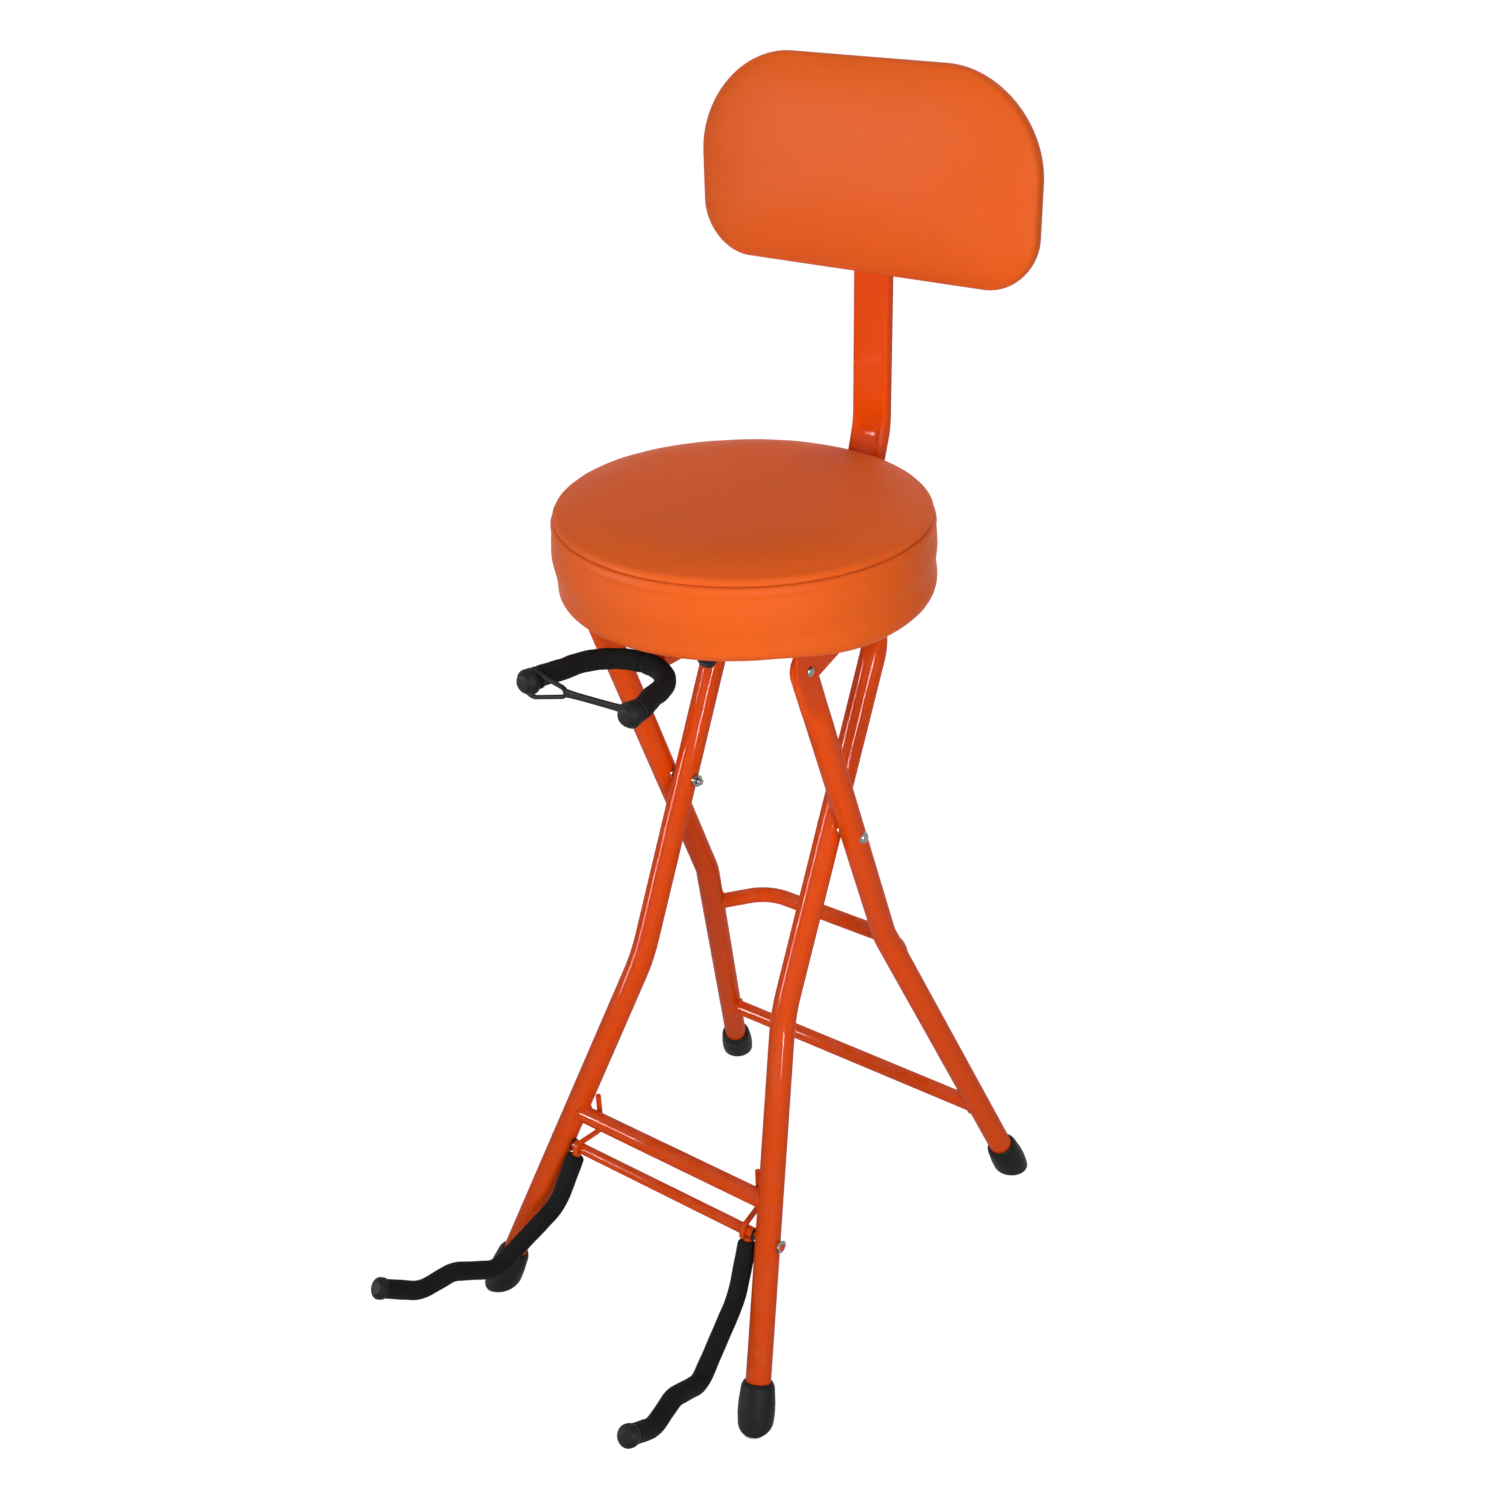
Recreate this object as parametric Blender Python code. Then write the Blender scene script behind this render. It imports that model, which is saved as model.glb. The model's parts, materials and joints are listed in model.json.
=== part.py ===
"""Folding guitar stool with a round padded seat, a backrest and a built-in guitar stand.

The front frame is an inverted U of round tube that leans back under the rear of the seat.
The two rear legs lean forward, cross the front frame at a bolt on each side and carry the
seat on a riveted bracket each. The seat's rear rests on the front frame's top with two
saddles. A fork under the seat holds a guitar's neck and two padded arms at the foot of the
front frame hold its body. Metres, +Z up, the guitar side faces -Y.
"""

import math

import bmesh
import bpy
import numpy as np
from mathutils import Vector

# Clearances
SEAT_GAP = 0.0003
RUNNING_GAP = 0.0003
CUT_OVERRUN = 0.004

# Main tubes
TUBE_DIAMETER = 0.0222
TUBE_WALL = 0.0015
TUBE_SIDES = 16
BEND_STEP = math.radians(15.5)
HOLE_SIDES = 10

# Scissor frame, seen from the side
PIVOT_SHARE = 0.718565
FRONT_FOOT_REACH = 0.2345
REAR_FOOT_REACH = 0.1741

# Front frame, seen along its lean
FRONT_LEG_HALF = 0.0780
FRONT_FOOT_HALF = 0.1492
FRONT_KNEE_HEIGHT = 0.3104
FRONT_KNEE_RADIUS = 0.180
CROSSBAR_HEIGHT = 0.641
CROSSBAR_CORNER_RADIUS = 0.055

# Rear legs
LEG_GAP = 0.0016
REAR_FOOT_HALF = 0.1721
REAR_KNEE_HEIGHT = 0.3268
REAR_KNEE_RADIUS = 0.070
REAR_FLARE_SHARE = 0.012
RIVET_DROP = 0.0271
FLAT_THICKNESS = 0.0080
FLAT_WIDTH = 0.0285
FLAT_LENGTH = 0.034
FLAT_TAPER_LENGTH = 0.026

# Rubber feet
FOOT_DIAMETER = 0.0325
FOOT_MOUTH_DIAMETER = 0.0280
FOOT_LENGTH = 0.038
FOOT_SOLE = 0.0120
FOOT_LIP = 0.0016
FOOT_SIDES = 16

# Bars between the legs
FOOTREST_HEIGHT = 0.1678
FOOTREST_DIAMETER = 0.0160
LOW_BAR_HEIGHT = 0.0902
LOW_BAR_DIAMETER = 0.0150
BOW_BAR_HEIGHT = 0.2755
BOW_BAR_DIAMETER = 0.0148
BOW_DEPTH = 0.0425
BOW_SETBACK = 0.012
BOW_RUN = 0.025
BOW_END_RADIUS = 0.008
BOW_RADIUS = 0.042
BAR_WALL = 0.0014
BAR_SIDES = 12
FASTENER_SIDES = 10

# Scissor pivots
PIVOT_BOLT_DIAMETER = 0.0060
PIVOT_HEAD_DIAMETER = 0.0105
PIVOT_HEAD_HEIGHT = 0.0025
PIVOT_LOW_HEAD_DIAMETER = 0.0084
PIVOT_LOW_HEAD_HEIGHT = 0.0010
PIVOT_NUT_FLATS = 0.0105
PIVOT_NUT_HEIGHT = 0.0040
PIVOT_THREAD_END = 0.0036
PIVOT_WASHER_DIAMETER = 0.0110

# Seat
SEAT_RADIUS = 0.1525
SEAT_CLEARANCE = 0.0092
SEAT_BAND_HEIGHT = 0.0582
SEAT_CROWN = 0.0115
SEAT_BULGE = 0.0012
SEAT_EDGE_RADIUS = 0.009
SEAT_SEAM_DEPTH = 0.0014
SEAT_LIP_WIDTH = 0.012
SEAT_SKIRT = 0.0047
SEAT_BOARD_THICKNESS = 0.012
SEAT_SEGMENTS = 48

# Brackets from the seat to the rear legs
PLATE_THICKNESS = 0.0025
EAR_FRONT_REACH = 0.0152
EAR_DROP = 0.0085
EAR_BACK_REACH = 0.0125
EAR_CORNER_RADIUS = 0.007
EAR_TAIL_LENGTH = 0.118
EAR_TAIL_HEIGHT = 0.0070
FLANGE_WIDTH = 0.022
BRACKET_GAP = 0.0005
RIVET_DIAMETER = 0.0050
RIVET_HEAD_DIAMETER = 0.0085
RIVET_HEAD_HEIGHT = 0.0026
SCREW_DIAMETER = 0.0045
SCREW_HEAD_DIAMETER = 0.0095
SCREW_HEAD_HEIGHT = 0.0026
SCREW_DEPTH = 0.0090
SCREW_EDGE = 0.018

# Saddles that rest on the front frame's crossbar
SADDLE_WIDTH = 0.014
SADDLE_WALL = 0.0095
SADDLE_HOOK_DROP = 0.0020
SADDLE_NOSE = 0.0020

# Backrest post
POST_WIDTH = 0.035
POST_THICKNESS = 0.012
POST_CORNER_RADIUS = 0.004
POST_WALL = 0.0015
POST_NOSE = 0.014
POST_HEEL_RADIUS = 0.030
POST_LOWER_LEAN = math.radians(20.0)
POST_UPPER_LEAN = math.radians(2.0)
POST_LOWER_RISE = 0.0864
POST_BEHIND_SEAT = 0.0361
POST_BEND_RADIUS = 0.060
POST_UPPER_RISE = 0.2632
POST_PLUG_HEAD = 0.0030
POST_PLUG_DEPTH = 0.012
POST_BOLT_DIAMETER = 0.0060
POST_BOLT_SPACING = 0.0180
POST_BOLT_HEAD_DIAMETER = 0.0130
POST_BOLT_HEAD_HEIGHT = 0.0032
POST_NUT_FLATS = 0.0100
POST_NUT_HEIGHT = 0.0050
POST_BOLT_THREAD_END = 0.0025

# Backrest
BACKREST_WIDTH = 0.3185
BACKREST_HEIGHT = 0.1705
BACKREST_BELOW_TOP = 0.0448
BACKREST_TOP_CORNER = 0.084
BACKREST_BOTTOM_CORNER = 0.043
BACKREST_TOP_BOW = 0.005
BACKREST_BOTTOM_BOW = 0.003
BACKREST_DEPTH = 0.031
BACKREST_LIP = 0.007
BACKREST_BOARD_THICKNESS = 0.009
BACKREST_SCREW_SPACING = 0.044
BACKREST_CORNER_STEPS = 8
BACKREST_EDGE_STEPS = 4

# Neck fork under the seat
FORK_RADIUS = 0.043
FORK_BACK_INSET = 0.0187
FORK_DROP = 0.0216
FORK_LEG = 0.0236
FORK_FLARE = 0.0066
FORK_STRAIGHT = 0.004
FORK_TILT = math.radians(2.5)
FORK_ROD_DIAMETER = 0.0080
FORK_STEM_DIAMETER = 0.0120
FORK_STEM_LENGTH = 0.055
FOAM_DIAMETER = 0.0168
FOAM_SIDES = 12
FOAM_SPLIT = 0.0008
CAP_COLLAR_DIAMETER = 0.0180
CAP_COLLAR_LENGTH = 0.0028
CAP_NECK_DIAMETER = 0.0120
CAP_NECK_LENGTH = 0.0052
CAP_DOME_DIAMETER = 0.0208
CAP_DOME_LENGTH = 0.0095
CAP_SOCKET_DEPTH = 0.0095
STRAP_THICKNESS = 0.0036
STRAP_BAND = 0.0030
STRAP_LOOP_LENGTH = 0.041
STRAP_LOOP_TIP_RADIUS = 0.0026
STRAP_STEM_WIDTH = 0.0050
STRAP_DROP = 0.0032

# Socket for the fork's stem
SOCKET_DIAMETER = 0.0222
SOCKET_FRONT_INSET = 0.0305
SOCKET_LENGTH = 0.044
SOCKET_PLATE_WIDTH = 0.056
SOCKET_WEB = 0.008
KNOB_DIAMETER = 0.0140
KNOB_LENGTH = 0.0120
KNOB_STANDOFF = 0.0185
KNOB_SCREW_DIAMETER = 0.0060
KNOB_LOBES = 6
KNOB_LOBE_DEPTH = 0.0012

# Guitar arms at the foot of the front frame
AXLE_HEIGHT = 0.140
AXLE_DIAMETER = 0.0100
AXLE_END_DIAMETER = 0.0070
AXLE_WASHER_DIAMETER = 0.0140
AXLE_WASHER_LENGTH = 0.0012
AXLE_THREAD_END = 0.0008
AXLE_NUT_FLATS = 0.0105
AXLE_NUT_LENGTH = 0.0024
AXLE_PEENED_END = 0.0006
ARM_ROD_DIAMETER = 0.0080
ARM_ROOT_HALF = 0.0975
ARM_SPLAY = math.radians(10.7)
ARM_REACH = 0.2178
ARM_DIP = 0.0795
ARM_CORNER_SHARES = ((0.137, 0.629), (0.472, 1.0), (0.669, 0.642), (0.826, 0.623), (1.0, 0.233))
ARM_BEND_RADII = (0.040, 0.020, 0.024, 0.030)
ARM_FOAM_START = 0.0082
ARM_TIP_DIAMETER = 0.0190
ARM_TIP_LENGTH = 0.0080
ARM_TIP_SOCKET = 0.0050
WIRE_DIAMETER = 0.0050
WIRE_HALF = 0.0950
WIRE_TOP_HALF = 0.0905
WIRE_RISE = 0.0192
WIRE_TAIL = 0.0014
WIRE_BEND_RADIUS = 0.0060
WIRE_SIDES = 8

# Finishes: base colour, metallic value and roughness
ORANGE_POWDER = ("orange_powder_coat", (0.83, 0.115, 0.012), 0.0, 0.34)
ORANGE_VINYL = ("orange_vinyl", (0.80, 0.130, 0.025), 0.0, 0.50)
BLACK_RUBBER = ("black_rubber", (0.012, 0.012, 0.013), 0.0, 0.62)
BLACK_FOAM = ("black_foam", (0.010, 0.010, 0.011), 0.0, 0.92)
BLACK_NYLON = ("black_nylon", (0.015, 0.015, 0.016), 0.0, 0.45)
ZINC = ("bright_zinc", (0.62, 0.62, 0.64), 1.0, 0.28)
PLYWOOD = ("plywood", (0.50, 0.33, 0.17), 0.0, 0.70)

# Places worked out from the sizes above
TUBE_RADIUS = TUBE_DIAMETER / 2
PIVOT_HEIGHT = CROSSBAR_HEIGHT * PIVOT_SHARE
POST_RUN_HEIGHT = CROSSBAR_HEIGHT + TUBE_RADIUS + SEAT_GAP + POST_THICKNESS / 2
POST_BEND_HEIGHT = POST_RUN_HEIGHT + POST_LOWER_RISE
POST_BEND_SETBACK = SEAT_RADIUS + POST_BEHIND_SEAT
POST_TOP_HEIGHT = POST_BEND_HEIGHT + POST_UPPER_RISE
BACKREST_CENTRE_HEIGHT = POST_TOP_HEIGHT - BACKREST_BELOW_TOP
SEAT_UNDERSIDE = POST_RUN_HEIGHT + POST_THICKNESS / 2 + SEAT_CLEARANCE
RIVET_HEIGHT = SEAT_UNDERSIDE - RIVET_DROP
FORK_BACK_HEIGHT = SEAT_UNDERSIDE - FORK_DROP
FORK_BACK_REACH = SEAT_RADIUS - FORK_BACK_INSET
SOCKET_FRONT_REACH = SEAT_RADIUS - SOCKET_FRONT_INSET
FRONT_SLOPE = FRONT_FOOT_REACH / PIVOT_HEIGHT
REAR_SLOPE = REAR_FOOT_REACH / PIVOT_HEIGHT
REAR_LEG_HALF = FRONT_LEG_HALF + TUBE_DIAMETER + LEG_GAP
SEAT_SEAM_HEIGHT = SEAT_UNDERSIDE + SEAT_BAND_HEIGHT
SEAT_BOARD_RADIUS = SEAT_RADIUS - SEAT_LIP_WIDTH
FORK_HALF = FORK_RADIUS + FORK_FLARE
FORK_REACH = FORK_RADIUS + FORK_LEG
FOAM_RADIUS = FOAM_DIAMETER / 2


def front_y(height):
    """Place of the front frame's plane at a height."""
    return FRONT_SLOPE * height - FRONT_FOOT_REACH


def rear_y(height):
    """Place of the rear legs' plane at a height."""
    return REAR_FOOT_REACH - REAR_SLOPE * height


def front_x(height):
    """Half width of the front frame's leg centres at a height."""
    share = max(0.0, 1.0 - height / FRONT_KNEE_HEIGHT)
    return FRONT_LEG_HALF + (FRONT_FOOT_HALF - FRONT_LEG_HALF) * share


def rear_x(height):
    """Half width of the rear leg centres at a height."""
    knee = REAR_LEG_HALF - REAR_FLARE_SHARE * (PIVOT_HEIGHT - REAR_KNEE_HEIGHT)
    if height > REAR_KNEE_HEIGHT:
        return knee + REAR_FLARE_SHARE * (height - REAR_KNEE_HEIGHT)
    return knee + (REAR_FOOT_HALF - knee) * (1.0 - height / REAR_KNEE_HEIGHT)


def front_point(height, side=1):
    """Point on a front leg's centre line."""
    return Vector((side * front_x(height), front_y(height), height))


def rear_point(height, side=1):
    """Point on a rear leg's centre line."""
    return Vector((side * rear_x(height), rear_y(height), height))


def clear_scene():
    """Empty the startup scene."""
    for thing in list(bpy.data.objects):
        bpy.data.objects.remove(thing, do_unlink=True)


def material(finish):
    """The material of a finish, made once."""
    name, colour, metallic, roughness = finish
    made = bpy.data.materials.get(name)
    if made:
        return made
    made = bpy.data.materials.new(name)
    made.use_nodes = True
    shader = made.node_tree.nodes["Principled BSDF"]
    shader.inputs["Base Color"].default_value = (*colour, 1.0)
    shader.inputs["Metallic"].default_value = metallic
    shader.inputs["Roughness"].default_value = roughness
    made.diffuse_color = (*colour, 1.0)
    return made


def outward(verts, faces):
    """The faces of a closed body, all turned round where its volume comes out negative."""
    volume = 0.0
    for face in faces:
        first = verts[face[0]]
        for k in range(1, len(face) - 1):
            volume += first.dot(verts[face[k]].cross(verts[face[k + 1]]))
    if volume < 0:
        return [face[::-1] for face in faces]
    return faces


def add_object(name, verts, faces, finish, parent):
    """A mesh object on the empty that carries it. Its points are given in the model's frame."""
    anchor = Vector(parent["anchor"])
    mesh = bpy.data.meshes.new(name)
    mesh.from_pydata([v - anchor for v in verts], [], outward(verts, faces))
    mesh.update()
    thing = bpy.data.objects.new(name, mesh)
    bpy.context.scene.collection.objects.link(thing)
    thing.data.materials.append(material(finish))
    thing.parent = parent
    mesh.shade_smooth()
    mesh.set_sharp_from_angle(angle=math.radians(35.0))
    return thing


def add_empty(name, place, parent=None):
    """An empty on a joint's axis, or the model's own root."""
    empty = bpy.data.objects.new(name, None)
    bpy.context.scene.collection.objects.link(empty)
    anchor = Vector(place)
    empty["anchor"] = tuple(anchor)
    if parent:
        empty.parent = parent
        empty.location = anchor - Vector(parent["anchor"])
    else:
        empty.location = anchor
    return empty


def fillet(corners, radii):
    """Points along straight runs whose inner corners are rounded with arcs."""
    corners = [Vector(c) for c in corners]
    points = [corners[0]]
    for before, corner, after, radius in zip(corners, corners[1:], corners[2:], radii):
        arrive = (corner - before).normalized()
        leave = (after - corner).normalized()
        turn = arrive.angle(leave)
        if turn < BEND_STEP / 4:
            points.append(corner)
            continue
        start = corner - arrive * radius * math.tan(turn / 2)
        inward = (leave - arrive * leave.dot(arrive)).normalized()
        centre = start + inward * radius
        count = max(2, math.ceil(turn / BEND_STEP))
        for step in range(count + 1):
            angle = turn * step / count
            points.append(centre + (arrive * math.sin(angle) - inward * math.cos(angle)) * radius)
    points.append(corners[-1])
    return points


def circle(radius, sides):
    """Section of a round tube, with a flat between its first and last points."""
    step = math.tau / sides
    return [(radius * math.cos(step * (i + 0.5)), radius * math.sin(step * (i + 0.5))) for i in range(sides)]


def flat_oval(thickness, width, sides):
    """Section of a pressed tube: two flats joined by half circles, thickness along the first axis."""
    radius = thickness / 2
    half = width / 2 - radius
    quarter = sides // 4
    points = []
    for sign in (1, -1):
        for i in range(quarter):
            share = 1 - 2 * (i + 0.5) / quarter
            points.append((radius * sign, -sign * half * share))
        for i in range(quarter):
            angle = math.pi * (i + 0.5) / quarter
            points.append((sign * radius * math.cos(angle), sign * (half + radius * math.sin(angle))))
    turn = quarter // 2
    return points[turn:] + points[:turn]


def rounded_rectangle(width, depth, radius, steps):
    """Section of a rectangular tube with rounded corners, width along the first axis."""
    points = []
    for cx, cy, start in ((1, 1, 0.0), (-1, 1, 0.5), (-1, -1, 1.0), (1, -1, 1.5)):
        for i in range(steps + 1):
            angle = math.pi * (start + 0.5 * i / steps)
            x = cx * (width / 2 - radius) + radius * math.cos(angle)
            points.append((x, cy * (depth / 2 - radius) + radius * math.sin(angle)))
    return points


def rings_along(path, sections, reference):
    """Rings of points: each section stands square to the path, its first axis carried along it."""
    rings = []
    side = Vector(reference)
    count = len(path)
    for i, point in enumerate(path):
        ahead = (path[min(i + 1, count - 1)] - point)
        behind = (point - path[max(i - 1, 0)])
        tangent = (ahead.normalized() + behind.normalized()).normalized()
        side = (side - tangent * side.dot(tangent)).normalized()
        up = tangent.cross(side)
        section = sections[i] if isinstance(sections[0][0], tuple) else sections
        rings.append([point + side * u + up * v for u, v in section])
    return rings


def skin(rings, closed_ends=(True, True)):
    """Vertices and faces of a tube through rings, with its ends filled where asked."""
    size = len(rings[0])
    verts = [v for ring in rings for v in ring]
    faces = []
    for i in range(len(rings) - 1):
        for j in range(size):
            a = i * size + j
            b = i * size + (j + 1) % size
            faces.append((a, b, b + size, a + size))
    if closed_ends[0]:
        faces.append(tuple(range(size - 1, -1, -1)))
    if closed_ends[1]:
        last = (len(rings) - 1) * size
        faces.append(tuple(range(last, last + size)))
    return verts, faces


def hollow(outer, inner, open_start=True, open_end=True):
    """A tube with a bore. The bore runs through, or stops at a wall where an end isn't open."""
    verts, faces = skin(outer, (not open_start, not open_end))
    bore_verts, bore_faces = skin(inner, (not open_start, not open_end))
    base = len(verts)
    faces += [tuple(base + k for k in face[::-1]) for face in bore_faces]
    verts = verts + bore_verts
    size = len(outer[0])
    for j in range(size):
        k = (j + 1) % size
        if open_start:
            faces.append((k, j, base + j, base + k))
        if open_end:
            a = (len(outer) - 1) * size
            b = base + (len(inner) - 1) * size
            faces.append((a + j, a + k, b + k, b + j))
    return verts, faces


def round_tube(name, path, diameter, wall, sides, finish, parent, reference=(1, 0, 0)):
    """A round tube along a path, solid where no wall is given."""
    outer = rings_along(path, circle(diameter / 2, sides), reference)
    if wall:
        inner = rings_along(path, circle(diameter / 2 - wall, sides), reference)
        return add_object(name, *hollow(outer, inner), finish, parent)
    return add_object(name, *skin(outer), finish, parent)


def turned(name, profile, place, axis, segments, finish, parent):
    """A turned piece: a profile of (distance along the axis, radius), closed round the axis.

    A profile that starts and ends on the axis makes a solid, and one that doesn't is a ring.
    """
    verts, faces = turned_mesh(profile, place, axis, segments)
    return add_object(name, verts, faces, finish, parent)


def turned_mesh(profile, place, axis, segments):
    """Vertices and faces of a turned piece."""
    axis = Vector(axis).normalized()
    place = Vector(place)
    level = Vector((0, 0, 1)) if abs(axis.y) > 0.8 else Vector((0, 1, 0))
    side = (level - axis * axis.dot(level)).normalized()
    up = axis.cross(side)
    on_axis = profile[0][1] == 0
    body = profile[1:-1] if on_axis else profile
    verts = []
    for along, radius in body:
        for j in range(segments):
            angle = math.tau * (j + 0.5) / segments
            verts.append(place + axis * along + (side * math.cos(angle) + up * math.sin(angle)) * radius)
    rows = len(body)
    faces = []
    for i in range(rows - 1 if on_axis else rows):
        for j in range(segments):
            a = i * segments + j
            b = i * segments + (j + 1) % segments
            c = ((i + 1) % rows) * segments
            faces.append((a, b, c + (j + 1) % segments, c + j))
    if on_axis:
        first = len(verts)
        verts += [place + axis * profile[0][0], place + axis * profile[-1][0]]
        last = (rows - 1) * segments
        for j in range(segments):
            k = (j + 1) % segments
            faces.append((k, j, first))
            faces.append((last + j, last + k, first + 1))
    return verts, faces


def hex_nut(name, place, axis, flats, height, bore, finish, parent):
    """A hexagon nut whose near face is at a place, with its corners turned down on both ends."""
    axis = Vector(axis).normalized()
    side = (Vector((0, 0, 1)) - axis * axis.z).normalized() if abs(axis.z) < 0.9 else Vector((1, 0, 0))
    up = axis.cross(side)
    corner = flats / math.sqrt(3)
    turn_down = corner - flats / 2
    outer_rows = ((0.0, flats / 2), (turn_down, None), (height - turn_down, None), (height, flats / 2))
    verts = []
    for along, radius in outer_rows + ((height, bore), (0.0, bore)):
        for j in range(12):
            angle = math.tau * j / 12
            reach = radius if radius else (corner if j % 2 == 0 else flats / 2)
            ray = side * math.cos(angle) + up * math.sin(angle)
            verts.append(Vector(place) + axis * along + ray * reach)
    faces = []
    for i in range(6):
        for j in range(12):
            k = (j + 1) % 12
            n = ((i + 1) % 6) * 12
            faces.append((i * 12 + j, i * 12 + k, n + k, n + j))
    return add_object(name, verts, faces, finish, parent)


def prism(name, outline, thickness, place, across, upward, finish, parent):
    """A plate cut to an outline of (across, upward) points and thickened along their normal."""
    across = Vector(across).normalized()
    upward = Vector(upward).normalized()
    normal = across.cross(upward)
    place = Vector(place)
    rings = [[place + across * u + upward * v + normal * t for u, v in outline] for t in (0.0, thickness)]
    verts, faces = skin(rings)
    return add_object(name, verts, faces, finish, parent)


def cutter(name, bodies):
    """A hidden helper made of closed bodies, for a Boolean."""
    verts = []
    faces = []
    for body_verts, body_faces in bodies:
        base = len(verts)
        faces += [tuple(base + k for k in face) for face in outward(body_verts, body_faces)]
        verts += body_verts
    mesh = bpy.data.meshes.new(name)
    mesh.from_pydata(verts, [], faces)
    mesh.update()
    thing = bpy.data.objects.new(name, mesh)
    bpy.context.scene.collection.objects.link(thing)
    thing.hide_render = True
    thing.display_type = "WIRE"
    thing.parent = ROOTS["model"]
    return thing


def drill(piece, holes):
    """Cut round holes, each (start, end, radius), whose flats lie on the radius."""
    widen = 1 / math.cos(math.pi / HOLE_SIDES)
    bodies = [rod(start, end, radius * widen, HOLE_SIDES) for start, end, radius in holes]
    boolean(piece, cutter(piece.name + "_holes", bodies), "DIFFERENCE")


def rod(start, end, radius, sides):
    """Vertices and faces of a plain round rod between two points."""
    reach = end - start
    profile = [(0.0, 0.0), (0.0, radius), (reach.length, radius), (reach.length, 0.0)]
    return turned_mesh(profile, start, reach, sides)


def boolean(piece, tool, operation):
    """Put a Boolean modifier on a piece."""
    change = piece.modifiers.new(operation.lower(), "BOOLEAN")
    change.operation = operation
    change.solver = "EXACT"
    change.object = tool


def mirrored(side):
    """The word for a side of the stool as the sitter sees it from the front."""
    return "right" if side > 0 else "left"


ROOTS = {}


def front_frame():
    """The inverted U of round tube, bolted through at the pivots, the arm axle and the post."""
    foot_end = foot_seat(front_point(0.0), front_point(FRONT_KNEE_HEIGHT))
    corners = []
    for side in (1, -1):
        end = Vector((side * foot_end.x, foot_end.y, foot_end.z))
        half = [end, front_point(FRONT_KNEE_HEIGHT, side), front_point(CROSSBAR_HEIGHT, side)]
        corners += half if side > 0 else half[::-1]
    radii = (FRONT_KNEE_RADIUS, CROSSBAR_CORNER_RADIUS, CROSSBAR_CORNER_RADIUS, FRONT_KNEE_RADIUS)
    path = fillet(corners, radii)
    frame = round_tube(
        "front_frame", path, TUBE_DIAMETER, TUBE_WALL, TUBE_SIDES, ORANGE_POWDER, ROOTS["front"],
        reference=(0, 1, -FRONT_SLOPE),
    )
    holes = []
    for side in (1, -1):
        for height, diameter in ((PIVOT_HEIGHT, PIVOT_BOLT_DIAMETER), (AXLE_HEIGHT, AXLE_END_DIAMETER)):
            centre = front_point(height, side)
            reach = Vector((TUBE_DIAMETER, 0, 0))
            holes.append((centre - reach, centre + reach, diameter / 2 + RUNNING_GAP))
        for_post = Vector((side * POST_BOLT_SPACING / 2, front_y(CROSSBAR_HEIGHT), CROSSBAR_HEIGHT))
        rise = Vector((0, 0, TUBE_DIAMETER))
        holes.append((for_post - rise, for_post + rise, POST_BOLT_DIAMETER / 2 + RUNNING_GAP))
    drill(frame, holes)


def foot_seat(floor_point, knee_point):
    """Where a leg tube ends inside its rubber foot."""
    along = (knee_point - floor_point).normalized()
    return floor_point + along * FOOT_SOLE


def rubber_foot(name, floor_point, knee_point, parent):
    """A barrel-shaped rubber foot on a tube's end, cut level where it meets the floor."""
    along = (knee_point - floor_point).normalized()
    mouth = (TUBE_RADIUS + SEAT_GAP / 2) / math.cos(math.pi / FOOT_SIDES)
    deep = FOOT_SOLE - SEAT_GAP
    belly = FOOT_DIAMETER / 2
    swell_shares = ((-0.42, 0.74), (-0.16, 0.87), (0.06, 0.95), (0.30, 1.0), (0.55, 0.99), (0.80, 0.93))
    outer = [(FOOT_LENGTH * at, belly * share) for at, share in swell_shares]
    profile = [(outer[0][0], 0.0)] + outer
    profile.append((FOOT_LENGTH - FOOT_LIP, FOOT_MOUTH_DIAMETER / 2 + FOOT_LIP / 2))
    profile.append((FOOT_LENGTH, FOOT_MOUTH_DIAMETER / 2))
    profile.append((FOOT_LENGTH, mouth))
    profile.append((deep, mouth))
    profile.append((deep, 0.0))
    verts, faces = turned_mesh(profile, floor_point, along, FOOT_SIDES)
    solid = bmesh.new()
    made = [solid.verts.new(v) for v in verts]
    for face in faces:
        solid.faces.new([made[k] for k in face])
    everything = solid.verts[:] + solid.edges[:] + solid.faces[:]
    bmesh.ops.bisect_plane(
        solid, geom=everything, plane_co=(0, 0, 0), plane_no=(0, 0, -1), clear_outer=True,
    )
    rim = [edge for edge in solid.edges if edge.is_boundary]
    bmesh.ops.holes_fill(solid, edges=rim)
    bmesh.ops.recalc_face_normals(solid, faces=solid.faces)
    solid.verts.index_update()
    points = [v.co.copy() for v in solid.verts]
    polygons = [tuple(v.index for v in face.verts) for face in solid.faces]
    solid.free()
    return add_object(name, points, polygons, BLACK_RUBBER, parent)


def leg_cutters(name, point_of, low, high):
    """Rods round both legs, a gap wider than the tubes, that cope the end of a bar."""
    radius = TUBE_RADIUS + SEAT_GAP
    return cutter(name, [rod(point_of(low, side), point_of(high, side), radius, TUBE_SIDES * 2) for side in (1, -1)])


def straight_bar(name, height, diameter, point_of, parent):
    """A straight bar between two legs, coped to them."""
    path = [point_of(height, -1), point_of(height, 1)]
    bar = round_tube(name, path, diameter, BAR_WALL, BAR_SIDES, ORANGE_POWDER, parent, reference=(0, 0, 1))
    tool = leg_cutters(name + "_cope", point_of, height - diameter * 2, height + diameter * 2)
    boolean(bar, tool, "DIFFERENCE")


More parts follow.
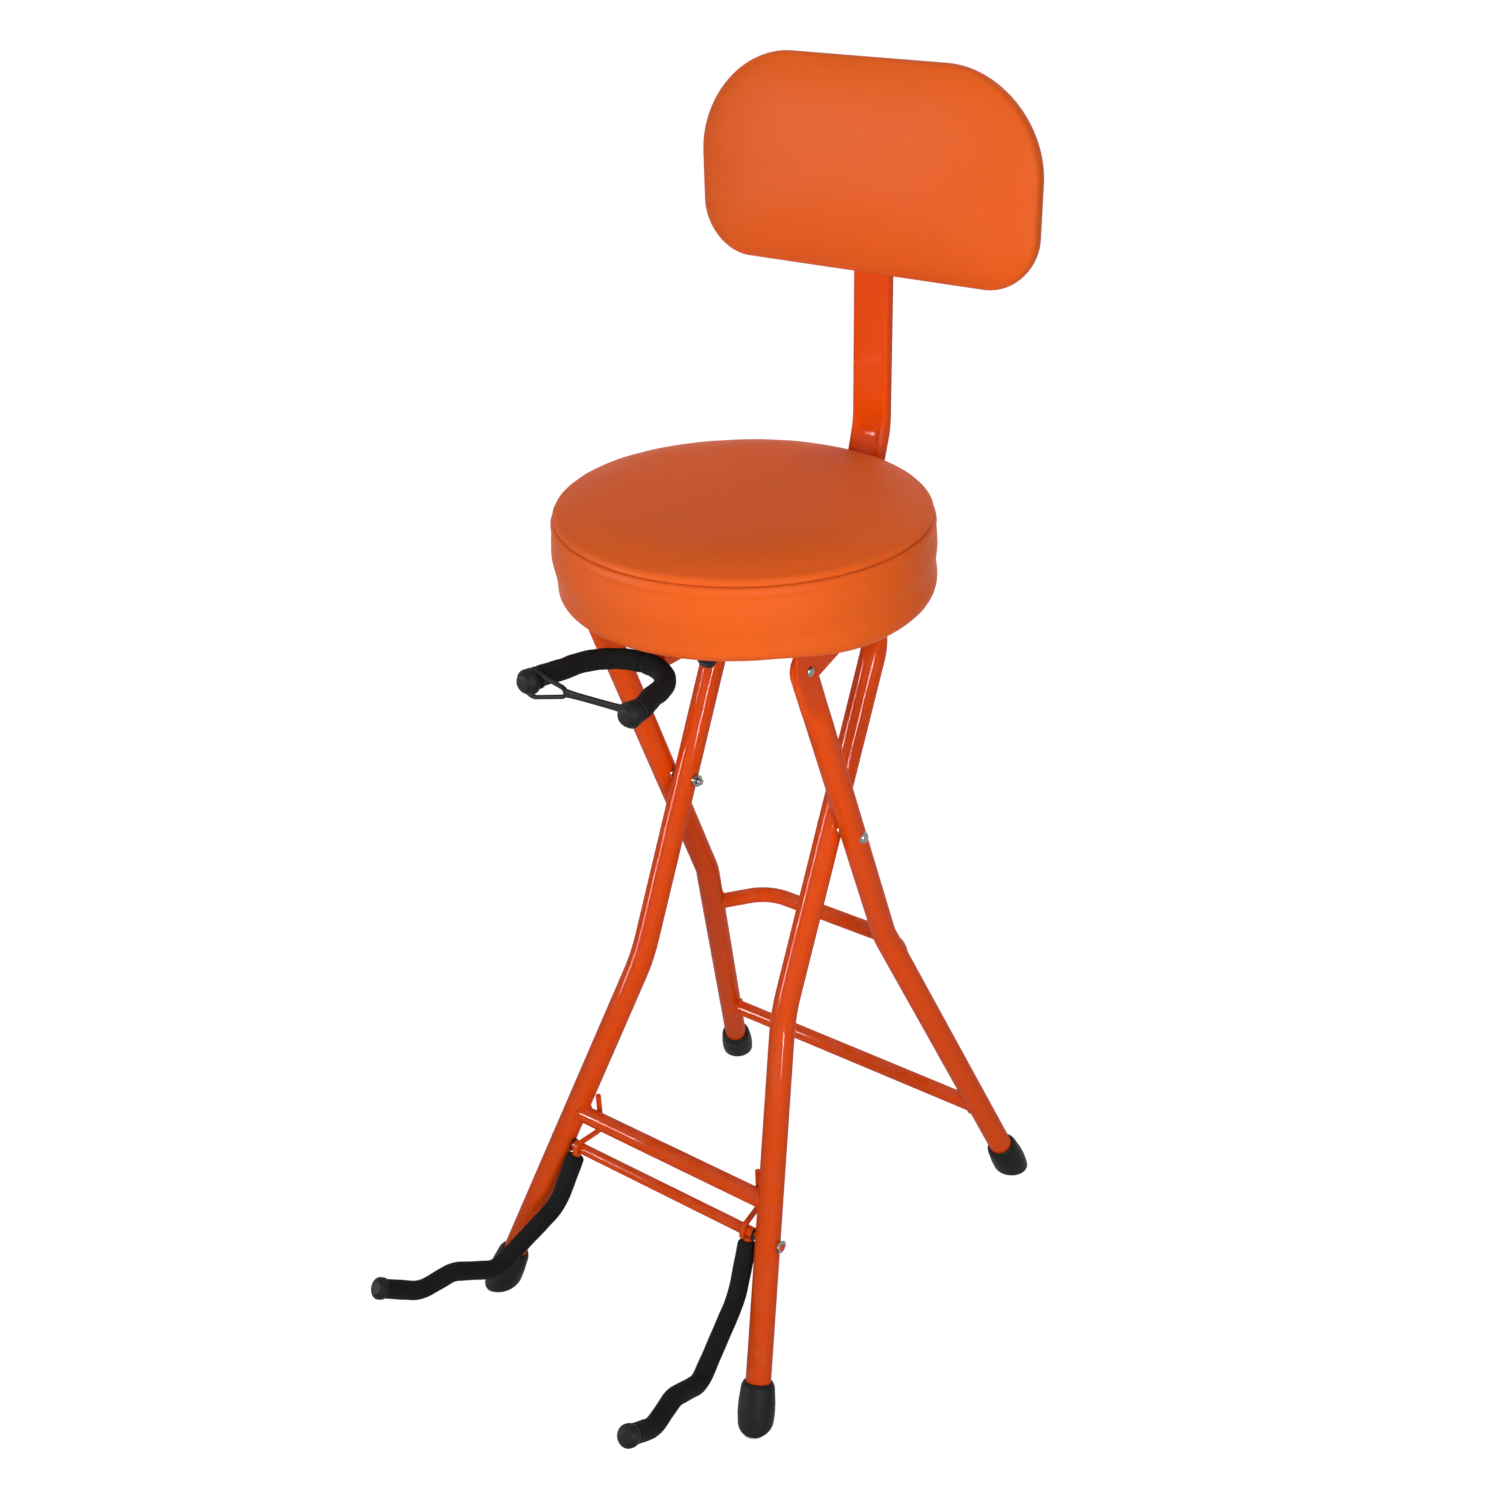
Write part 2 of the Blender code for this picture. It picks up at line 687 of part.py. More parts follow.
def bow_bar():
    """The bar between the rear legs that bows to the rear, so that the front legs fold into it."""
    leg = rear_point(BOW_BAR_HEIGHT)
    corners = [leg, leg + Vector((-BOW_SETBACK, 0, 0))]
    corners.append(leg + Vector((-BOW_SETBACK - BOW_RUN, BOW_DEPTH, 0)))
    corners += [Vector((-c.x, c.y, c.z)) for c in corners[::-1]]
    path = fillet(corners, (BOW_END_RADIUS, BOW_RADIUS, BOW_RADIUS, BOW_END_RADIUS))
    bar = round_tube(
        "rear_bow_bar", path, BOW_BAR_DIAMETER, None, BAR_SIDES, ORANGE_POWDER, ROOTS["rear"],
        reference=(0, 0, 1),
    )
    low = BOW_BAR_HEIGHT - BOW_BAR_DIAMETER * 2
    tool = leg_cutters("rear_bow_bar_cope", rear_point, low, BOW_BAR_HEIGHT + BOW_BAR_DIAMETER * 2)
    boolean(bar, tool, "DIFFERENCE")


def rear_leg(side):
    """A rear leg: round below, pressed flat at the top round its rivet, with a half-round end."""
    foot_end = foot_seat(rear_point(0.0, side), rear_point(REAR_KNEE_HEIGHT, side))
    rivet = rear_point(RIVET_HEIGHT, side)
    upper = (rivet - rear_point(REAR_KNEE_HEIGHT, side)).normalized()
    round_end = rivet - upper * (FLAT_LENGTH + FLAT_TAPER_LENGTH)
    path = fillet([foot_end, rear_point(REAR_KNEE_HEIGHT, side), round_end], (REAR_KNEE_RADIUS,))
    sections = [circle(TUBE_RADIUS, TUBE_SIDES)] * len(path)
    bore_count = len(path)
    for share in (0.35, 0.7, 1.0):
        path.append(round_end + upper * FLAT_TAPER_LENGTH * share)
        ease = share * share * (3 - 2 * share)
        round_part = circle(TUBE_RADIUS, TUBE_SIDES)
        flat_part = flat_oval(FLAT_THICKNESS, FLAT_WIDTH, TUBE_SIDES)
        blend = [
            (a[0] + (b[0] - a[0]) * ease, a[1] + (b[1] - a[1]) * ease)
            for a, b in zip(round_part, flat_part)
        ]
        sections.append(blend)
    end_radius = FLAT_WIDTH / 2
    for angle in (0.0, 0.42, 0.8, 1.12, 1.35):
        path.append(rivet + upper * end_radius * math.sin(angle))
        width = max(FLAT_WIDTH * math.cos(angle), FLAT_THICKNESS)
        sections.append(flat_oval(FLAT_THICKNESS, width, TUBE_SIDES))
    outer = rings_along(path, sections, (1, 0, 0))
    bore = rings_along(path[:bore_count], circle(TUBE_RADIUS - TUBE_WALL, TUBE_SIDES), (1, 0, 0))
    verts, faces = hollow(outer, bore, open_start=True, open_end=False)
    leg = add_object("rear_leg_" + mirrored(side), verts, faces, ORANGE_POWDER, ROOTS["rear"])
    pivot = rear_point(PIVOT_HEIGHT, side)
    reach = Vector((TUBE_DIAMETER, 0, 0))
    drill(leg, [
        (pivot - reach, pivot + reach, PIVOT_BOLT_DIAMETER / 2 + RUNNING_GAP),
        (rivet - reach, rivet + reach, RIVET_DIAMETER / 2 + RUNNING_GAP),
    ])


def head_profile(seat, height, radius):
    """Profile of a low domed head from its seat to its top. A negative height points inwards."""
    rise_shares = ((0.0, 1.0), (0.45, 1.0), (0.85, 0.72), (1.0, 0.3), (1.0, 0.0))
    return [(seat + height * rise, radius * share) for rise, share in rise_shares]


def pivot_bolt(side):
    """The fastener through both legs and the washer between them.

    The left one is a bolt with its nut inside the front leg, the right one is a rivet.
    """
    word = mirrored(side)
    out = Vector((side, 0, 0))
    centre = Vector((0, 0, PIVOT_HEIGHT))
    outer_seat = REAR_LEG_HALF + TUBE_RADIUS + SEAT_GAP
    inner_seat = FRONT_LEG_HALF - TUBE_RADIUS - SEAT_GAP
    radius = PIVOT_BOLT_DIAMETER / 2
    low_head = PIVOT_LOW_HEAD_DIAMETER / 2
    if side > 0:
        profile = head_profile(inner_seat, -PIVOT_LOW_HEAD_HEIGHT, low_head)[::-1]
        profile += [(inner_seat, radius), (outer_seat, radius)]
        profile += head_profile(outer_seat, PIVOT_HEAD_HEIGHT, PIVOT_HEAD_DIAMETER / 2)
    else:
        tail = inner_seat - PIVOT_NUT_HEIGHT - PIVOT_THREAD_END
        profile = [(tail, 0.0), (tail, radius * 0.8), (tail + radius * 0.3, radius), (outer_seat, radius)]
        profile += head_profile(outer_seat, PIVOT_LOW_HEAD_HEIGHT, low_head)
        hex_nut(
            "pivot_nut", centre + out * inner_seat, -out, PIVOT_NUT_FLATS, PIVOT_NUT_HEIGHT,
            radius + SEAT_GAP, ZINC, ROOTS["front"],
        )
    turned("pivot_bolt_" + word, profile, centre, out, FASTENER_SIDES, ZINC, ROOTS["front"])
    inner_face = FRONT_LEG_HALF + TUBE_RADIUS + SEAT_GAP
    outer_face = inner_face + LEG_GAP - SEAT_GAP * 2
    bore = radius + SEAT_GAP
    rim = PIVOT_WASHER_DIAMETER / 2
    ring = [(inner_face, bore), (inner_face, rim), (outer_face, rim), (outer_face, bore)]
    turned("pivot_washer_" + word, ring, centre, out, TUBE_SIDES, ZINC, ROOTS["front"])


def seat_cushion():
    """The round cushion: a crowned top, a seam, a slightly bulged band and a lip below the board."""
    lip_inner = SEAT_BOARD_RADIUS + SEAT_GAP
    recess = SEAT_UNDERSIDE + SEAT_BOARD_THICKNESS + SEAT_GAP
    low_edge = SEAT_UNDERSIDE - SEAT_SKIRT
    profile = [(recess, 0.0), (recess, lip_inner), (low_edge, lip_inner)]
    edge_centre = SEAT_RADIUS - SEAT_EDGE_RADIUS
    for step in range(4):
        angle = math.pi / 2 * step / 3
        reach = edge_centre + SEAT_EDGE_RADIUS * math.sin(angle)
        profile.append((low_edge + SEAT_EDGE_RADIUS * (1 - math.cos(angle)), reach))
    band_low = low_edge + SEAT_EDGE_RADIUS
    band_top = SEAT_SEAM_HEIGHT - SEAT_SEAM_DEPTH * 2
    for share in (0.3, 0.7):
        bulge = SEAT_BULGE * math.sin(math.pi * share)
        profile.append((band_low + (band_top - band_low) * share, SEAT_RADIUS + bulge))
    profile.append((band_top, SEAT_RADIUS))
    profile.append((SEAT_SEAM_HEIGHT, SEAT_RADIUS - SEAT_SEAM_DEPTH))
    for share in (0.985, 0.95, 0.90, 0.82, 0.70, 0.50, 0.25):
        rise = SEAT_CROWN * math.sqrt(1 - share ** 6)
        profile.append((SEAT_SEAM_HEIGHT + rise, SEAT_RADIUS * share))
    profile.append((SEAT_SEAM_HEIGHT + SEAT_CROWN, 0.0))
    turned("seat_cushion", profile, (0, 0, 0), (0, 0, 1), SEAT_SEGMENTS, ORANGE_VINYL, ROOTS["seat"])


def screw_places():
    """Where the four screws of the seat brackets go, as (side, y)."""
    front = rear_y(RIVET_HEIGHT) - EAR_FRONT_REACH + SCREW_EDGE
    back = rear_y(RIVET_HEIGHT) + EAR_TAIL_LENGTH - SCREW_EDGE
    return [(side, y) for side in (1, -1) for y in (front, back)]


def flange_centre_x():
    """Half distance between the screw lines of the two seat brackets."""
    return rear_x(RIVET_HEIGHT) + FLAT_THICKNESS / 2 + BRACKET_GAP - FLANGE_WIDTH / 2


def seat_board():
    """The plywood disc inside the cushion, drilled for the bracket screws."""
    top = SEAT_UNDERSIDE + SEAT_BOARD_THICKNESS
    profile = [(SEAT_UNDERSIDE, 0.0), (SEAT_UNDERSIDE, SEAT_BOARD_RADIUS), (top, SEAT_BOARD_RADIUS), (top, 0.0)]
    board = turned("seat_board", profile, (0, 0, 0), (0, 0, 1), SEAT_SEGMENTS, PLYWOOD, ROOTS["seat"])
    holes = []
    for side, y in screw_places():
        low = Vector((side * flange_centre_x(), y, SEAT_UNDERSIDE - CUT_OVERRUN))
        depth = Vector((0, 0, CUT_OVERRUN + SCREW_DEPTH - PLATE_THICKNESS))
        holes.append((low, low + depth, SCREW_DIAMETER / 2 + SEAT_GAP))
    drill(board, holes)


def bracket_outline():
    """Side view of a seat bracket's web as (y, height) from the rivet."""
    top = SEAT_UNDERSIDE - SEAT_GAP - RIVET_HEIGHT
    tail = top - EAR_TAIL_HEIGHT
    corners = [
        (-EAR_FRONT_REACH, top),
        (-EAR_FRONT_REACH, -EAR_DROP),
        (EAR_BACK_REACH, -EAR_DROP),
        (EAR_TAIL_LENGTH, tail),
        (EAR_TAIL_LENGTH, top),
    ]
    points = fillet([Vector((y, z, 0)) for y, z in corners], (EAR_CORNER_RADIUS, EAR_CORNER_RADIUS, EAR_TAIL_HEIGHT / 3))
    return [(p.x, p.y) for p in points]


def seat_bracket(side):
    """An angle of plate: a web outside the rear leg and a flange screwed under the board."""
    inner = rear_x(RIVET_HEIGHT) + FLAT_THICKNESS / 2 + BRACKET_GAP
    outer = inner + PLATE_THICKNESS
    top = SEAT_UNDERSIDE - SEAT_GAP
    y0 = rear_y(RIVET_HEIGHT)
    web = []
    for x in (inner, outer):
        web.append([Vector((side * x, y0 + y, RIVET_HEIGHT + z)) for y, z in bracket_outline()])
    verts, faces = skin(web)
    bracket = add_object("seat_bracket_" + mirrored(side), verts, faces, ORANGE_POWDER, ROOTS["seat"])
    front = y0 - EAR_FRONT_REACH
    back = y0 + EAR_TAIL_LENGTH
    across = (inner - FLANGE_WIDTH, outer)
    flange = []
    for y in (front, back):
        section = [(across[0], top - PLATE_THICKNESS), (across[1], top - PLATE_THICKNESS), (across[1], top), (across[0], top)]
        flange.append([Vector((side * x, y, z)) for x, z in section])
    boolean(bracket, cutter(bracket.name + "_flange", [skin(flange)]), "UNION")
    holes = []
    for where_side, y in screw_places():
        if where_side == side:
            low = Vector((side * flange_centre_x(), y, top - PLATE_THICKNESS - CUT_OVERRUN))
            rise = Vector((0, 0, PLATE_THICKNESS + CUT_OVERRUN * 2))
            holes.append((low, low + rise, SCREW_DIAMETER / 2 + SEAT_GAP))
    rivet = rear_point(RIVET_HEIGHT, side)
    reach = Vector((TUBE_DIAMETER, 0, 0))
    holes.append((rivet - reach, rivet + reach, RIVET_DIAMETER / 2 + RUNNING_GAP))
    drill(bracket, holes)


def seat_screws():
    """Pan-head screws that hold the brackets to the board."""
    for number, (side, y) in enumerate(screw_places(), start=1):
        seat = SEAT_UNDERSIDE - SEAT_GAP - PLATE_THICKNESS - SEAT_GAP
        place = Vector((side * flange_centre_x(), y, seat))
        radius = SCREW_DIAMETER / 2
        head = SCREW_HEAD_DIAMETER / 2
        tip = SCREW_DEPTH
        profile = [(-SCREW_HEAD_HEIGHT, 0.0), (-SCREW_HEAD_HEIGHT, head * 0.55), (-SCREW_HEAD_HEIGHT * 0.55, head * 0.92)]
        profile += [(0.0, head), (0.0, radius), (tip - radius, radius), (tip, radius * 0.4), (tip, 0.0)]
        turned("seat_screw_%d" % number, profile, place, (0, 0, 1), FASTENER_SIDES, ZINC, ROOTS["seat"])


def seat_rivet(side):
    """The rivet that joins a bracket to the flat top of a rear leg."""
    rivet = rear_point(RIVET_HEIGHT, side)
    half = FLAT_THICKNESS / 2
    radius = RIVET_DIAMETER / 2
    head = RIVET_HEAD_DIAMETER / 2
    inner = -half - BRACKET_GAP
    outer = half + BRACKET_GAP + PLATE_THICKNESS + SEAT_GAP
    rise = RIVET_HEAD_HEIGHT
    profile = [(inner - rise, 0.0), (inner - rise, head * 0.35), (inner - rise * 0.6, head * 0.8), (inner, head)]
    profile += [(inner, radius), (outer, radius), (outer, head), (outer + rise * 0.6, head * 0.8)]
    profile += [(outer + rise, head * 0.35), (outer + rise, 0.0)]
    turned("seat_rivet_" + mirrored(side), profile, rivet, (side, 0, 0), FASTENER_SIDES, ZINC, ROOTS["seat"])


def seat_saddle(side):
    """A nylon block under the board that sits on the crossbar and hooks behind it."""
    radius = TUBE_RADIUS + SEAT_GAP
    top = SEAT_UNDERSIDE - SEAT_GAP - CROSSBAR_HEIGHT
    back = radius + SADDLE_WALL
    outline = [(-radius - SADDLE_NOSE, top), (-radius - SADDLE_NOSE, radius)]
    outline.append((0.0, radius))
    for step in range(1, 6):
        angle = math.pi / 2 * (1 - step / 5)
        outline.append((radius * math.cos(angle), radius * math.sin(angle)))
    outline += [(radius, -SADDLE_HOOK_DROP), (back - SADDLE_WALL / 3, -SADDLE_HOOK_DROP)]
    outline += [(back, SADDLE_WALL / 3 - SADDLE_HOOK_DROP), (back, top)]
    inner = POST_WIDTH / 2 + SADDLE_NOSE
    near = inner if side > 0 else -inner - SADDLE_WIDTH
    prism(
        "seat_saddle_" + mirrored(side), outline, SADDLE_WIDTH, (near, front_y(CROSSBAR_HEIGHT), CROSSBAR_HEIGHT),
        (0, 1, 0), (0, 0, 1), BLACK_NYLON, ROOTS["seat"],
    )


def post_route():
    """Corners of the backrest post's centre line, from its nose over the crossbar to its top."""
    bend = Vector((0, POST_BEND_SETBACK, POST_BEND_HEIGHT))
    heel = Vector((0, POST_BEND_SETBACK - POST_LOWER_RISE * math.tan(POST_LOWER_LEAN), POST_RUN_HEIGHT))
    nose = Vector((0, front_y(CROSSBAR_HEIGHT) - POST_NOSE, POST_RUN_HEIGHT))
    top = bend + Vector((0, POST_UPPER_RISE * math.tan(POST_UPPER_LEAN), POST_UPPER_RISE))
    return nose, heel, bend, top


def post_up():
    """Direction of the post's upper run."""
    return Vector((0, math.sin(POST_UPPER_LEAN), math.cos(POST_UPPER_LEAN)))


def post_forward():
    """Direction square to the post's upper run, towards the sitter."""
    return Vector((0, -math.cos(POST_UPPER_LEAN), math.sin(POST_UPPER_LEAN)))


def backrest_seat():
    """Centre of the backrest's rear face, which lies on the post's front face."""
    bend = post_route()[2]
    rise = (BACKREST_CENTRE_HEIGHT - bend.z) / math.cos(POST_UPPER_LEAN)
    return bend + post_up() * rise + post_forward() * (POST_THICKNESS / 2 + SEAT_GAP)


def backrest_screw_points():
    """Where the two backrest screws cross the backrest's rear face."""
    half = post_up() * BACKREST_SCREW_SPACING / 2
    return (("upper", backrest_seat() + half), ("lower", backrest_seat() - half))


def backrest_post():
    """The flat-sided tube that carries the backrest, bent under the seat onto the crossbar."""
    path = fillet(post_route(), (POST_HEEL_RADIUS, POST_BEND_RADIUS))
    outside = rounded_rectangle(POST_WIDTH, POST_THICKNESS, POST_CORNER_RADIUS, 2)
    bore_radius = POST_CORNER_RADIUS - POST_WALL
    inside = rounded_rectangle(POST_WIDTH - POST_WALL * 2, POST_THICKNESS - POST_WALL * 2, bore_radius, 2)
    outer = rings_along(path, outside, (1, 0, 0))
    inner = rings_along(path, inside, (1, 0, 0))
    post = add_object("backrest_post", *hollow(outer, inner), ORANGE_POWDER, ROOTS["front"])
    holes = []
    for side in (1, -1):
        centre = Vector((side * POST_BOLT_SPACING / 2, front_y(CROSSBAR_HEIGHT), post_route()[0].z))
        rise = Vector((0, 0, POST_THICKNESS))
        holes.append((centre - rise, centre + rise, POST_BOLT_DIAMETER / 2 + SEAT_GAP))
    for _, point in backrest_screw_points():
        back = point - post_forward() * POST_THICKNESS * 2
        holes.append((back, point + post_forward() * CUT_OVERRUN, SCREW_DIAMETER / 2 + SEAT_GAP))
    drill(post, holes)
    plug()


def plug():
    """The plastic plug in the post's open top."""
    top = post_route()[3]
    inset = POST_WALL * 2 + SEAT_GAP * 2
    corner = POST_CORNER_RADIUS - POST_WALL - SEAT_GAP
    inside = rounded_rectangle(POST_WIDTH - inset, POST_THICKNESS - inset, corner, 2)
    outside = rounded_rectangle(POST_WIDTH, POST_THICKNESS, POST_CORNER_RADIUS, 2)
    rounded = rounded_rectangle(POST_WIDTH - inset, POST_THICKNESS - inset, corner, 2)
    stations = (
        (-POST_PLUG_DEPTH, inside), (SEAT_GAP, inside), (SEAT_GAP, outside),
        (POST_PLUG_HEAD * 0.6, outside), (POST_PLUG_HEAD, rounded),
    )
    rings = []
    for along, section in stations:
        centre = top + post_up() * along
        rings.append([centre + Vector((u, 0, 0)) + post_up().cross(Vector((1, 0, 0))) * v for u, v in section])
    add_object("post_plug", *skin(rings), BLACK_NYLON, ROOTS["front"])


def post_fasteners():
    """The two bolts that hold the post down on the crossbar, with their nuts below."""
    for side in (1, -1):
        word = mirrored(side)
        place = Vector((side * POST_BOLT_SPACING / 2, front_y(CROSSBAR_HEIGHT), CROSSBAR_HEIGHT))
        head_seat = TUBE_RADIUS + POST_THICKNESS + SEAT_GAP * 2
        nut_seat = TUBE_RADIUS + SEAT_GAP
        tail = -nut_seat - POST_NUT_HEIGHT - POST_BOLT_THREAD_END
        radius = POST_BOLT_DIAMETER / 2
        head = POST_BOLT_HEAD_DIAMETER / 2
        rise = POST_BOLT_HEAD_HEIGHT
        profile = [(tail, 0.0), (tail, radius), (head_seat, radius), (head_seat, head)]
        profile += [(head_seat + rise * 0.5, head * 0.86), (head_seat + rise * 0.9, head * 0.5), (head_seat + rise, 0.0)]
        turned("post_bolt_" + word, profile, place, (0, 0, 1), FASTENER_SIDES, ZINC, ROOTS["front"])
        hex_nut(
            "post_nut_" + word, place - Vector((0, 0, nut_seat)), (0, 0, -1), POST_NUT_FLATS, POST_NUT_HEIGHT,
            radius + SEAT_GAP, ZINC, ROOTS["front"],
        )


def backrest_outline(inset):
    """Outline of the backrest, drawn in by an inset, as (across, up) points."""
    half_width = BACKREST_WIDTH / 2 - inset
    half_height = BACKREST_HEIGHT / 2 - inset
    points = []
    quarters = (
        (1, 1, BACKREST_TOP_CORNER, 0.0), (-1, 1, BACKREST_TOP_CORNER, 0.5),
        (-1, -1, BACKREST_BOTTOM_CORNER, 1.0), (1, -1, BACKREST_BOTTOM_CORNER, 1.5),
    )
    for sx, sz, full_radius, start in quarters:
        radius = full_radius - inset
        cx = sx * (half_width - radius)
        cz = sz * (half_height - radius)
        for i in range(BACKREST_CORNER_STEPS + 1):
            angle = math.pi * (start + 0.5 * i / BACKREST_CORNER_STEPS)
            points.append((cx + radius * math.cos(angle), cz + radius * math.sin(angle)))
        if sx * sz > 0:
            for i in range(1, BACKREST_EDGE_STEPS):
                points.append((cx * (1 - 2 * i / BACKREST_EDGE_STEPS), sz * half_height))
    bowed = []
    for x, z in points:
        bow = BACKREST_TOP_BOW if z > 0 else BACKREST_BOTTOM_BOW
        bowed.append((x, z * (1 - bow / half_height * (x / half_width) ** 2)))
    return bowed


def backrest_ring(inset, depth, shrink=1.0):
    """A ring of the backrest at a depth in front of its rear face."""
    seat = backrest_seat()
    up = post_up()
    forward = post_forward()
    return [
        seat + Vector((-x * shrink, 0, 0)) + up * z * shrink + forward * depth
        for x, z in backrest_outline(inset)
    ]


def backrest_pieces():
    """The plywood board and the cushion that wraps its edge."""
    board_inset = BACKREST_LIP
    board_rings = [backrest_ring(board_inset, 0.0), backrest_ring(board_inset, BACKREST_BOARD_THICKNESS)]
    board = add_object("backrest_board", *skin(board_rings), PLYWOOD, ROOTS["front"])
    holes = []
    for _, point in backrest_screw_points():
        deep = point + post_forward() * BACKREST_BOARD_THICKNESS * 0.8
        holes.append((point - post_forward() * CUT_OVERRUN, deep, SCREW_DIAMETER / 2 + SEAT_GAP))
    drill(board, holes)
    recess_inset = BACKREST_LIP - SEAT_GAP
    depth = BACKREST_DEPTH
    bottom = BACKREST_BOARD_THICKNESS + SEAT_GAP
    layer_shares = [(0.5, 0.0), (0.2, 0.08), (0.0, 0.24), (0.0, 0.38), (0.22, 0.58), (0.62, 0.76), (1.25, 0.90), (2.3, 0.97)]
    rings = [backrest_ring(recess_inset, bottom), backrest_ring(recess_inset, 0.0)]
    rings += [backrest_ring(BACKREST_LIP * a, depth * b) for a, b in layer_shares]
    rings += [backrest_ring(BACKREST_LIP * 2.3, depth * b, shrink) for b, shrink in ((0.99, 0.8), (1.0, 0.5))]
    add_object("backrest_cushion", *skin(rings), ORANGE_VINYL, ROOTS["front"])
    for word, point in backrest_screw_points():
        forward = post_forward()
        seat = -POST_THICKNESS - SEAT_GAP * 2
        radius = SCREW_DIAMETER / 2
        head = SCREW_HEAD_DIAMETER / 2
        tip = BACKREST_BOARD_THICKNESS * 0.7
        profile = [(seat - SCREW_HEAD_HEIGHT, 0.0), (seat - SCREW_HEAD_HEIGHT, head * 0.55)]
        profile += [(seat - SCREW_HEAD_HEIGHT * 0.5, head * 0.92), (seat, head), (seat, radius)]
        profile += [(tip - radius, radius), (tip, radius * 0.4), (tip, 0.0)]
        turned("backrest_screw_" + word, profile, point, forward, FASTENER_SIDES, ZINC, ROOTS["front"])


def fork_place(across, ahead, above=0.0):
    """A point of the neck fork: across, ahead of the fork's back, and above its plane."""
    back = Vector((0, -FORK_BACK_REACH, FORK_BACK_HEIGHT))
    forward = Vector((0, -math.cos(FORK_TILT), math.sin(FORK_TILT)))
    up = Vector((0, math.sin(FORK_TILT), math.cos(FORK_TILT)))
    return back + Vector((across, 0, 0)) + forward * ahead + up * above


def fork_route(side, start, extra):
    """Half of the fork's U from a distance off its middle to its tip, lengthened by an extra."""
    count = math.ceil(math.pi / 2 / BEND_STEP)
    points = []
    for i in range(count + 1):
        angle = math.pi / 2 * i / count
        points.append(fork_place(side * FORK_RADIUS * math.sin(angle), FORK_RADIUS * (1 - math.cos(angle))))
    points.append(fork_place(side * FORK_HALF, FORK_REACH - FORK_STRAIGHT))
    points.append(fork_place(side * FORK_HALF, FORK_REACH + extra))
    if start:
        points[:1] = [fork_place(side * start, 0), fork_place(side * start * 3, 0)]
    return points


def neck_fork():
    """The rod bent to a U with its stem, its two foam sleeves, cut out round the stem, and its caps."""
    tip_extra = CAP_COLLAR_LENGTH + CAP_NECK_LENGTH
    left = fork_route(-1, 0.0, tip_extra)
    route = left[::-1] + fork_route(1, 0.0, tip_extra)[1:]
    wire = round_tube(
        "fork_rod", route, FORK_ROD_DIAMETER, None, WIRE_SIDES, ORANGE_POWDER, ROOTS["fork"],
        reference=(0, 0, 1),
    )
    stem_path = [fork_place(0, FORK_ROD_DIAMETER / 4), fork_place(0, -FORK_STEM_LENGTH)]
    rings = rings_along(stem_path, circle(FORK_STEM_DIAMETER / 2, BAR_SIDES), (1, 0, 0))
    boolean(wire, cutter("fork_rod_stem", [skin(rings)]), "UNION")
    bore = FORK_ROD_DIAMETER / 2 + SEAT_GAP
    clear = (FORK_STEM_DIAMETER / 2 + SEAT_GAP) / math.cos(math.pi / BAR_SIDES)
    hole_start = fork_place(0, FORK_ROD_DIAMETER / 4 + SEAT_GAP)
    for_stem = cutter("fork_foam_hole", [rod(hole_start, fork_place(0, -FOAM_DIAMETER), clear, BAR_SIDES)])
    for side in (1, -1):
        word = mirrored(side)
        path = fork_route(side, FOAM_SPLIT / 2, 0.0)
        outer = rings_along(path, circle(FOAM_RADIUS, FOAM_SIDES), (0, 0, 1))
        inner = rings_along(path, circle(bore, FOAM_SIDES), (0, 0, 1))
        foam = add_object("fork_foam_" + word, *hollow(outer, inner), BLACK_FOAM, ROOTS["fork"])
        boolean(foam, for_stem, "DIFFERENCE")
        start = fork_place(side * FORK_HALF, FORK_REACH + SEAT_GAP)
        turned(
            "fork_cap_" + word, cap_profile(bore), start, fork_place(0, 1) - fork_place(0, 0), TUBE_SIDES,
            BLACK_RUBBER, ROOTS["fork"],
        )
    fork_strap()


def cap_profile(bore):
    """Profile of a fork cap: a collar, a waist for the strap and a domed head with a blind bore."""
    collar_end = CAP_COLLAR_LENGTH
    neck_end = collar_end + CAP_NECK_LENGTH
    dome = CAP_DOME_DIAMETER / 2
    end = neck_end + CAP_DOME_LENGTH
    profile = [(CAP_SOCKET_DEPTH, 0.0), (CAP_SOCKET_DEPTH, bore), (0.0, bore), (0.0, CAP_COLLAR_DIAMETER / 2)]
    profile += [(collar_end, CAP_COLLAR_DIAMETER / 2), (collar_end, CAP_NECK_DIAMETER / 2)]
    profile += [(neck_end, CAP_NECK_DIAMETER / 2), (neck_end, dome * 0.94)]
    profile += [(neck_end + CAP_DOME_LENGTH * 0.22, dome), (neck_end + CAP_DOME_LENGTH * 0.6, dome * 0.86)]
    profile += [(neck_end + CAP_DOME_LENGTH * 0.88, dome * 0.52), (end, 0.0)]
    return profile


def arc_points(centre, radius, start, end, count):
    """Points along an arc about a centre, the first and the last included."""
    step = (end - start) / count
    return [
        (centre[0] + radius * math.cos(start + step * i), centre[1] + radius * math.sin(start + step * i))
        for i in range(count + 1)
    ]


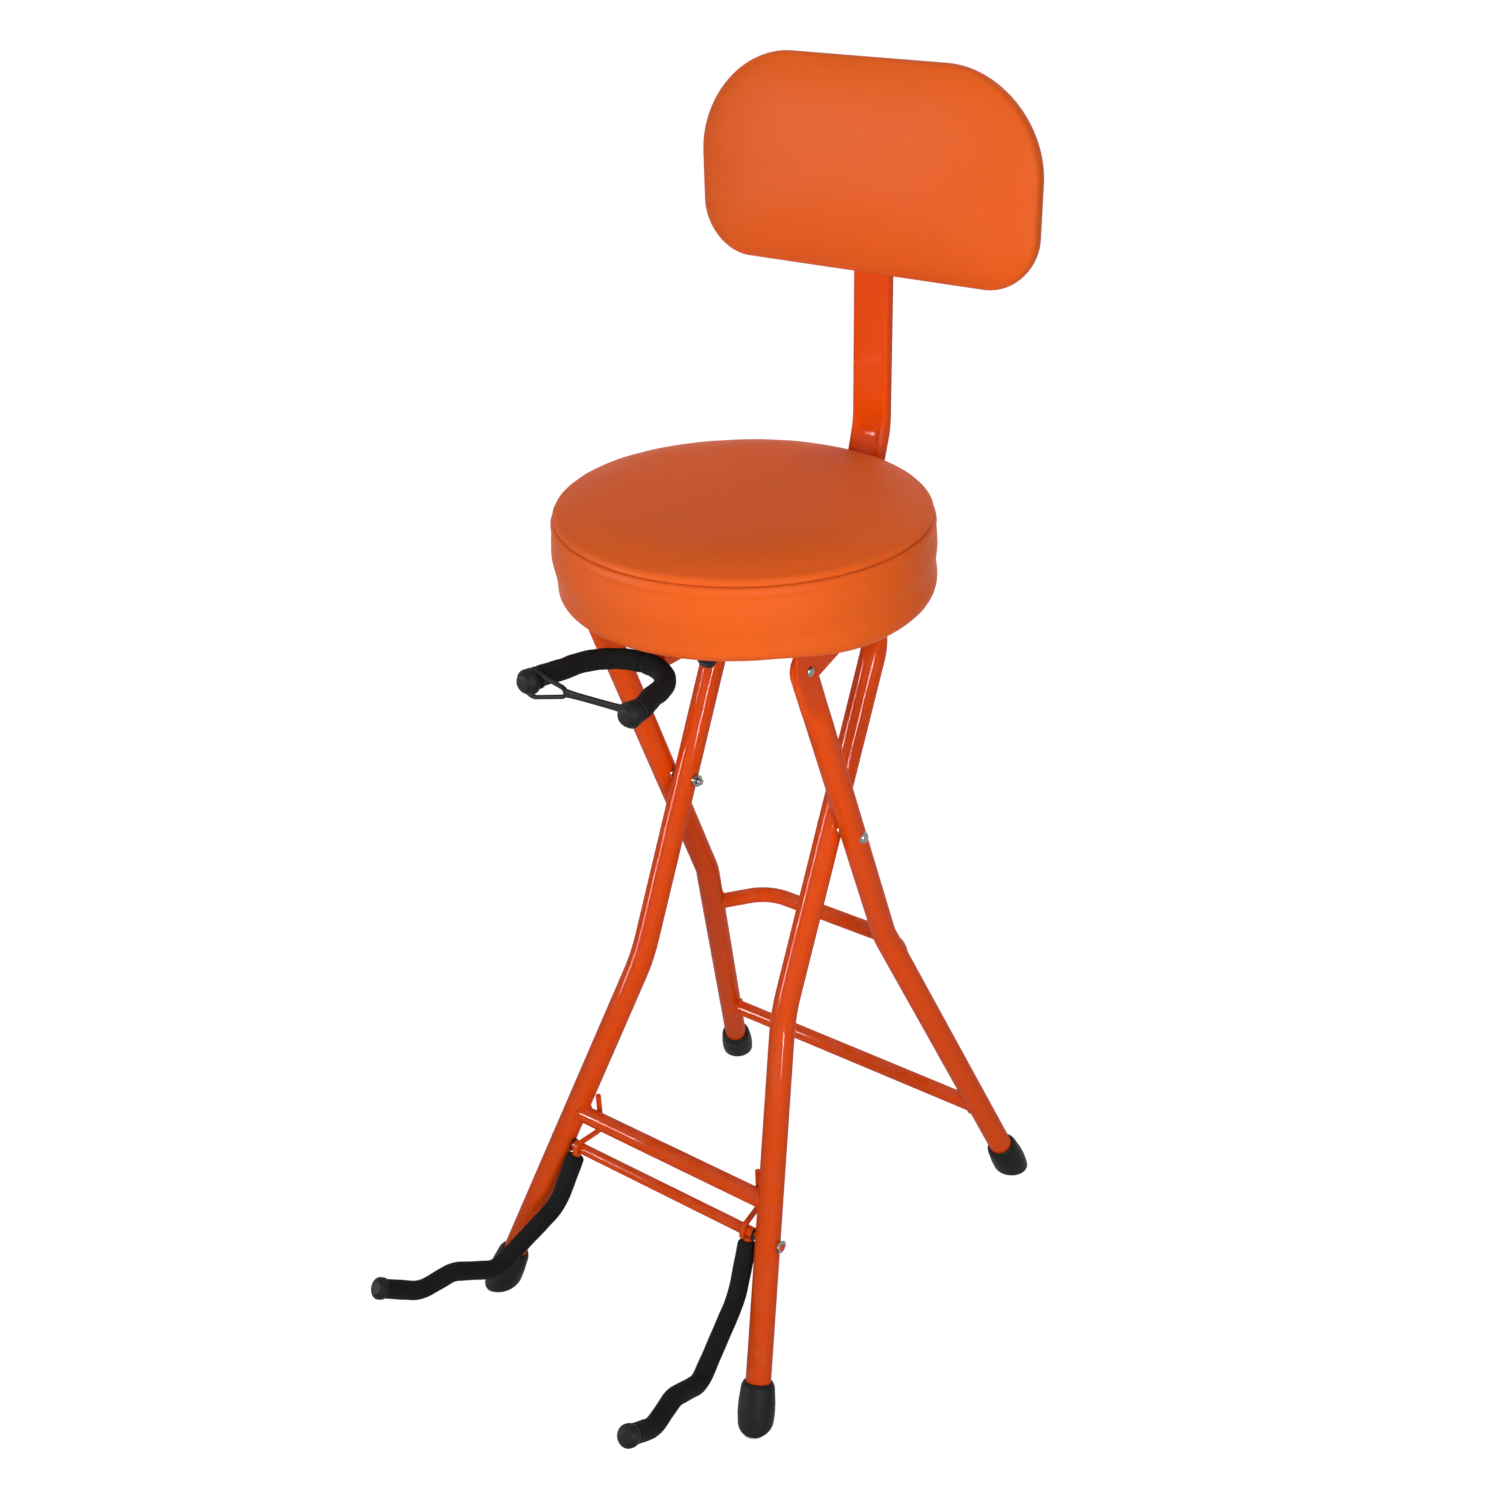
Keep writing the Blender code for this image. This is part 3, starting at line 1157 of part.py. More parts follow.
def fork_strap():
    """The rubber strap: a ring on one cap's waist, a stem, and a long loop that hangs on the other's."""
    ahead = FORK_REACH + SEAT_GAP + CAP_COLLAR_LENGTH + (CAP_NECK_LENGTH - STRAP_THICKNESS) / 2
    eye_hole = CAP_NECK_DIAMETER / 2 + SEAT_GAP
    eye_rim = eye_hole + STRAP_BAND
    loop_hole = eye_hole + STRAP_DROP
    loop_rim = loop_hole + STRAP_BAND
    eye = (FORK_HALF, 0.0)
    loop = (-FORK_HALF, -STRAP_DROP)
    tip = STRAP_LOOP_TIP_RADIUS
    reach = STRAP_LOOP_LENGTH - loop_rim
    nose = (loop[0] + reach, loop[1] * (1 - reach / (FORK_HALF * 2)))
    shoulder = tip + STRAP_BAND
    blunt = math.pi / 2 - math.asin((loop_rim - shoulder) / reach)
    half_stem = STRAP_STEM_WIDTH / 2
    open_angle = math.asin(half_stem / eye_rim)
    neck = (nose[0] + shoulder * 1.25, nose[1] * 0.9)
    outline = arc_points(eye, eye_rim, math.pi + open_angle, math.pi * 3 - open_angle, 12)
    outline.append((neck[0], neck[1] + half_stem))
    outline += arc_points(loop, loop_rim, blunt, math.tau - blunt, 12)
    outline.append((neck[0], neck[1] - half_stem))
    rings = [[fork_place(x, ahead + t, z) for x, z in outline] for t in (0.0, STRAP_THICKNESS)]
    strap = add_object("fork_strap", *skin(rings), BLACK_RUBBER, ROOTS["fork"])
    slot = arc_points(loop, loop_hole, blunt, math.tau - blunt, 10) + arc_points(nose, tip, -blunt, blunt, 4)
    hole = arc_points(eye, eye_hole, 0.0, math.tau, 12)[:-1]
    low, high = ahead - CUT_OVERRUN, ahead + STRAP_THICKNESS + CUT_OVERRUN
    bodies = [skin([[fork_place(x, t, z) for x, z in shape] for t in (low, high)]) for shape in (slot, hole)]
    boolean(strap, cutter("fork_strap_slots", bodies), "DIFFERENCE")


def fork_socket():
    """The sleeve under the seat that takes the fork's stem, hung from a plate by a web."""
    back = FORK_BACK_REACH - SOCKET_FRONT_REACH
    path = [fork_place(0, -back - SOCKET_LENGTH), fork_place(0, -back)]
    bore = FORK_STEM_DIAMETER / 2 + RUNNING_GAP
    outer = rings_along(path, circle(SOCKET_DIAMETER / 2, TUBE_SIDES), (1, 0, 0))
    inner = rings_along(path, circle(bore, TUBE_SIDES), (1, 0, 0))
    sleeve = add_object("fork_socket", *hollow(outer, inner), ORANGE_POWDER, ROOTS["seat"])
    top = SEAT_UNDERSIDE - SEAT_GAP
    low = path[0].z + (SOCKET_DIAMETER / 2 + bore) / 2
    half = SOCKET_PLATE_WIDTH / 2
    web = SOCKET_WEB / 2
    section = [
        (-web, low), (web, low), (web, top - PLATE_THICKNESS), (half, top - PLATE_THICKNESS),
        (half, top), (-half, top), (-half, top - PLATE_THICKNESS), (-web, top - PLATE_THICKNESS),
    ]
    rings = [[Vector((x, point.y, z)) for x, z in section] for point in path]
    boolean(sleeve, cutter("fork_socket_hanger", [skin(rings)]), "UNION")
    centre = fork_place(0, -back - SOCKET_LENGTH / 2)
    far = Vector((SOCKET_DIAMETER, 0, 0))
    drill(sleeve, [(centre, centre + far, KNOB_SCREW_DIAMETER / 2 + RUNNING_GAP)])
    clamp_knob(centre)


def clamp_knob(centre):
    """The lobed knob whose screw clamps the fork's stem in its socket."""
    start = FORK_STEM_DIAMETER / 2 + RUNNING_GAP
    near = SOCKET_DIAMETER / 2 + KNOB_STANDOFF
    screw = KNOB_SCREW_DIAMETER / 2
    sides = KNOB_LOBES * 4
    rim = KNOB_DIAMETER / 2
    stations = (
        (start, screw, 0.0), (near, screw, 0.0), (near, rim * 0.82, KNOB_LOBE_DEPTH * 0.5),
        (near + KNOB_LENGTH * 0.15, rim - KNOB_LOBE_DEPTH, KNOB_LOBE_DEPTH),
        (near + KNOB_LENGTH * 0.8, rim - KNOB_LOBE_DEPTH, KNOB_LOBE_DEPTH),
        (near + KNOB_LENGTH, rim * 0.75, KNOB_LOBE_DEPTH * 0.4),
    )
    rings = []
    for along, radius, lobe in stations:
        ring = []
        for j in range(sides):
            angle = math.tau * j / sides
            reach = radius + lobe * math.cos(KNOB_LOBES * angle)
            ring.append(centre + Vector((along, reach * math.cos(angle), reach * math.sin(angle))))
        rings.append(ring)
    add_object("clamp_knob", *skin(rings), BLACK_NYLON, ROOTS["knob"])


def support_axle():
    """The rod across the front legs that carries both guitar arms.

    A washer lies inside each leg. The left end is peened flush and the right end has a nut.
    """
    centre = Vector((0, front_y(AXLE_HEIGHT), AXLE_HEIGHT))
    slope = (FRONT_FOOT_HALF - FRONT_LEG_HALF) / FRONT_KNEE_HEIGHT
    leg_half = TUBE_RADIUS * math.sqrt(1 + slope * slope)
    washer = AXLE_WASHER_DIAMETER / 2
    inner = front_x(AXLE_HEIGHT) - leg_half - slope * washer - RUNNING_GAP
    outer = front_x(AXLE_HEIGHT) + leg_half + slope * AXLE_NUT_FLATS / 2 + RUNNING_GAP
    left_end = front_x(AXLE_HEIGHT) + leg_half + AXLE_PEENED_END
    right_end = outer + AXLE_NUT_LENGTH + AXLE_THREAD_END
    shoulder = inner - AXLE_WASHER_LENGTH - SEAT_GAP
    thick = AXLE_DIAMETER / 2
    thin = AXLE_END_DIAMETER / 2
    halves = []
    for end in (left_end, right_end):
        halves.append([(end, 0.0), (end, thin * 0.7), (end - thin * 0.3, thin), (shoulder, thin), (shoulder, thick)])
    profile = [(-x, r) for x, r in halves[0]] + halves[1][::-1]
    turned("support_axle", profile, centre, (1, 0, 0), BAR_SIDES, ORANGE_POWDER, ROOTS["support"])
    bore = thin + SEAT_GAP
    hex_nut(
        "axle_nut", centre + Vector((outer, 0, 0)), (1, 0, 0), AXLE_NUT_FLATS, AXLE_NUT_LENGTH, bore, ZINC,
        ROOTS["support"],
    )
    for side in (1, -1):
        ring = [(shoulder + SEAT_GAP, bore), (shoulder + SEAT_GAP, washer), (inner, washer), (inner, bore)]
        turned(
            "axle_washer_" + mirrored(side), ring, centre, (side, 0, 0), BAR_SIDES, BLACK_NYLON, ROOTS["support"],
        )


def arm_corners(side):
    """Corners of a guitar arm's centre line, from the axle to the tip."""
    axle = Vector((side * ARM_ROOT_HALF, front_y(AXLE_HEIGHT), AXLE_HEIGHT))
    out = Vector((side * math.sin(ARM_SPLAY), -math.cos(ARM_SPLAY), 0))
    stretch = ARM_REACH / math.cos(ARM_SPLAY)
    corners = [axle]
    for reach_share, dip_share in ARM_CORNER_SHARES:
        corners.append(axle + out * stretch * reach_share - Vector((0, 0, ARM_DIP * dip_share)))
    return corners


def guitar_arm(side):
    """A bent rod under a foam sleeve, with a rubber plug on its tip."""
    word = mirrored(side)
    corners = arm_corners(side)
    first = (corners[1] - corners[0]).normalized()
    last = (corners[-1] - corners[-2]).normalized()
    plane = Vector((math.cos(ARM_SPLAY), side * math.sin(ARM_SPLAY), 0))
    tip = corners[-1]
    rod_corners = [corners[0] + first * (AXLE_DIAMETER / 2 + SEAT_GAP)] + corners[1:-1] + [tip]
    rod_path = fillet(rod_corners, ARM_BEND_RADII)
    round_tube(
        "arm_rod_" + word, rod_path, ARM_ROD_DIAMETER, None, WIRE_SIDES, ORANGE_POWDER, ROOTS["support"],
        reference=plane,
    )
    foam_end = tip - last * (ARM_TIP_SOCKET + SEAT_GAP)
    foam_corners = [corners[0] + first * ARM_FOAM_START] + corners[1:-1] + [foam_end]
    foam_path = fillet(foam_corners, ARM_BEND_RADII)
    bore = ARM_ROD_DIAMETER / 2 + SEAT_GAP
    outer = rings_along(foam_path, circle(FOAM_RADIUS, FOAM_SIDES), plane)
    inner = rings_along(foam_path, circle(bore, FOAM_SIDES), plane)
    add_object("arm_foam_" + word, *hollow(outer, inner), BLACK_FOAM, ROOTS["support"])
    radius = ARM_TIP_DIAMETER / 2
    length = ARM_TIP_LENGTH
    socket = ARM_TIP_SOCKET + SEAT_GAP
    profile = [(socket, 0.0), (socket, bore), (0.0, bore), (0.0, radius), (length * 0.55, radius)]
    profile += [(length * 0.85, radius * 0.85), (length, radius * 0.5), (length, 0.0)]
    turned("arm_tip_" + word, profile, tip - last * ARM_TIP_SOCKET, last, TUBE_SIDES, BLACK_RUBBER, ROOTS["support"])


def stop_wire(side):
    """The bent wire on the axle that bears on the back of the footrest and stops the arms."""
    axle = Vector((side * WIRE_HALF, front_y(AXLE_HEIGHT), AXLE_HEIGHT))
    radius = WIRE_DIAMETER / 2
    clear = AXLE_DIAMETER / 2 + SEAT_GAP + radius
    behind = front_y(FOOTREST_HEIGHT) + FOOTREST_DIAMETER / 2 + SEAT_GAP + radius
    upper = side * WIRE_TOP_HALF
    corners = [
        Vector((axle.x, axle.y - clear, axle.z - WIRE_TAIL)),
        Vector((axle.x, axle.y - clear, axle.z + clear)),
        Vector((upper, behind, axle.z + clear)),
        Vector((upper, behind, FOOTREST_HEIGHT + WIRE_RISE)),
    ]
    path = fillet(corners, (WIRE_BEND_RADIUS, WIRE_BEND_RADIUS))
    round_tube(
        "stop_wire_" + mirrored(side), path, WIRE_DIAMETER, None, WIRE_SIDES, ORANGE_POWDER, ROOTS["support"],
        reference=(1, 0, 0),
    )


def place_on_floor_centre():
    """Move the whole model so that its origin is below the middle of its box, on the floor."""
    bpy.context.view_layer.update()
    graph = bpy.context.evaluated_depsgraph_get()
    low = np.full(3, np.inf)
    high = np.full(3, -np.inf)
    for thing in bpy.context.scene.objects:
        if thing.type != "MESH" or thing.hide_render:
            continue
        shape = thing.evaluated_get(graph)
        mesh = shape.to_mesh()
        points = np.empty(len(mesh.vertices) * 3)
        mesh.vertices.foreach_get("co", points)
        shape.to_mesh_clear()
        world = np.array(thing.matrix_world)
        points = points.reshape(-1, 3) @ world[:3, :3].T + world[:3, 3]
        low = np.minimum(low, points.min(axis=0))
        high = np.maximum(high, points.max(axis=0))
    middle = (low + high) / 2
    ROOTS["model"].location = (-middle[0], -middle[1], -low[2])
    print("model shifted by %.6f %.6f %.6f m" % tuple(ROOTS["model"].location))


def main():
    """Build every piece on the empty that carries it."""
    clear_scene()
    ROOTS["model"] = add_empty("stool_model", (0, 0, 0))
    ROOTS["front"] = add_empty("front_frame_root", (0, 0, 0), ROOTS["model"])
    ROOTS["rear"] = add_empty("rear_frame_hinge", (0, 0, PIVOT_HEIGHT), ROOTS["model"])
    ROOTS["seat"] = add_empty("seat_hinge", (0, rear_y(RIVET_HEIGHT), RIVET_HEIGHT), ROOTS["rear"])
    ROOTS["fork"] = add_empty("fork_swivel", fork_place(0, 0), ROOTS["seat"])
    knob = fork_place(0, SOCKET_FRONT_REACH - FORK_BACK_REACH - SOCKET_LENGTH / 2)
    ROOTS["knob"] = add_empty("knob_screw", knob, ROOTS["seat"])
    ROOTS["support"] = add_empty("support_hinge", (0, front_y(AXLE_HEIGHT), AXLE_HEIGHT), ROOTS["front"])
    front_frame()
    straight_bar("footrest", FOOTREST_HEIGHT, FOOTREST_DIAMETER, front_point, ROOTS["front"])
    straight_bar("rear_low_bar", LOW_BAR_HEIGHT, LOW_BAR_DIAMETER, rear_point, ROOTS["rear"])
    bow_bar()
    backrest_post()
    post_fasteners()
    backrest_pieces()
    seat_board()
    seat_cushion()
    seat_screws()
    fork_socket()
    neck_fork()
    support_axle()
    for side in (-1, 1):
        word = mirrored(side)
        rubber_foot("front_foot_" + word, front_point(0.0, side), front_point(FRONT_KNEE_HEIGHT, side), ROOTS["front"])
        rubber_foot("rear_foot_" + word, rear_point(0.0, side), rear_point(REAR_KNEE_HEIGHT, side), ROOTS["rear"])
        rear_leg(side)
        pivot_bolt(side)
        seat_bracket(side)
        seat_rivet(side)
        seat_saddle(side)
        guitar_arm(side)
        stop_wire(side)
    place_on_floor_centre()


main()
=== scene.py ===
"""Looks of the folding guitar stool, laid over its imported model.

Every sub-assembly is a class with its sizes in metres. Its pieces are grids of points worked out
with numpy: a section carried along a path, a profile turned round an axis, or a sheet of two
parameters. Lengths are in metres, +Z is up and the guitar side faces -Y.
"""

import json
import logging
import math
from collections.abc import Callable, Sequence
from dataclasses import dataclass
from enum import Enum

import bpy
import numpy as np
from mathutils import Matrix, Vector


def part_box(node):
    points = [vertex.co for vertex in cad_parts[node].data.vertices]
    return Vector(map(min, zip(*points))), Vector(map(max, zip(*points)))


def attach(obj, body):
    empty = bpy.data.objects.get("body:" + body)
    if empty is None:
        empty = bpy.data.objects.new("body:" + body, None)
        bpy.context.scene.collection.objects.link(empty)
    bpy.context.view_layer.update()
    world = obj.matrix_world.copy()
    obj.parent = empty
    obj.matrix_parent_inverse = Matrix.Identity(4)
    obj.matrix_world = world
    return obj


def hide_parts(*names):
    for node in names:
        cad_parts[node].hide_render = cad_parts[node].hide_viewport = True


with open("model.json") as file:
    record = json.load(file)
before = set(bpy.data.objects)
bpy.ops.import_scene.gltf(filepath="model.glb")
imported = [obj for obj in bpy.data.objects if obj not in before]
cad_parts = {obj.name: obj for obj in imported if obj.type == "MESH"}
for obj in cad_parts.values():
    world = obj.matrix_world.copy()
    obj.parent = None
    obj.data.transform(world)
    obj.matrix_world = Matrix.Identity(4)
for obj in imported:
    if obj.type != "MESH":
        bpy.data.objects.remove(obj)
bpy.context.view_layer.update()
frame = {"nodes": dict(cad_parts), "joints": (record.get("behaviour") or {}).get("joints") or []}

Array = np.ndarray
Thing = bpy.types.Object
Socket = bpy.types.NodeSocket
Material = bpy.types.Material
Colour = tuple[float, float, float, float]

GAP = 0.0003  # left between two pieces that touch
TINY = 1e-9  # keeps a division from dividing by zero
SCREW_HEAD = 0.0095, 0.0026  # diameter and height of a wood screw's head

log = logging.getLogger("guitar_stool")


class Side(Enum):
    """A side of the stool as the sitter sees it from the front."""

    LEFT = -1
    RIGHT = 1

    @property
    def word(self) -> str:
        """The side's word in the names of its pieces."""
        return self.name.lower()


class Body(Enum):
    """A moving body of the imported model."""

    FRONT = "front_frame"
    REAR = "rear_frame"
    SEAT = "seat"
    FORK = "neck_fork"
    KNOB = "clamp_knob"
    SUPPORT = "guitar_support"


class Ends(Enum):
    """How the first and the last row of a grid are closed."""

    POINT = "each drawn together in one point"
    RING = "joined to each other"


@dataclass(frozen=True)
class Stance:
    """The scissor frame's main sizes: the legs' centre lines, straight above and below a knee."""

    pivot_height: float = 0.4606
    front_reach: float = 0.2345
    rear_reach: float = 0.1741
    front_half: float = 0.078
    front_foot_half: float = 0.1492
    front_knee: float = 0.3104
    rear_half: float = 0.1018
    rear_foot_half: float = 0.1721
    rear_knee: float = 0.3268
    rear_flare: float = 0.012
    rivet_height: float = 0.6465
    crossbar_height: float = 0.641
    tube: float = 0.0222

    @property
    def origin(self) -> Array:
        """The point of the floor below the pivots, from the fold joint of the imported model."""
        fold = next(joint for joint in frame["joints"] if joint["name"] == "frame_fold")
        return np.array(fold["pos_m"]) - (0.0, 0.0, self.pivot_height)

    def at(self, x: float, y: float, z: float) -> Array:
        """A point given from below the pivots."""
        return self.origin + (x, y, z)

    def front_y(self, height: float) -> float:
        """Depth of the front frame's plane: a straight lean through the pivots."""
        return self.front_reach * (height / self.pivot_height - 1.0)

    def rear_y(self, height: float) -> float:
        """Depth of the rear legs' plane: a straight lean through the pivots."""
        return self.rear_reach * (1.0 - height / self.pivot_height)

    def front(self, height: float, side: Side) -> Array:
        """A point on a front leg's centre line: upright above the knee, splayed below it.

        Args:
            height: Its height over the floor.
            side: The leg's side.

        Returns:
            The point.
        """
        share = max(0.0, 1.0 - height / self.front_knee)
        half = self.front_half + (self.front_foot_half - self.front_half) * share
        return self.at(side.value * half, self.front_y(height), height)

    def rear(self, height: float, side: Side) -> Array:
        """A point on a rear leg's centre line: a slight flare above the knee, a splay below it.

        Args:
            height: Its height over the floor.
            side: The leg's side.

        Returns:
            The point.
        """
        knee_half = self.rear_half - self.rear_flare * (self.pivot_height - self.rear_knee)
        half = knee_half + self.rear_flare * (height - self.rear_knee)
        if height < self.rear_knee:
            half = knee_half + (self.rear_foot_half - knee_half) * (1.0 - height / self.rear_knee)
        return self.at(side.value * half, self.rear_y(height), height)


STANCE = Stance()


# Shapes


def unit(vectors: Array) -> Array:
    """One vector or an array of them, components last, divided by their own length."""
    vectors = np.asarray(vectors, float)
    return vectors / np.linalg.norm(vectors, axis=-1, keepdims=True)


def bend(corners: Sequence[Array], radii: Sequence[float], step: float = 0.07) -> Array:
    """Straight runs joined by arcs.

    At each inner corner the arc of radius r starts r * tan(turn / 2) before the corner and its
    points are centre + r * (arrive * sin(a) - inward * cos(a)) for a from zero to the turn.

    Args:
        corners: The corner points, in two or three dimensions.
        radii: A radius for each inner corner.
        step: The largest angle between two points of an arc, in radians.

    Returns:
        The points of the rounded line, first to last.
    """
    corners = np.asarray(corners, float)
    runs = [corners[:1]]
    for before, corner, after, radius in zip(corners, corners[1:], corners[2:], radii):
        arrive, leave = unit(corner - before), unit(after - corner)
        turn = math.acos(float(np.clip(arrive @ leave, -1.0, 1.0)))
        if turn < 0.002 or radius == 0:
            runs.append(corner[None])
            continue
        start = corner - arrive * radius * math.tan(turn / 2)
        inward = unit(leave - arrive * (leave @ arrive))
        angles = np.linspace(0.0, turn, max(2, math.ceil(turn / step)) + 1)[:, None]
        runs.append(start + radius * (inward + arrive * np.sin(angles) - inward * np.cos(angles)))
    runs.append(corners[-1:])
    return np.concatenate(runs)


def spaced(line: Array, count: int) -> Array:
    """Points at equal distances along a line.

    Args:
        line: Points joined by straight runs.
        count: How many points to return.

    Returns:
        Points whose distance along the line grows evenly from its start to its end.
    """
    run = run_of(line)
    places = np.linspace(0.0, run[-1], count)
    return np.stack([np.interp(places, run, axis) for axis in line.T], axis=1)


def run_of(line: Array) -> Array:
    """Distance of each point of a line from its start, along the line."""
    return np.concatenate([[0.0], np.cumsum(np.linalg.norm(np.diff(line, axis=0), axis=1))])


def even_angles(count: int, shift: float = 0.5) -> Array:
    """Even angles round a circle, the first one a share of a step past zero."""
    return math.tau * (np.arange(count) + shift) / count


def circle(angles: Array) -> Array:
    """Points (cos a, sin a) of the unit circle, components last."""
    return np.stack([np.cos(angles), np.sin(angles)], axis=-1)


def round_section(radius: float, sides: int = 32) -> Array:
    """Section of a round rod: radius * (cos a, sin a)."""
    return radius * circle(even_angles(sides))


def oval_section(thickness: float, width: float, sides: int = 32) -> Array:
    """Section of a pressed tube, thickness along its first axis.

    A point turns round half circles of half the thickness, whose centres stand apart by the
    width less the thickness: (r * cos a, r * sin a + sign(sin a) * reach), eased through the
    flats by the share |sin a| so that the points stay in step with those of a round section.

    Args:
        thickness: The distance between the two flats.
        width: The whole width over the rounded edges.
        sides: The number of points.

    Returns:
        The section's points, in step with round_section.
    """
    radius, reach = thickness / 2, max(width - thickness, 0.0) / 2
    angles = even_angles(sides)
    high = np.sin(angles)
    ease = np.sign(high) * np.minimum(1.0, np.abs(high) / 0.7)
    edge = np.clip((np.abs(high) - 0.7) / 0.3, 0.0, 1.0) * math.pi / 2
    across = np.sign(np.cos(angles)) * radius * np.cos(edge)
    return np.stack([across, ease * reach + np.sign(high) * radius * np.sin(edge)], axis=1)


def box_section(width: float, depth: float, radius: float, steps: int = 6) -> Array:
    """Section of a flat-sided tube with rounded corners, width along the first axis.

    Args:
        width: The size along the first axis.
        depth: The size along the second axis.
        radius: The radius of the four corners.
        steps: The number of steps in each corner's arc.

    Returns:
        Corner centre + radius * (cos a, sin a), a quarter turn for each corner.
    """
    turns = np.linspace(0.0, 0.5, steps + 1)
    angles = math.pi * (turns[None] + np.array([0.0, 0.5, 1.0, 1.5])[:, None])
    centres = np.array([(1, 1), (-1, 1), (-1, -1), (1, -1)]) * (width / 2 - radius, depth / 2 - radius)
    return (centres[:, None] + radius * circle(angles)).reshape(-1, 2)


def carried(path: Array, along: Array, section: Array, reference: Sequence[float]) -> Array:
    """Lays a section at each point of a path: row i is path[i] + side * u + up * v.

    The side is the reference less its share along the path, and up is square to both.

    Args:
        path: The centre line, one point a row.
        along: The path's direction at each point.
        section: One section for the whole path, or one for each of its points.
        reference: A direction that is never along the path.

    Returns:
        A grid of points, rows along the path and columns round the section.
    """
    fixed = np.asarray(reference, float)
    side = unit(fixed - along * (along @ fixed)[:, None])
    up = np.cross(along, side)
    section = np.broadcast_to(section, (len(path), *section.shape[-2:]))
    return path[:, None] + side[:, None] * section[..., :1] + up[:, None] * section[..., 1:]


def sweep(path: Array, section: Array, reference: Sequence[float]) -> Array:
    """Carries a section along an open path, square to the mean of its runs before and after.

    Args:
        path: The centre line.
        section: One section, or one for each point.
        reference: A direction that is never along the path.

    Returns:
        A grid of points to close with Ends.POINT.
    """
    ahead = np.diff(path, axis=0, append=path[-1:])
    behind = np.diff(path, axis=0, prepend=path[:1])
    ahead[-1], behind[0] = behind[-1], ahead[0]
    return carried(path, unit(unit(ahead) + unit(behind)), section, reference)


def loop_sweep(path: Array, section: Array, reference: Sequence[float]) -> Array:
    """Carries a section round a closed path, to close with Ends.RING."""
    along = unit(np.roll(path, -1, axis=0) - np.roll(path, 1, axis=0))
    return carried(path, along, section, reference)


def turned(profile: Array, place: Array, axis: Sequence[float], sides: int = 40) -> Array:
    """Turns a profile round an axis: place + axis * along + radius * (side * cos a + up * sin a).

    Args:
        profile: Rows of (distance along the axis, radius).
        place: The point of the axis where the distance is zero.
        axis: The axis's direction.
        sides: The number of columns round the axis.

    Returns:
        A grid of points, rows along the profile and columns round the axis.
    """
    axis = unit(axis)
    level = np.array([0.0, 1.0, 0.0]) if abs(axis[1]) < 0.8 else np.array([0.0, 0.0, 1.0])
    side = unit(level - axis * (axis @ level))
    angles = even_angles(sides)
    rays = side * np.cos(angles)[:, None] + np.cross(axis, side) * np.sin(angles)[:, None]
    profile = np.asarray(profile, float)
    return place + axis * profile[:, :1, None] + rays * profile[:, 1:, None]


def linked(name: str, data: bpy.types.ID) -> Thing:
    """Makes an object and links it to the scene.

    Args:
        name: Its name.
        data: Its mesh, lamp or camera.

    Returns:
        The object.
    """
    thing = bpy.data.objects.new(name, data)
    bpy.context.scene.collection.objects.link(thing)
    return thing


def mesh_object(name: str, rows: Array, ends: Ends) -> Thing:
    """A closed mesh of a grid's points, its faces turned outwards by the sign of its volume.

    Args:
        name: The object's name.
        rows: Its grid of points.
        ends: How its first and last rows are closed.

    Returns:
        The new object, linked to the scene.
    """
    count, size = rows.shape[:2]
    index = np.arange(count * size).reshape(count, size)
    ring = ends is Ends.RING
    near = index if ring else index[:-1]
    far = np.roll(index, -1, axis=0) if ring else index[1:]
    quads = np.stack([near, np.roll(near, -1, axis=1), np.roll(far, -1, axis=1), far], axis=2)
    quads = quads.reshape(-1, 4)
    points = rows.reshape(-1, 3)
    fans = []
    for row, turn in () if ring else ((index[0], -1), (index[-1], 1)):
        tip = np.full(size, len(points))
        points = np.concatenate([points, points[row].mean(axis=0, keepdims=True)])
        fans.append(np.stack([row, np.roll(row, -1), tip], axis=1)[:, ::turn])
    volume = sum(np.einsum("ij,ij->", points[a], np.cross(points[b], points[c]))
                 for a, b, c in (quads.T[[0, 1, 2]], quads.T[[0, 2, 3]], *(fan.T for fan in fans)))
    flip = -1 if volume < 0 else 1
    faces = [quads[:, ::flip].tolist()] + [fan[:, ::flip].tolist() for fan in fans]
    mesh = bpy.data.meshes.new(name)
    mesh.from_pydata(points.tolist(), [], [face for part in faces for face in part])
    mesh.validate()
    mesh.shade_smooth()
    mesh.set_sharp_from_angle(angle=math.radians(38.0))
    return linked(name, mesh)


def points_of(mesh: bpy.types.Mesh) -> Array:
    """The points of a mesh.

    Args:
        mesh: The mesh.

    Returns:
        One row for each point.
    """
    points = np.empty(len(mesh.vertices) * 3)
    mesh.vertices.foreach_get("co", points)
    return points.reshape(-1, 3)


# Materials


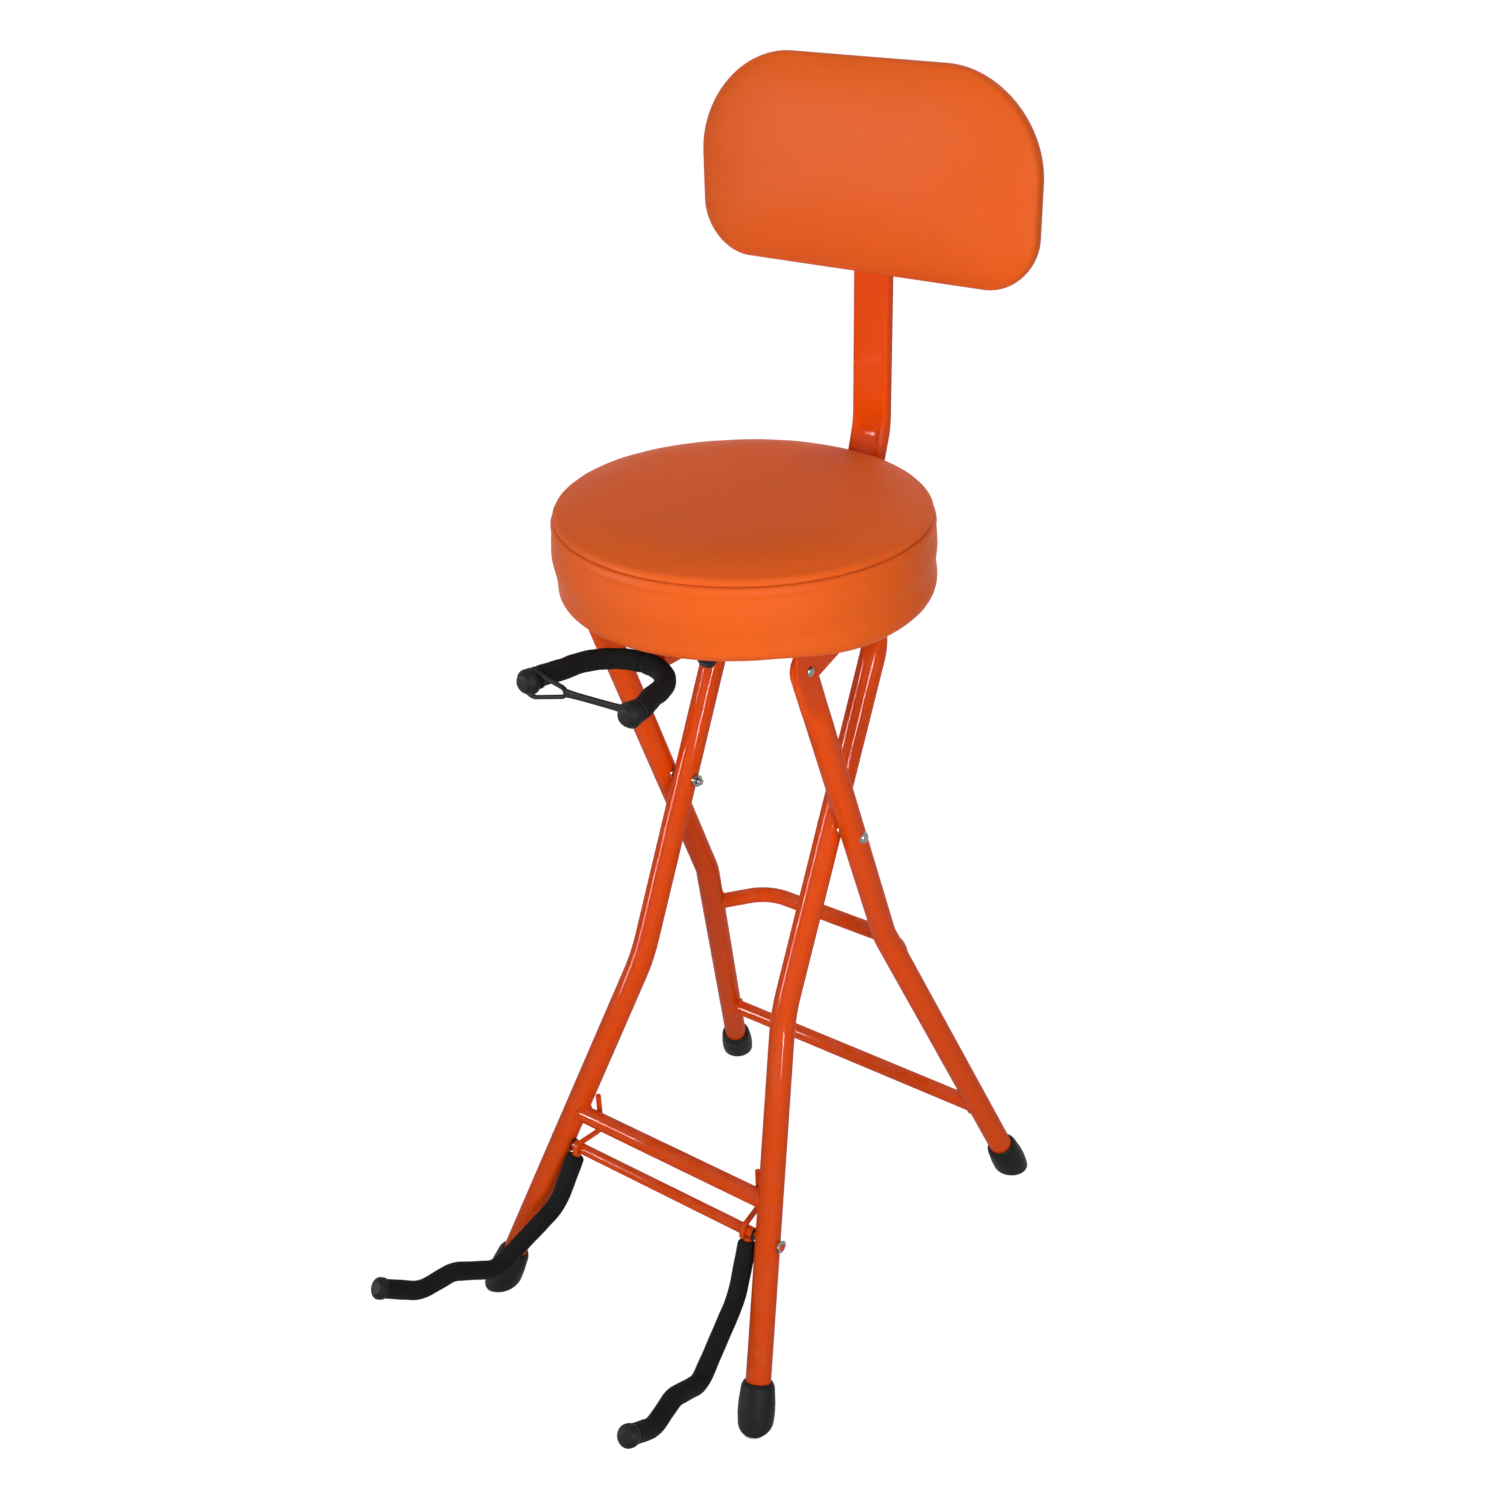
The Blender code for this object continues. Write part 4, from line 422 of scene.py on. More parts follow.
class Wiring:
    """Short hand for a node tree: makes nodes, sets their sockets and links them."""

    def __init__(self, tree: bpy.types.NodeTree) -> None:
        """Keeps the tree that the nodes go into."""
        self.tree = tree

    def node(self, kind: str, sockets: dict[str | int, object] | None = None, **settings: object) -> bpy.types.Node:
        """Makes one node.

        Args:
            kind: The node type's name after "ShaderNode".
            sockets: Values, or outputs that feed it, by input name or number.
            settings: Properties of the node itself.

        Returns:
            The node.
        """
        made = self.tree.nodes.new("ShaderNode" + kind)
        for key, value in settings.items():
            setattr(made, key, value)
        self.feed(made, sockets or {})
        return made

    def feed(self, node: bpy.types.Node, sockets: dict[str | int, object]) -> None:
        """Sets a node's inputs.

        Args:
            node: The node whose inputs are set.
            sockets: Values, or outputs that feed it, by input name or number.
        """
        for key, value in sockets.items():
            if isinstance(value, Socket):
                self.tree.links.new(value, node.inputs[key])
            else:
                node.inputs[key].default_value = value

    def maths(self, operation: str, *values: object) -> Socket:
        """One sum of numbers or outputs, such as MULTIPLY or MULTIPLY_ADD."""
        return self.node("Math", dict(enumerate(values)), operation=operation).outputs[0]

    def place(self) -> Socket:
        """Where a point of the surface lies, in the object's own coordinates."""
        return self.node("TexCoord").outputs["Object"]

    def noise(self, vector: Socket, scale: object, detail: float, distortion: float = 0.0) -> Socket:
        """A cloudy noise from zero to one."""
        sockets = {"Vector": vector, "Scale": scale, "Detail": detail, "Distortion": distortion}
        return self.node("TexNoise", sockets).outputs[0]

    def ramp(self, value: Socket, low: float, high: float) -> Socket:
        """A value stretched and clamped, so that low becomes zero and high becomes one."""
        return self.node("MapRange", {0: value, 1: low, 2: high}).outputs[0]

    def seen(self) -> Socket:
        """Tells which rays look at the scene.

        Returns:
            One for rays of the camera, of a reflection or through glass, and zero for others.
        """
        rays = self.node("LightPath").outputs
        straight = self.maths("MAXIMUM", rays["Is Camera Ray"], rays["Is Glossy Ray"])
        return self.maths("MAXIMUM", straight, rays["Is Transmission Ray"])


class Effect(Enum):
    """A shader node group that several finishes share, by the name it is built under."""

    GRAIN = "fine_grain"
    MOTTLE = "mottled_colour"
    SATIN = "uneven_gloss"
    SCUFF = "scuff_marks"
    DUST = "settled_dust"


Group = tuple[Wiring, dict[str, Socket], bpy.types.Node]


def effect_tree(effect: Effect, inputs: dict[str, object], output: str) -> Group:
    """An empty node group, whose sockets called Color are colours and all others numbers.

    Args:
        effect: The effect that it is for.
        inputs: Each input's name and value.
        output: The output's name.

    Returns:
        The group's wiring, its inputs by name, and its output node.
    """
    tree = bpy.data.node_groups.new(effect.value, "ShaderNodeTree")
    for name, way in [(name, "INPUT") for name in inputs] + [(output, "OUTPUT")]:
        kind = "NodeSocketColor" if name == "Color" else "NodeSocketFloat"
        socket = tree.interface.new_socket(name, in_out=way, socket_type=kind)
        if way == "INPUT":
            socket.default_value = inputs[name]
    entry = tree.nodes.new("NodeGroupInput")
    leave = tree.nodes.new("NodeGroupOutput")
    return Wiring(tree), {name: entry.outputs[name] for name in inputs}, leave


def build_grain() -> None:
    """Height of a fine grain: a noise, mixed with the distance to the nearest cell, then a slow noise."""
    inputs = {"Scale": 900.0, "Cells": 0.0, "Slow Scale": 40.0, "Slow Share": 0.3}
    made, given, leave = effect_tree(Effect.GRAIN, inputs, "Height")
    place = made.place()
    fine = made.noise(place, given["Scale"], 3.0)
    cells = made.node("TexVoronoi", {"Vector": place, "Scale": given["Scale"]}).outputs["Distance"]
    slow = made.noise(place, given["Slow Scale"], 2.0)
    mixed = made.node("Mix", {0: given["Cells"], 2: fine, 3: cells}).outputs[0]
    height = made.node("Mix", {0: given["Slow Share"], 2: mixed, 3: slow}).outputs[0]
    made.feed(leave, {"Height": height})


def build_mottle() -> None:
    """Colour whose brightness wanders: 1 + amount * (noise - 0.5) times the colour."""
    inputs = {"Color": (1, 1, 1, 1), "Scale": 8.0, "Amount": 0.1}
    made, given, leave = effect_tree(Effect.MOTTLE, inputs, "Color")
    cloud = made.noise(made.place(), given["Scale"], 4.0)
    level = made.maths("MULTIPLY_ADD", made.maths("SUBTRACT", cloud, 0.5), given["Amount"], 1.0)
    hue = made.node("HueSaturation", {"Value": level, "Color": given["Color"]}).outputs[0]
    made.feed(leave, {"Color": hue})


def build_satin() -> None:
    """Roughness that wanders: base + amount * (noise - 0.5)."""
    inputs = {"Base": 0.4, "Scale": 30.0, "Amount": 0.1}
    made, given, leave = effect_tree(Effect.SATIN, inputs, "Roughness")
    cloud = made.maths("SUBTRACT", made.noise(made.place(), given["Scale"], 5.0), 0.5)
    made.feed(leave, {"Roughness": made.maths("MULTIPLY_ADD", cloud, given["Amount"], given["Base"])})


def build_scuff() -> None:
    """Mask of faint rubbed marks: the narrow band of a bent noise where it crosses its middle."""
    inputs = {"Scale": 45.0, "Width": 0.012, "Share": 0.35}
    made, given, leave = effect_tree(Effect.SCUFF, inputs, "Mask")
    place = made.place()
    off = made.maths("ABSOLUTE", made.maths("SUBTRACT", made.noise(place, given["Scale"], 6.0, 0.6), 0.5))
    line = made.maths("SUBTRACT", 1.0, made.maths("DIVIDE", off, given["Width"]))
    line = made.node("Clamp", {0: line}).outputs[0]
    patches = made.ramp(made.noise(place, 9.0, 2.0), 0.56, 0.66)
    mask = made.maths("MULTIPLY", made.maths("MULTIPLY", line, patches), given["Share"])
    made.feed(leave, {"Mask": mask})


def build_dust() -> None:
    """Mask of dust: the upward share of the surface's own normal, broken up by a noise."""
    inputs = {"Scale": 60.0, "Share": 0.1}
    made, given, leave = effect_tree(Effect.DUST, inputs, "Mask")
    normal = made.node("NewGeometry").outputs["Normal"]
    upward = made.ramp(made.node("SeparateXYZ", {0: normal}).outputs[2], 0.2, 1.0)
    specks = made.ramp(made.noise(made.place(), given["Scale"], 6.0), 0.42, 0.62)
    mask = made.maths("MULTIPLY", made.maths("MULTIPLY", upward, specks), given["Share"])
    made.feed(leave, {"Mask": mask})


def build_effects() -> None:
    """Builds every shared node group once."""
    for build in (build_grain, build_mottle, build_satin, build_scuff, build_dust):
        build()


class Paint(Wiring):
    """The node tree of one material, with the shared effects and its Principled shader."""

    def __init__(self, name: str) -> None:
        """Makes an empty material.

        Args:
            name: Its name.
        """
        self.material = bpy.data.materials.new(name)
        self.material.use_nodes = True
        super().__init__(self.material.node_tree)
        self.shader = self.tree.nodes["Principled BSDF"]

    def effect(self, effect: Effect, **values: object) -> Socket:
        """Places a shared effect.

        Args:
            effect: The effect's name.
            values: The group's inputs, with underscores for spaces.

        Returns:
            The group's output.
        """
        group = self.node("Group", node_tree=bpy.data.node_groups[effect.value])
        self.feed(group, {key.replace("_", " "): value for key, value in values.items()})
        return group.outputs[0]

    def blend(self, share: object, first: object, second: object) -> Socket:
        """Mixes two colours by a mask."""
        return self.node("Mix", {0: share, 6: first, 7: second}, data_type="RGBA").outputs[2]

    def done(self, height: Socket, strength: float, distance: float, **inputs: object) -> None:
        """Bumps the surface and sets the shader's inputs.

        Args:
            height: The output that gives the bumps.
            strength: The Bump node's strength.
            distance: How high the bumps are.
            inputs: The shader's inputs, with underscores for spaces.
        """
        bump = self.node("Bump", {"Height": height, "Strength": strength, "Distance": distance})
        self.feed(self.shader, {key.replace("_", " "): value for key, value in inputs.items()})
        self.feed(self.shader, {"Normal": bump.outputs[0]})


@dataclass(frozen=True)
class Finish:
    """A finish: its material slot in the record, and its colour and gloss."""

    slot: str
    colour: tuple[float, float, float]
    roughness: float

    @property
    def rgba(self) -> Colour:
        """The colour with full alpha."""
        return (*self.colour, 1.0)

    def made(self) -> Material:
        """The finish's material, built the first time that it is asked for.

        Returns:
            The material.
        """
        name = self.slot + "_look"
        if name not in bpy.data.materials:
            self.build(Paint(name))
        return bpy.data.materials[name]

    def build(self, paint: Paint) -> None:
        """Wires the material."""
        raise NotImplementedError


@dataclass(frozen=True)
class PowderCoat(Finish):
    """Gloss powder coat: an orange peel, faint rubbed marks and a little dust on top."""

    rubbed: Colour = (0.62, 0.2, 0.09, 1.0)
    dust: Colour = (0.62, 0.52, 0.44, 1.0)

    def build(self, paint: Paint) -> None:
        """Wires the powder coat.

        Args:
            paint: Its empty material.
        """
        colour = paint.effect(Effect.MOTTLE, Color=self.rgba, Scale=14.0, Amount=0.07)
        scuffs = paint.effect(Effect.SCUFF)
        dust = paint.effect(Effect.DUST, Share=0.05)
        colour = paint.blend(dust, paint.blend(scuffs, colour, self.rubbed), self.dust)
        gloss = paint.effect(Effect.SATIN, Base=self.roughness, Scale=55.0, Amount=0.1)
        gloss = paint.maths("MULTIPLY_ADD", paint.maths("ADD", scuffs, dust), 0.5, gloss)
        peel = paint.effect(Effect.GRAIN, Scale=700.0, Cells=0.25, Slow_Scale=190.0, Slow_Share=0.45)
        paint.done(peel, 0.045, 0.0004, Base_Color=colour, Roughness=gloss, Specular_IOR_Level=0.0,
                   Coat_Weight=0.16, Coat_Roughness=0.05)


@dataclass(frozen=True)
class Vinyl(Finish):
    """Stuffed vinyl: a leather grain, slow waves, and a darker, matter line of painted shade down in the seam groove.
    """

    # The colour of the painted shade down in the seam groove.
    seam: Colour = (0.2, 0.022, 0.006, 1.0)
    dust: Colour = (0.7, 0.55, 0.45, 1.0)

    def build(self, paint: Paint) -> None:
        """Wires the vinyl. How much shade is painted into the seam groove, and how much duller the gloss is there,
        comes from the piece's own attribute.

        Args:
            paint: Its empty material.
        """
        colour = paint.effect(Effect.MOTTLE, Color=self.rgba, Scale=7.0, Amount=0.03)
        seam = paint.node("Attribute", attribute_name="seam").outputs["Fac"]
        # Painted shade: the seam groove is darkened towards the seam shade colour by the seam attribute.
        colour = paint.blend(paint.maths("MULTIPLY", seam, 0.55), colour, self.seam)
        colour = paint.blend(paint.effect(Effect.DUST, Share=0.012, Scale=160.0), colour, self.dust)
        gloss = paint.effect(Effect.SATIN, Base=self.roughness, Scale=24.0, Amount=0.06)
        gloss = paint.maths("MULTIPLY_ADD", seam, 0.3, gloss)
        grain = paint.effect(Effect.GRAIN, Scale=1150.0, Cells=0.75, Slow_Scale=70.0, Slow_Share=0.25)
        paint.done(grain, 0.22, 0.0004, Base_Color=colour, Roughness=gloss, Specular_IOR_Level=0.065)


@dataclass(frozen=True)
class Rubber(Finish):
    """Moulded rubber or nylon: a fine matt grain, paler where dust sits."""

    grain: float = 800.0
    dusty: float = 0.06
    dust: Colour = (0.16, 0.15, 0.14, 1.0)

    def build(self, paint: Paint) -> None:
        """Wires the rubber.

        Args:
            paint: Its empty material.
        """
        colour = paint.effect(Effect.MOTTLE, Color=self.rgba, Scale=35.0, Amount=0.5)
        colour = paint.blend(paint.effect(Effect.DUST, Share=self.dusty, Scale=140.0), colour, self.dust)
        gloss = paint.effect(Effect.SATIN, Base=self.roughness, Scale=90.0, Amount=0.16)
        grain = paint.effect(Effect.GRAIN, Scale=self.grain, Cells=0.4)
        paint.done(grain, 0.25, 0.0003, Base_Color=colour, Roughness=gloss, Specular_IOR_Level=0.12)


@dataclass(frozen=True)
class Foam(Finish):
    """Closed-cell foam sleeve: small open cells, dull all over."""

    cells: float = 820.0
    # How much paler the skin is than the painted shade in the pits.
    paler: float = 1.8

    def build(self, paint: Paint) -> None:
        """Wires the foam. The cells are pits painted darker as shade, in a slightly paler skin.

        Args:
            paint: Its empty material.
        """
        cells = paint.node("TexVoronoi", {"Vector": paint.place(), "Scale": self.cells}).outputs["Distance"]
        pale = (*(self.paler * part for part in self.colour), 1.0)
        # Painted shade: the colour darkens towards each cell's centre, where the bumped pits lie.
        colour = paint.blend(paint.ramp(cells, 0.15, 0.55), self.rgba, pale)
        colour = paint.effect(Effect.MOTTLE, Color=colour, Scale=50.0, Amount=0.4)
        gloss = paint.effect(Effect.SATIN, Base=self.roughness, Scale=200.0, Amount=0.1)
        pits = paint.effect(Effect.GRAIN, Scale=self.cells, Cells=0.9, Slow_Scale=120.0, Slow_Share=0.2)
        paint.done(pits, 0.7, 0.0006, Base_Color=colour, Roughness=gloss, Specular_IOR_Level=0.08)


@dataclass(frozen=True)
class Zinc(Finish):
    """Bright zinc plate on steel: a brushed grain with cloudy tarnish."""

    tarnish: Colour = (0.24, 0.235, 0.22, 1.0)

    def build(self, paint: Paint) -> None:
        """Wires the plated metal, with brushed lines along X.

        Args:
            paint: Its empty material.
        """
        cloud = paint.effect(Effect.SATIN, Base=0.5, Scale=320.0, Amount=0.9)
        colour = paint.blend(cloud, self.rgba, self.tarnish)
        gloss = paint.effect(Effect.SATIN, Base=self.roughness, Scale=240.0, Amount=0.22)
        along = paint.node("Mapping", {0: paint.place(), 3: (400.0, 2600.0, 2600.0)}).outputs[0]
        lines = paint.noise(along, 1.0, 2.0)
        paint.done(lines, 0.12, 0.0002, Base_Color=colour, Roughness=gloss, Metallic=1.0)


@dataclass(frozen=True)
class Plywood(Finish):
    """Birch plywood: long grain across the face, thin veneers where the edge shows."""

    early: Colour = (0.36, 0.22, 0.11, 1.0)
    late: Colour = (0.66, 0.47, 0.27, 1.0)
    glue: Colour = (0.24, 0.13, 0.06, 1.0)

    def build(self, paint: Paint) -> None:
        """Wires the wood. The grain runs along X and the veneers are bands of 1.5 mm along Z.

        Args:
            paint: Its empty material.
        """
        place = paint.place()
        long = paint.node("Mapping", {0: place, 3: (5.0, 130.0, 60.0)}).outputs[0]
        grain = paint.noise(long, 1.0, 7.0, 1.1)
        colour = paint.blend(grain, self.early, self.late)
        layers = paint.node("TexWave", {"Vector": place, "Scale": 210.0, "Distortion": 0.4}, bands_direction="Z")
        edge = paint.ramp(layers.outputs[0], 0.35, 0.65)
        colour = paint.blend(paint.maths("MULTIPLY", edge, 0.22), colour, self.glue)
        colour = paint.effect(Effect.MOTTLE, Color=colour, Scale=11.0, Amount=0.25)
        gloss = paint.effect(Effect.SATIN, Base=self.roughness, Scale=40.0, Amount=0.15)
        paint.done(grain, 0.3, 0.0005, Base_Color=colour, Roughness=gloss)


ORANGE = PowderCoat("orange_powder", (0.8, 0.073, 0.002), 0.3)
VINYL = Vinyl("orange_vinyl", (0.81, 0.119, 0.012), 0.5)
RUBBER = Rubber("black_rubber", (0.007, 0.007, 0.0075), 0.58)
FOAM = Foam("black_foam", (0.0065, 0.0065, 0.007), 0.9)
NYLON = Rubber("black_nylon", (0.008, 0.008, 0.009), 0.42, grain=1200.0, dusty=0.05)
ZINC = Zinc("zinc", (0.24, 0.24, 0.25), 0.27)
PLYWOOD = Plywood("plywood", (0.5, 0.33, 0.17), 0.68)


def fit(name: str, rows: Array, body: Body, finish: Finish, *nodes: str, ends: Ends = Ends.POINT) -> Thing:
    """Makes a piece of a grid, dresses it and fixes it to its body.

    Args:
        name: The piece's name.
        rows: Its grid of points.
        body: The body that it moves with.
        finish: Its finish.
        nodes: The CAD nodes that it stands for.
        ends: How its first and last rows are closed.

    Returns:
        The piece.
    """
    piece = mesh_object(name, rows, ends)
    piece.data.materials.append(finish.made())
    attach(piece, body.value)
    if nodes:
        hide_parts(*nodes)
    log.info("%s: %d points on %s", name, rows.shape[0] * rows.shape[1], body.value)
    return piece


def recast(node: str, word: str, rows: Array, body: Body, finish: Finish, ends: Ends = Ends.POINT) -> Thing:
    """Makes the piece that stands for one CAD node, and is named after it with a word added."""
    return fit(f"{node}_{word}", rows, body, finish, node, ends=ends)


def keep(finish: Finish, *nodes: str) -> None:
    """Dresses CAD nodes whose shape is right.

    Args:
        finish: Their finish.
        nodes: The nodes.
    """
    for node in nodes:
        thing = frame["nodes"][node]
        thing.data.materials.clear()
        thing.data.materials.append(finish.made())
        log.info("%s: kept, dressed in %s", node, finish.slot)


# Small parts that several sub-assemblies share


def rounded(corners: Sequence[tuple[float, float]], radii: Sequence[float]) -> Array:
    """A turning profile whose inner corners are rounded, coarser than a tube's bends."""
    return bend(corners, radii, step=0.3)


def weld(name: str, leg_point: Array, leg_axis: Array, bar_point: Array, bar_axis: Array, bar_radius: float,
         body: Body) -> None:
    """A weld bead round the end of a bar that butts against a leg.

    The bead's centre line is where a slightly wider bar cylinder meets the leg's cylinder: for
    each angle the distance along the bar solves |w + s * d|^2 = R^2 with w and d taken square to
    the leg. The bead's radius ripples with the angle.

    Args:
        name: The bead's name.
        leg_point: A point on the leg's centre line.
        leg_axis: The leg's direction.
        bar_point: A point on the bar's centre line, inside the stool from the leg.
        bar_axis: The bar's direction, towards the leg.
        bar_radius: The bar's radius.
        body: The body that both are part of.
    """
    leg_axis, bar_axis = unit(leg_axis), unit(bar_axis)
    side = unit(np.cross(bar_axis, (0.0, 0.0, 1.0)))
    angles = even_angles(56, 0.0)
    ring = side * np.cos(angles)[:, None] + np.cross(bar_axis, side) * np.sin(angles)[:, None]
    from_leg = bar_point + ring * (bar_radius + GAP) - leg_point
    flat = from_leg - leg_axis * (from_leg @ leg_axis)[:, None]
    ahead = bar_axis - leg_axis * (bar_axis @ leg_axis)
    square = ahead @ ahead
    half = flat @ ahead
    rest = np.einsum("ij,ij->i", flat, flat) - (STANCE.tube / 2 + 0.0002) ** 2
    reach = (-half - np.sqrt(np.maximum(half * half - square * rest, 0.0))) / square
    line = leg_point + from_leg + bar_axis * reach[:, None]
    ripple = 0.0016 + 0.00018 * np.cos(angles * 14) + 0.0001 * np.sin(angles * 5)
    section = round_section(1.0, 10)[None] * ripple[:, None, None]
    fit(name, loop_sweep(line, section, bar_axis), body, ORANGE, ends=Ends.RING)


def cross_bar(node: str, word: str, bead: str, leg: Callable[[float, Side], Array], knee: float, height: float,
              diameter: float, body: Body) -> None:
    """A straight bar between two legs, its ends sunk in their tubes under a weld bead each.

    Args:
        node: The CAD node that the bar stands for.
        word: What its name adds to the node's.
        bead: What the beads' names start with.
        leg: The legs' centre line, by height and side.
        knee: The knees' height.
        height: The bar's height.
        diameter: The bar's diameter.
        body: The body that the bar and its legs are part of.
    """
    ends = [leg(height, side) for side in Side]
    inset = (ends[1] - ends[0]) * 0.01
    path = np.array([ends[0] + inset, ends[1] - inset])
    recast(node, word, sweep(path, round_section(diameter / 2), (0.0, 0.0, 1.0)), body, ORANGE)
    for side, end in zip(Side, ends):
        weld(f"{bead}_weld_{side.word}", end, leg(knee, side) - end, (ends[0] + ends[1]) / 2,
             (side.value, 0.0, 0.0), diameter / 2, body)


def hexagon(place: Array, axis: Sequence[float], flats: float, height: float) -> Array:
    """A hexagon nut or head: a turned blank cut back to six flats.

    The radius at angle a is the lesser of the turned blank's and half the flats / cos(a - the
    nearest flat's angle), so that the corners are turned down at both ends.

    Args:
        place: The centre of its seat.
        axis: The direction in which it stands.
        flats: The distance over two flats.
        height: Its height.

    Returns:
        Its grid of points.
    """
    sides = 72
    half, corner = flats / 2, flats / math.sqrt(3)
    down = (corner - half) * 0.7
    rows = [(0.0, 0.0), (0.0, half), (down, corner), (height - down, corner), (height, half), (height, 0.0)]
    profile = spaced(np.array(rows), 48)
    near = (even_angles(sides) + math.pi / 6) % (math.pi / 3) - math.pi / 6
    reach = np.minimum(profile[:, 1:], half / np.cos(near)[None])
    blank = turned(np.stack([profile[:, 0], np.ones(len(profile))], axis=1), place, axis, sides)
    centre = place + unit(axis) * profile[:, :1, None]
    return centre + (blank - centre) * reach[..., None]


def low_head(seat: float, top: float, radius: float) -> Array:
    """Profile of a domed head: a short upright rim, then radius * cos a while it rises by sin a.

    Args:
        seat: Where the head starts along its axis.
        top: Where it ends.
        radius: Its radius.

    Returns:
        Rows of (distance along the axis, radius), from the rim to the middle.
    """
    angle = np.linspace(0.0, math.pi / 2, 14)
    rim = 0.35 * min(abs(top - seat), 0.001)
    rise = (abs(top - seat) - rim) * np.sin(angle) + rim
    dome = np.stack([seat + math.copysign(1.0, top - seat) * rise, radius * np.cos(angle) ** 0.8], axis=1)
    return np.concatenate([[(seat, radius)], dome])


def threaded(profile: Array, place: Array, axis: Sequence[float], start: float, finish: float) -> Array:
    """A turned profile with a screw thread cut between two distances along its axis.

    The radius falls by depth * (1 + cos(tau * s / pitch - a)) / 2 at distance s and angle a.

    Args:
        profile: Rows of (distance along the axis, radius).
        place: The point of the axis where the distance is zero.
        axis: The axis's direction.
        start: Where the thread starts.
        finish: Where it ends.

    Returns:
        The grid of the threaded piece.
    """
    rows = turned(profile, place, axis)
    along = profile[:, :1]
    pitch, depth = 0.0008, 0.00045
    cut = depth * (1.0 + np.cos(math.tau * along / pitch - even_angles(rows.shape[1]))) / 2
    inside = (along > start + 0.0002) & (along < finish) & (profile[:, 1:] > 3 * depth)
    share = 1.0 - np.where(inside, cut, 0.0) / np.maximum(profile[:, 1:], 1e-6)
    centre = place + unit(axis) * profile[:, :1, None]
    return centre + (rows - centre) * share[..., None]


def screw_head(node: str, place: Array, axis: Sequence[float], body: Body) -> None:
    """A pan-head screw's head with a cross recess.

    The head's surface z = height * (1 - r^4) sinks where either arm of the cross runs:
    0.55 * height * exp(-(short / 0.16)^4) * exp(-(long / 0.6)^4), short and long measured across
    and along the arm in shares of the radius.

    Args:
        node: The CAD node that it stands for.
        place: The centre of the head's seat.
        axis: The direction in which the head stands.
        body: The body that it moves with.
    """
    axis = unit(axis)
    diameter, height = SCREW_HEAD
    inner, sides, rim = np.linspace(0.98, 0.02, 22), 48, 0.12
    shares = np.concatenate([[1.0, 1.0], inner])
    rise = np.concatenate([[-0.3, rim], rim + (1.0 - rim) * (1 - inner ** 4)])
    rows = turned(np.stack([rise * height, shares * diameter / 2], axis=1), place, axis, sides)
    u, v = (shares[:, None] * part for part in circle(even_angles(sides)).T)
    arms = np.exp(-(u / 0.16) ** 4 - (v / 0.6) ** 4) + np.exp(-(v / 0.16) ** 4 - (u / 0.6) ** 4)
    sunk = np.minimum(arms, 1.0) * height * 0.55
    recast(node, "steel", rows - axis * sunk[..., None], body, ZINC)


@dataclass
class RubberFoot:
    """A barrel of black rubber on a leg's end, with a lip at its mouth, cut level on the floor."""

    belly: float = 0.0325
    mouth: float = 0.028
    length: float = 0.038
    lip: float = 0.0016
    heel: float = 0.0035

    def build(self, side: Side, body: Body, floor: Array, knee: Array) -> None:
        """Turns the barrel, presses what is below the floor flat and rounds the edge above it.

        The barrel's shape is given in shares of its length and its belly. At height z below the
        heel radius r the wall is drawn in by r - sqrt(r^2 - (r - z)^2).

        Args:
            side: The leg's side.
            body: The front or the rear frame.
            floor: Where the leg's centre line meets the floor.
            knee: A point further up the leg's centre line.
        """
        half = self.belly / 2
        shares = [(-0.42, 0.0), (-0.42, 0.74), (-0.16, 0.87), (0.06, 0.95), (0.3, 1.0), (0.55, 0.99), (0.8, 0.93)]
        outer = [(self.length * at, half * share) for at, share in shares]
        rim = self.mouth / 2
        bore = STANCE.tube / 2 - 0.0004
        outer += [(self.length - self.lip, rim + 0.0006), (self.length, rim - 0.0009), (self.length, bore)]
        outer += [(self.length - 0.005, bore), (self.length - 0.005, 0.0)]
        radii = [0.0] * (len(outer) - 2)
        radii[1:7] = [0.003, 0.012, 0.02, 0.03, 0.03, 0.01]
        radii[7:10] = [0.0008, 0.0012, 0.0006]
        profile = bend(outer, radii, step=0.12)
        profile = np.concatenate([profile[:1], spaced(profile[1:], 90)])
        rows = turned(profile, floor, knee - floor, 56)
        rows[..., 2] = np.maximum(rows[..., 2], 0.0)
        gap = np.clip(self.heel - rows[..., 2:], 0.0, self.heel)
        away = (rows - floor) * (1.0, 1.0, 0.0)
        reach = np.maximum(np.linalg.norm(away, axis=-1, keepdims=True), TINY)
        drawn = np.minimum(self.heel - np.sqrt(self.heel**2 - gap**2), reach * 0.3)
        kind = "front" if body is Body.FRONT else "rear"
        recast(f"{kind}_foot_{side.word}", "rubber", rows - away / reach * drawn, body, RUBBER)


# Sub-assemblies


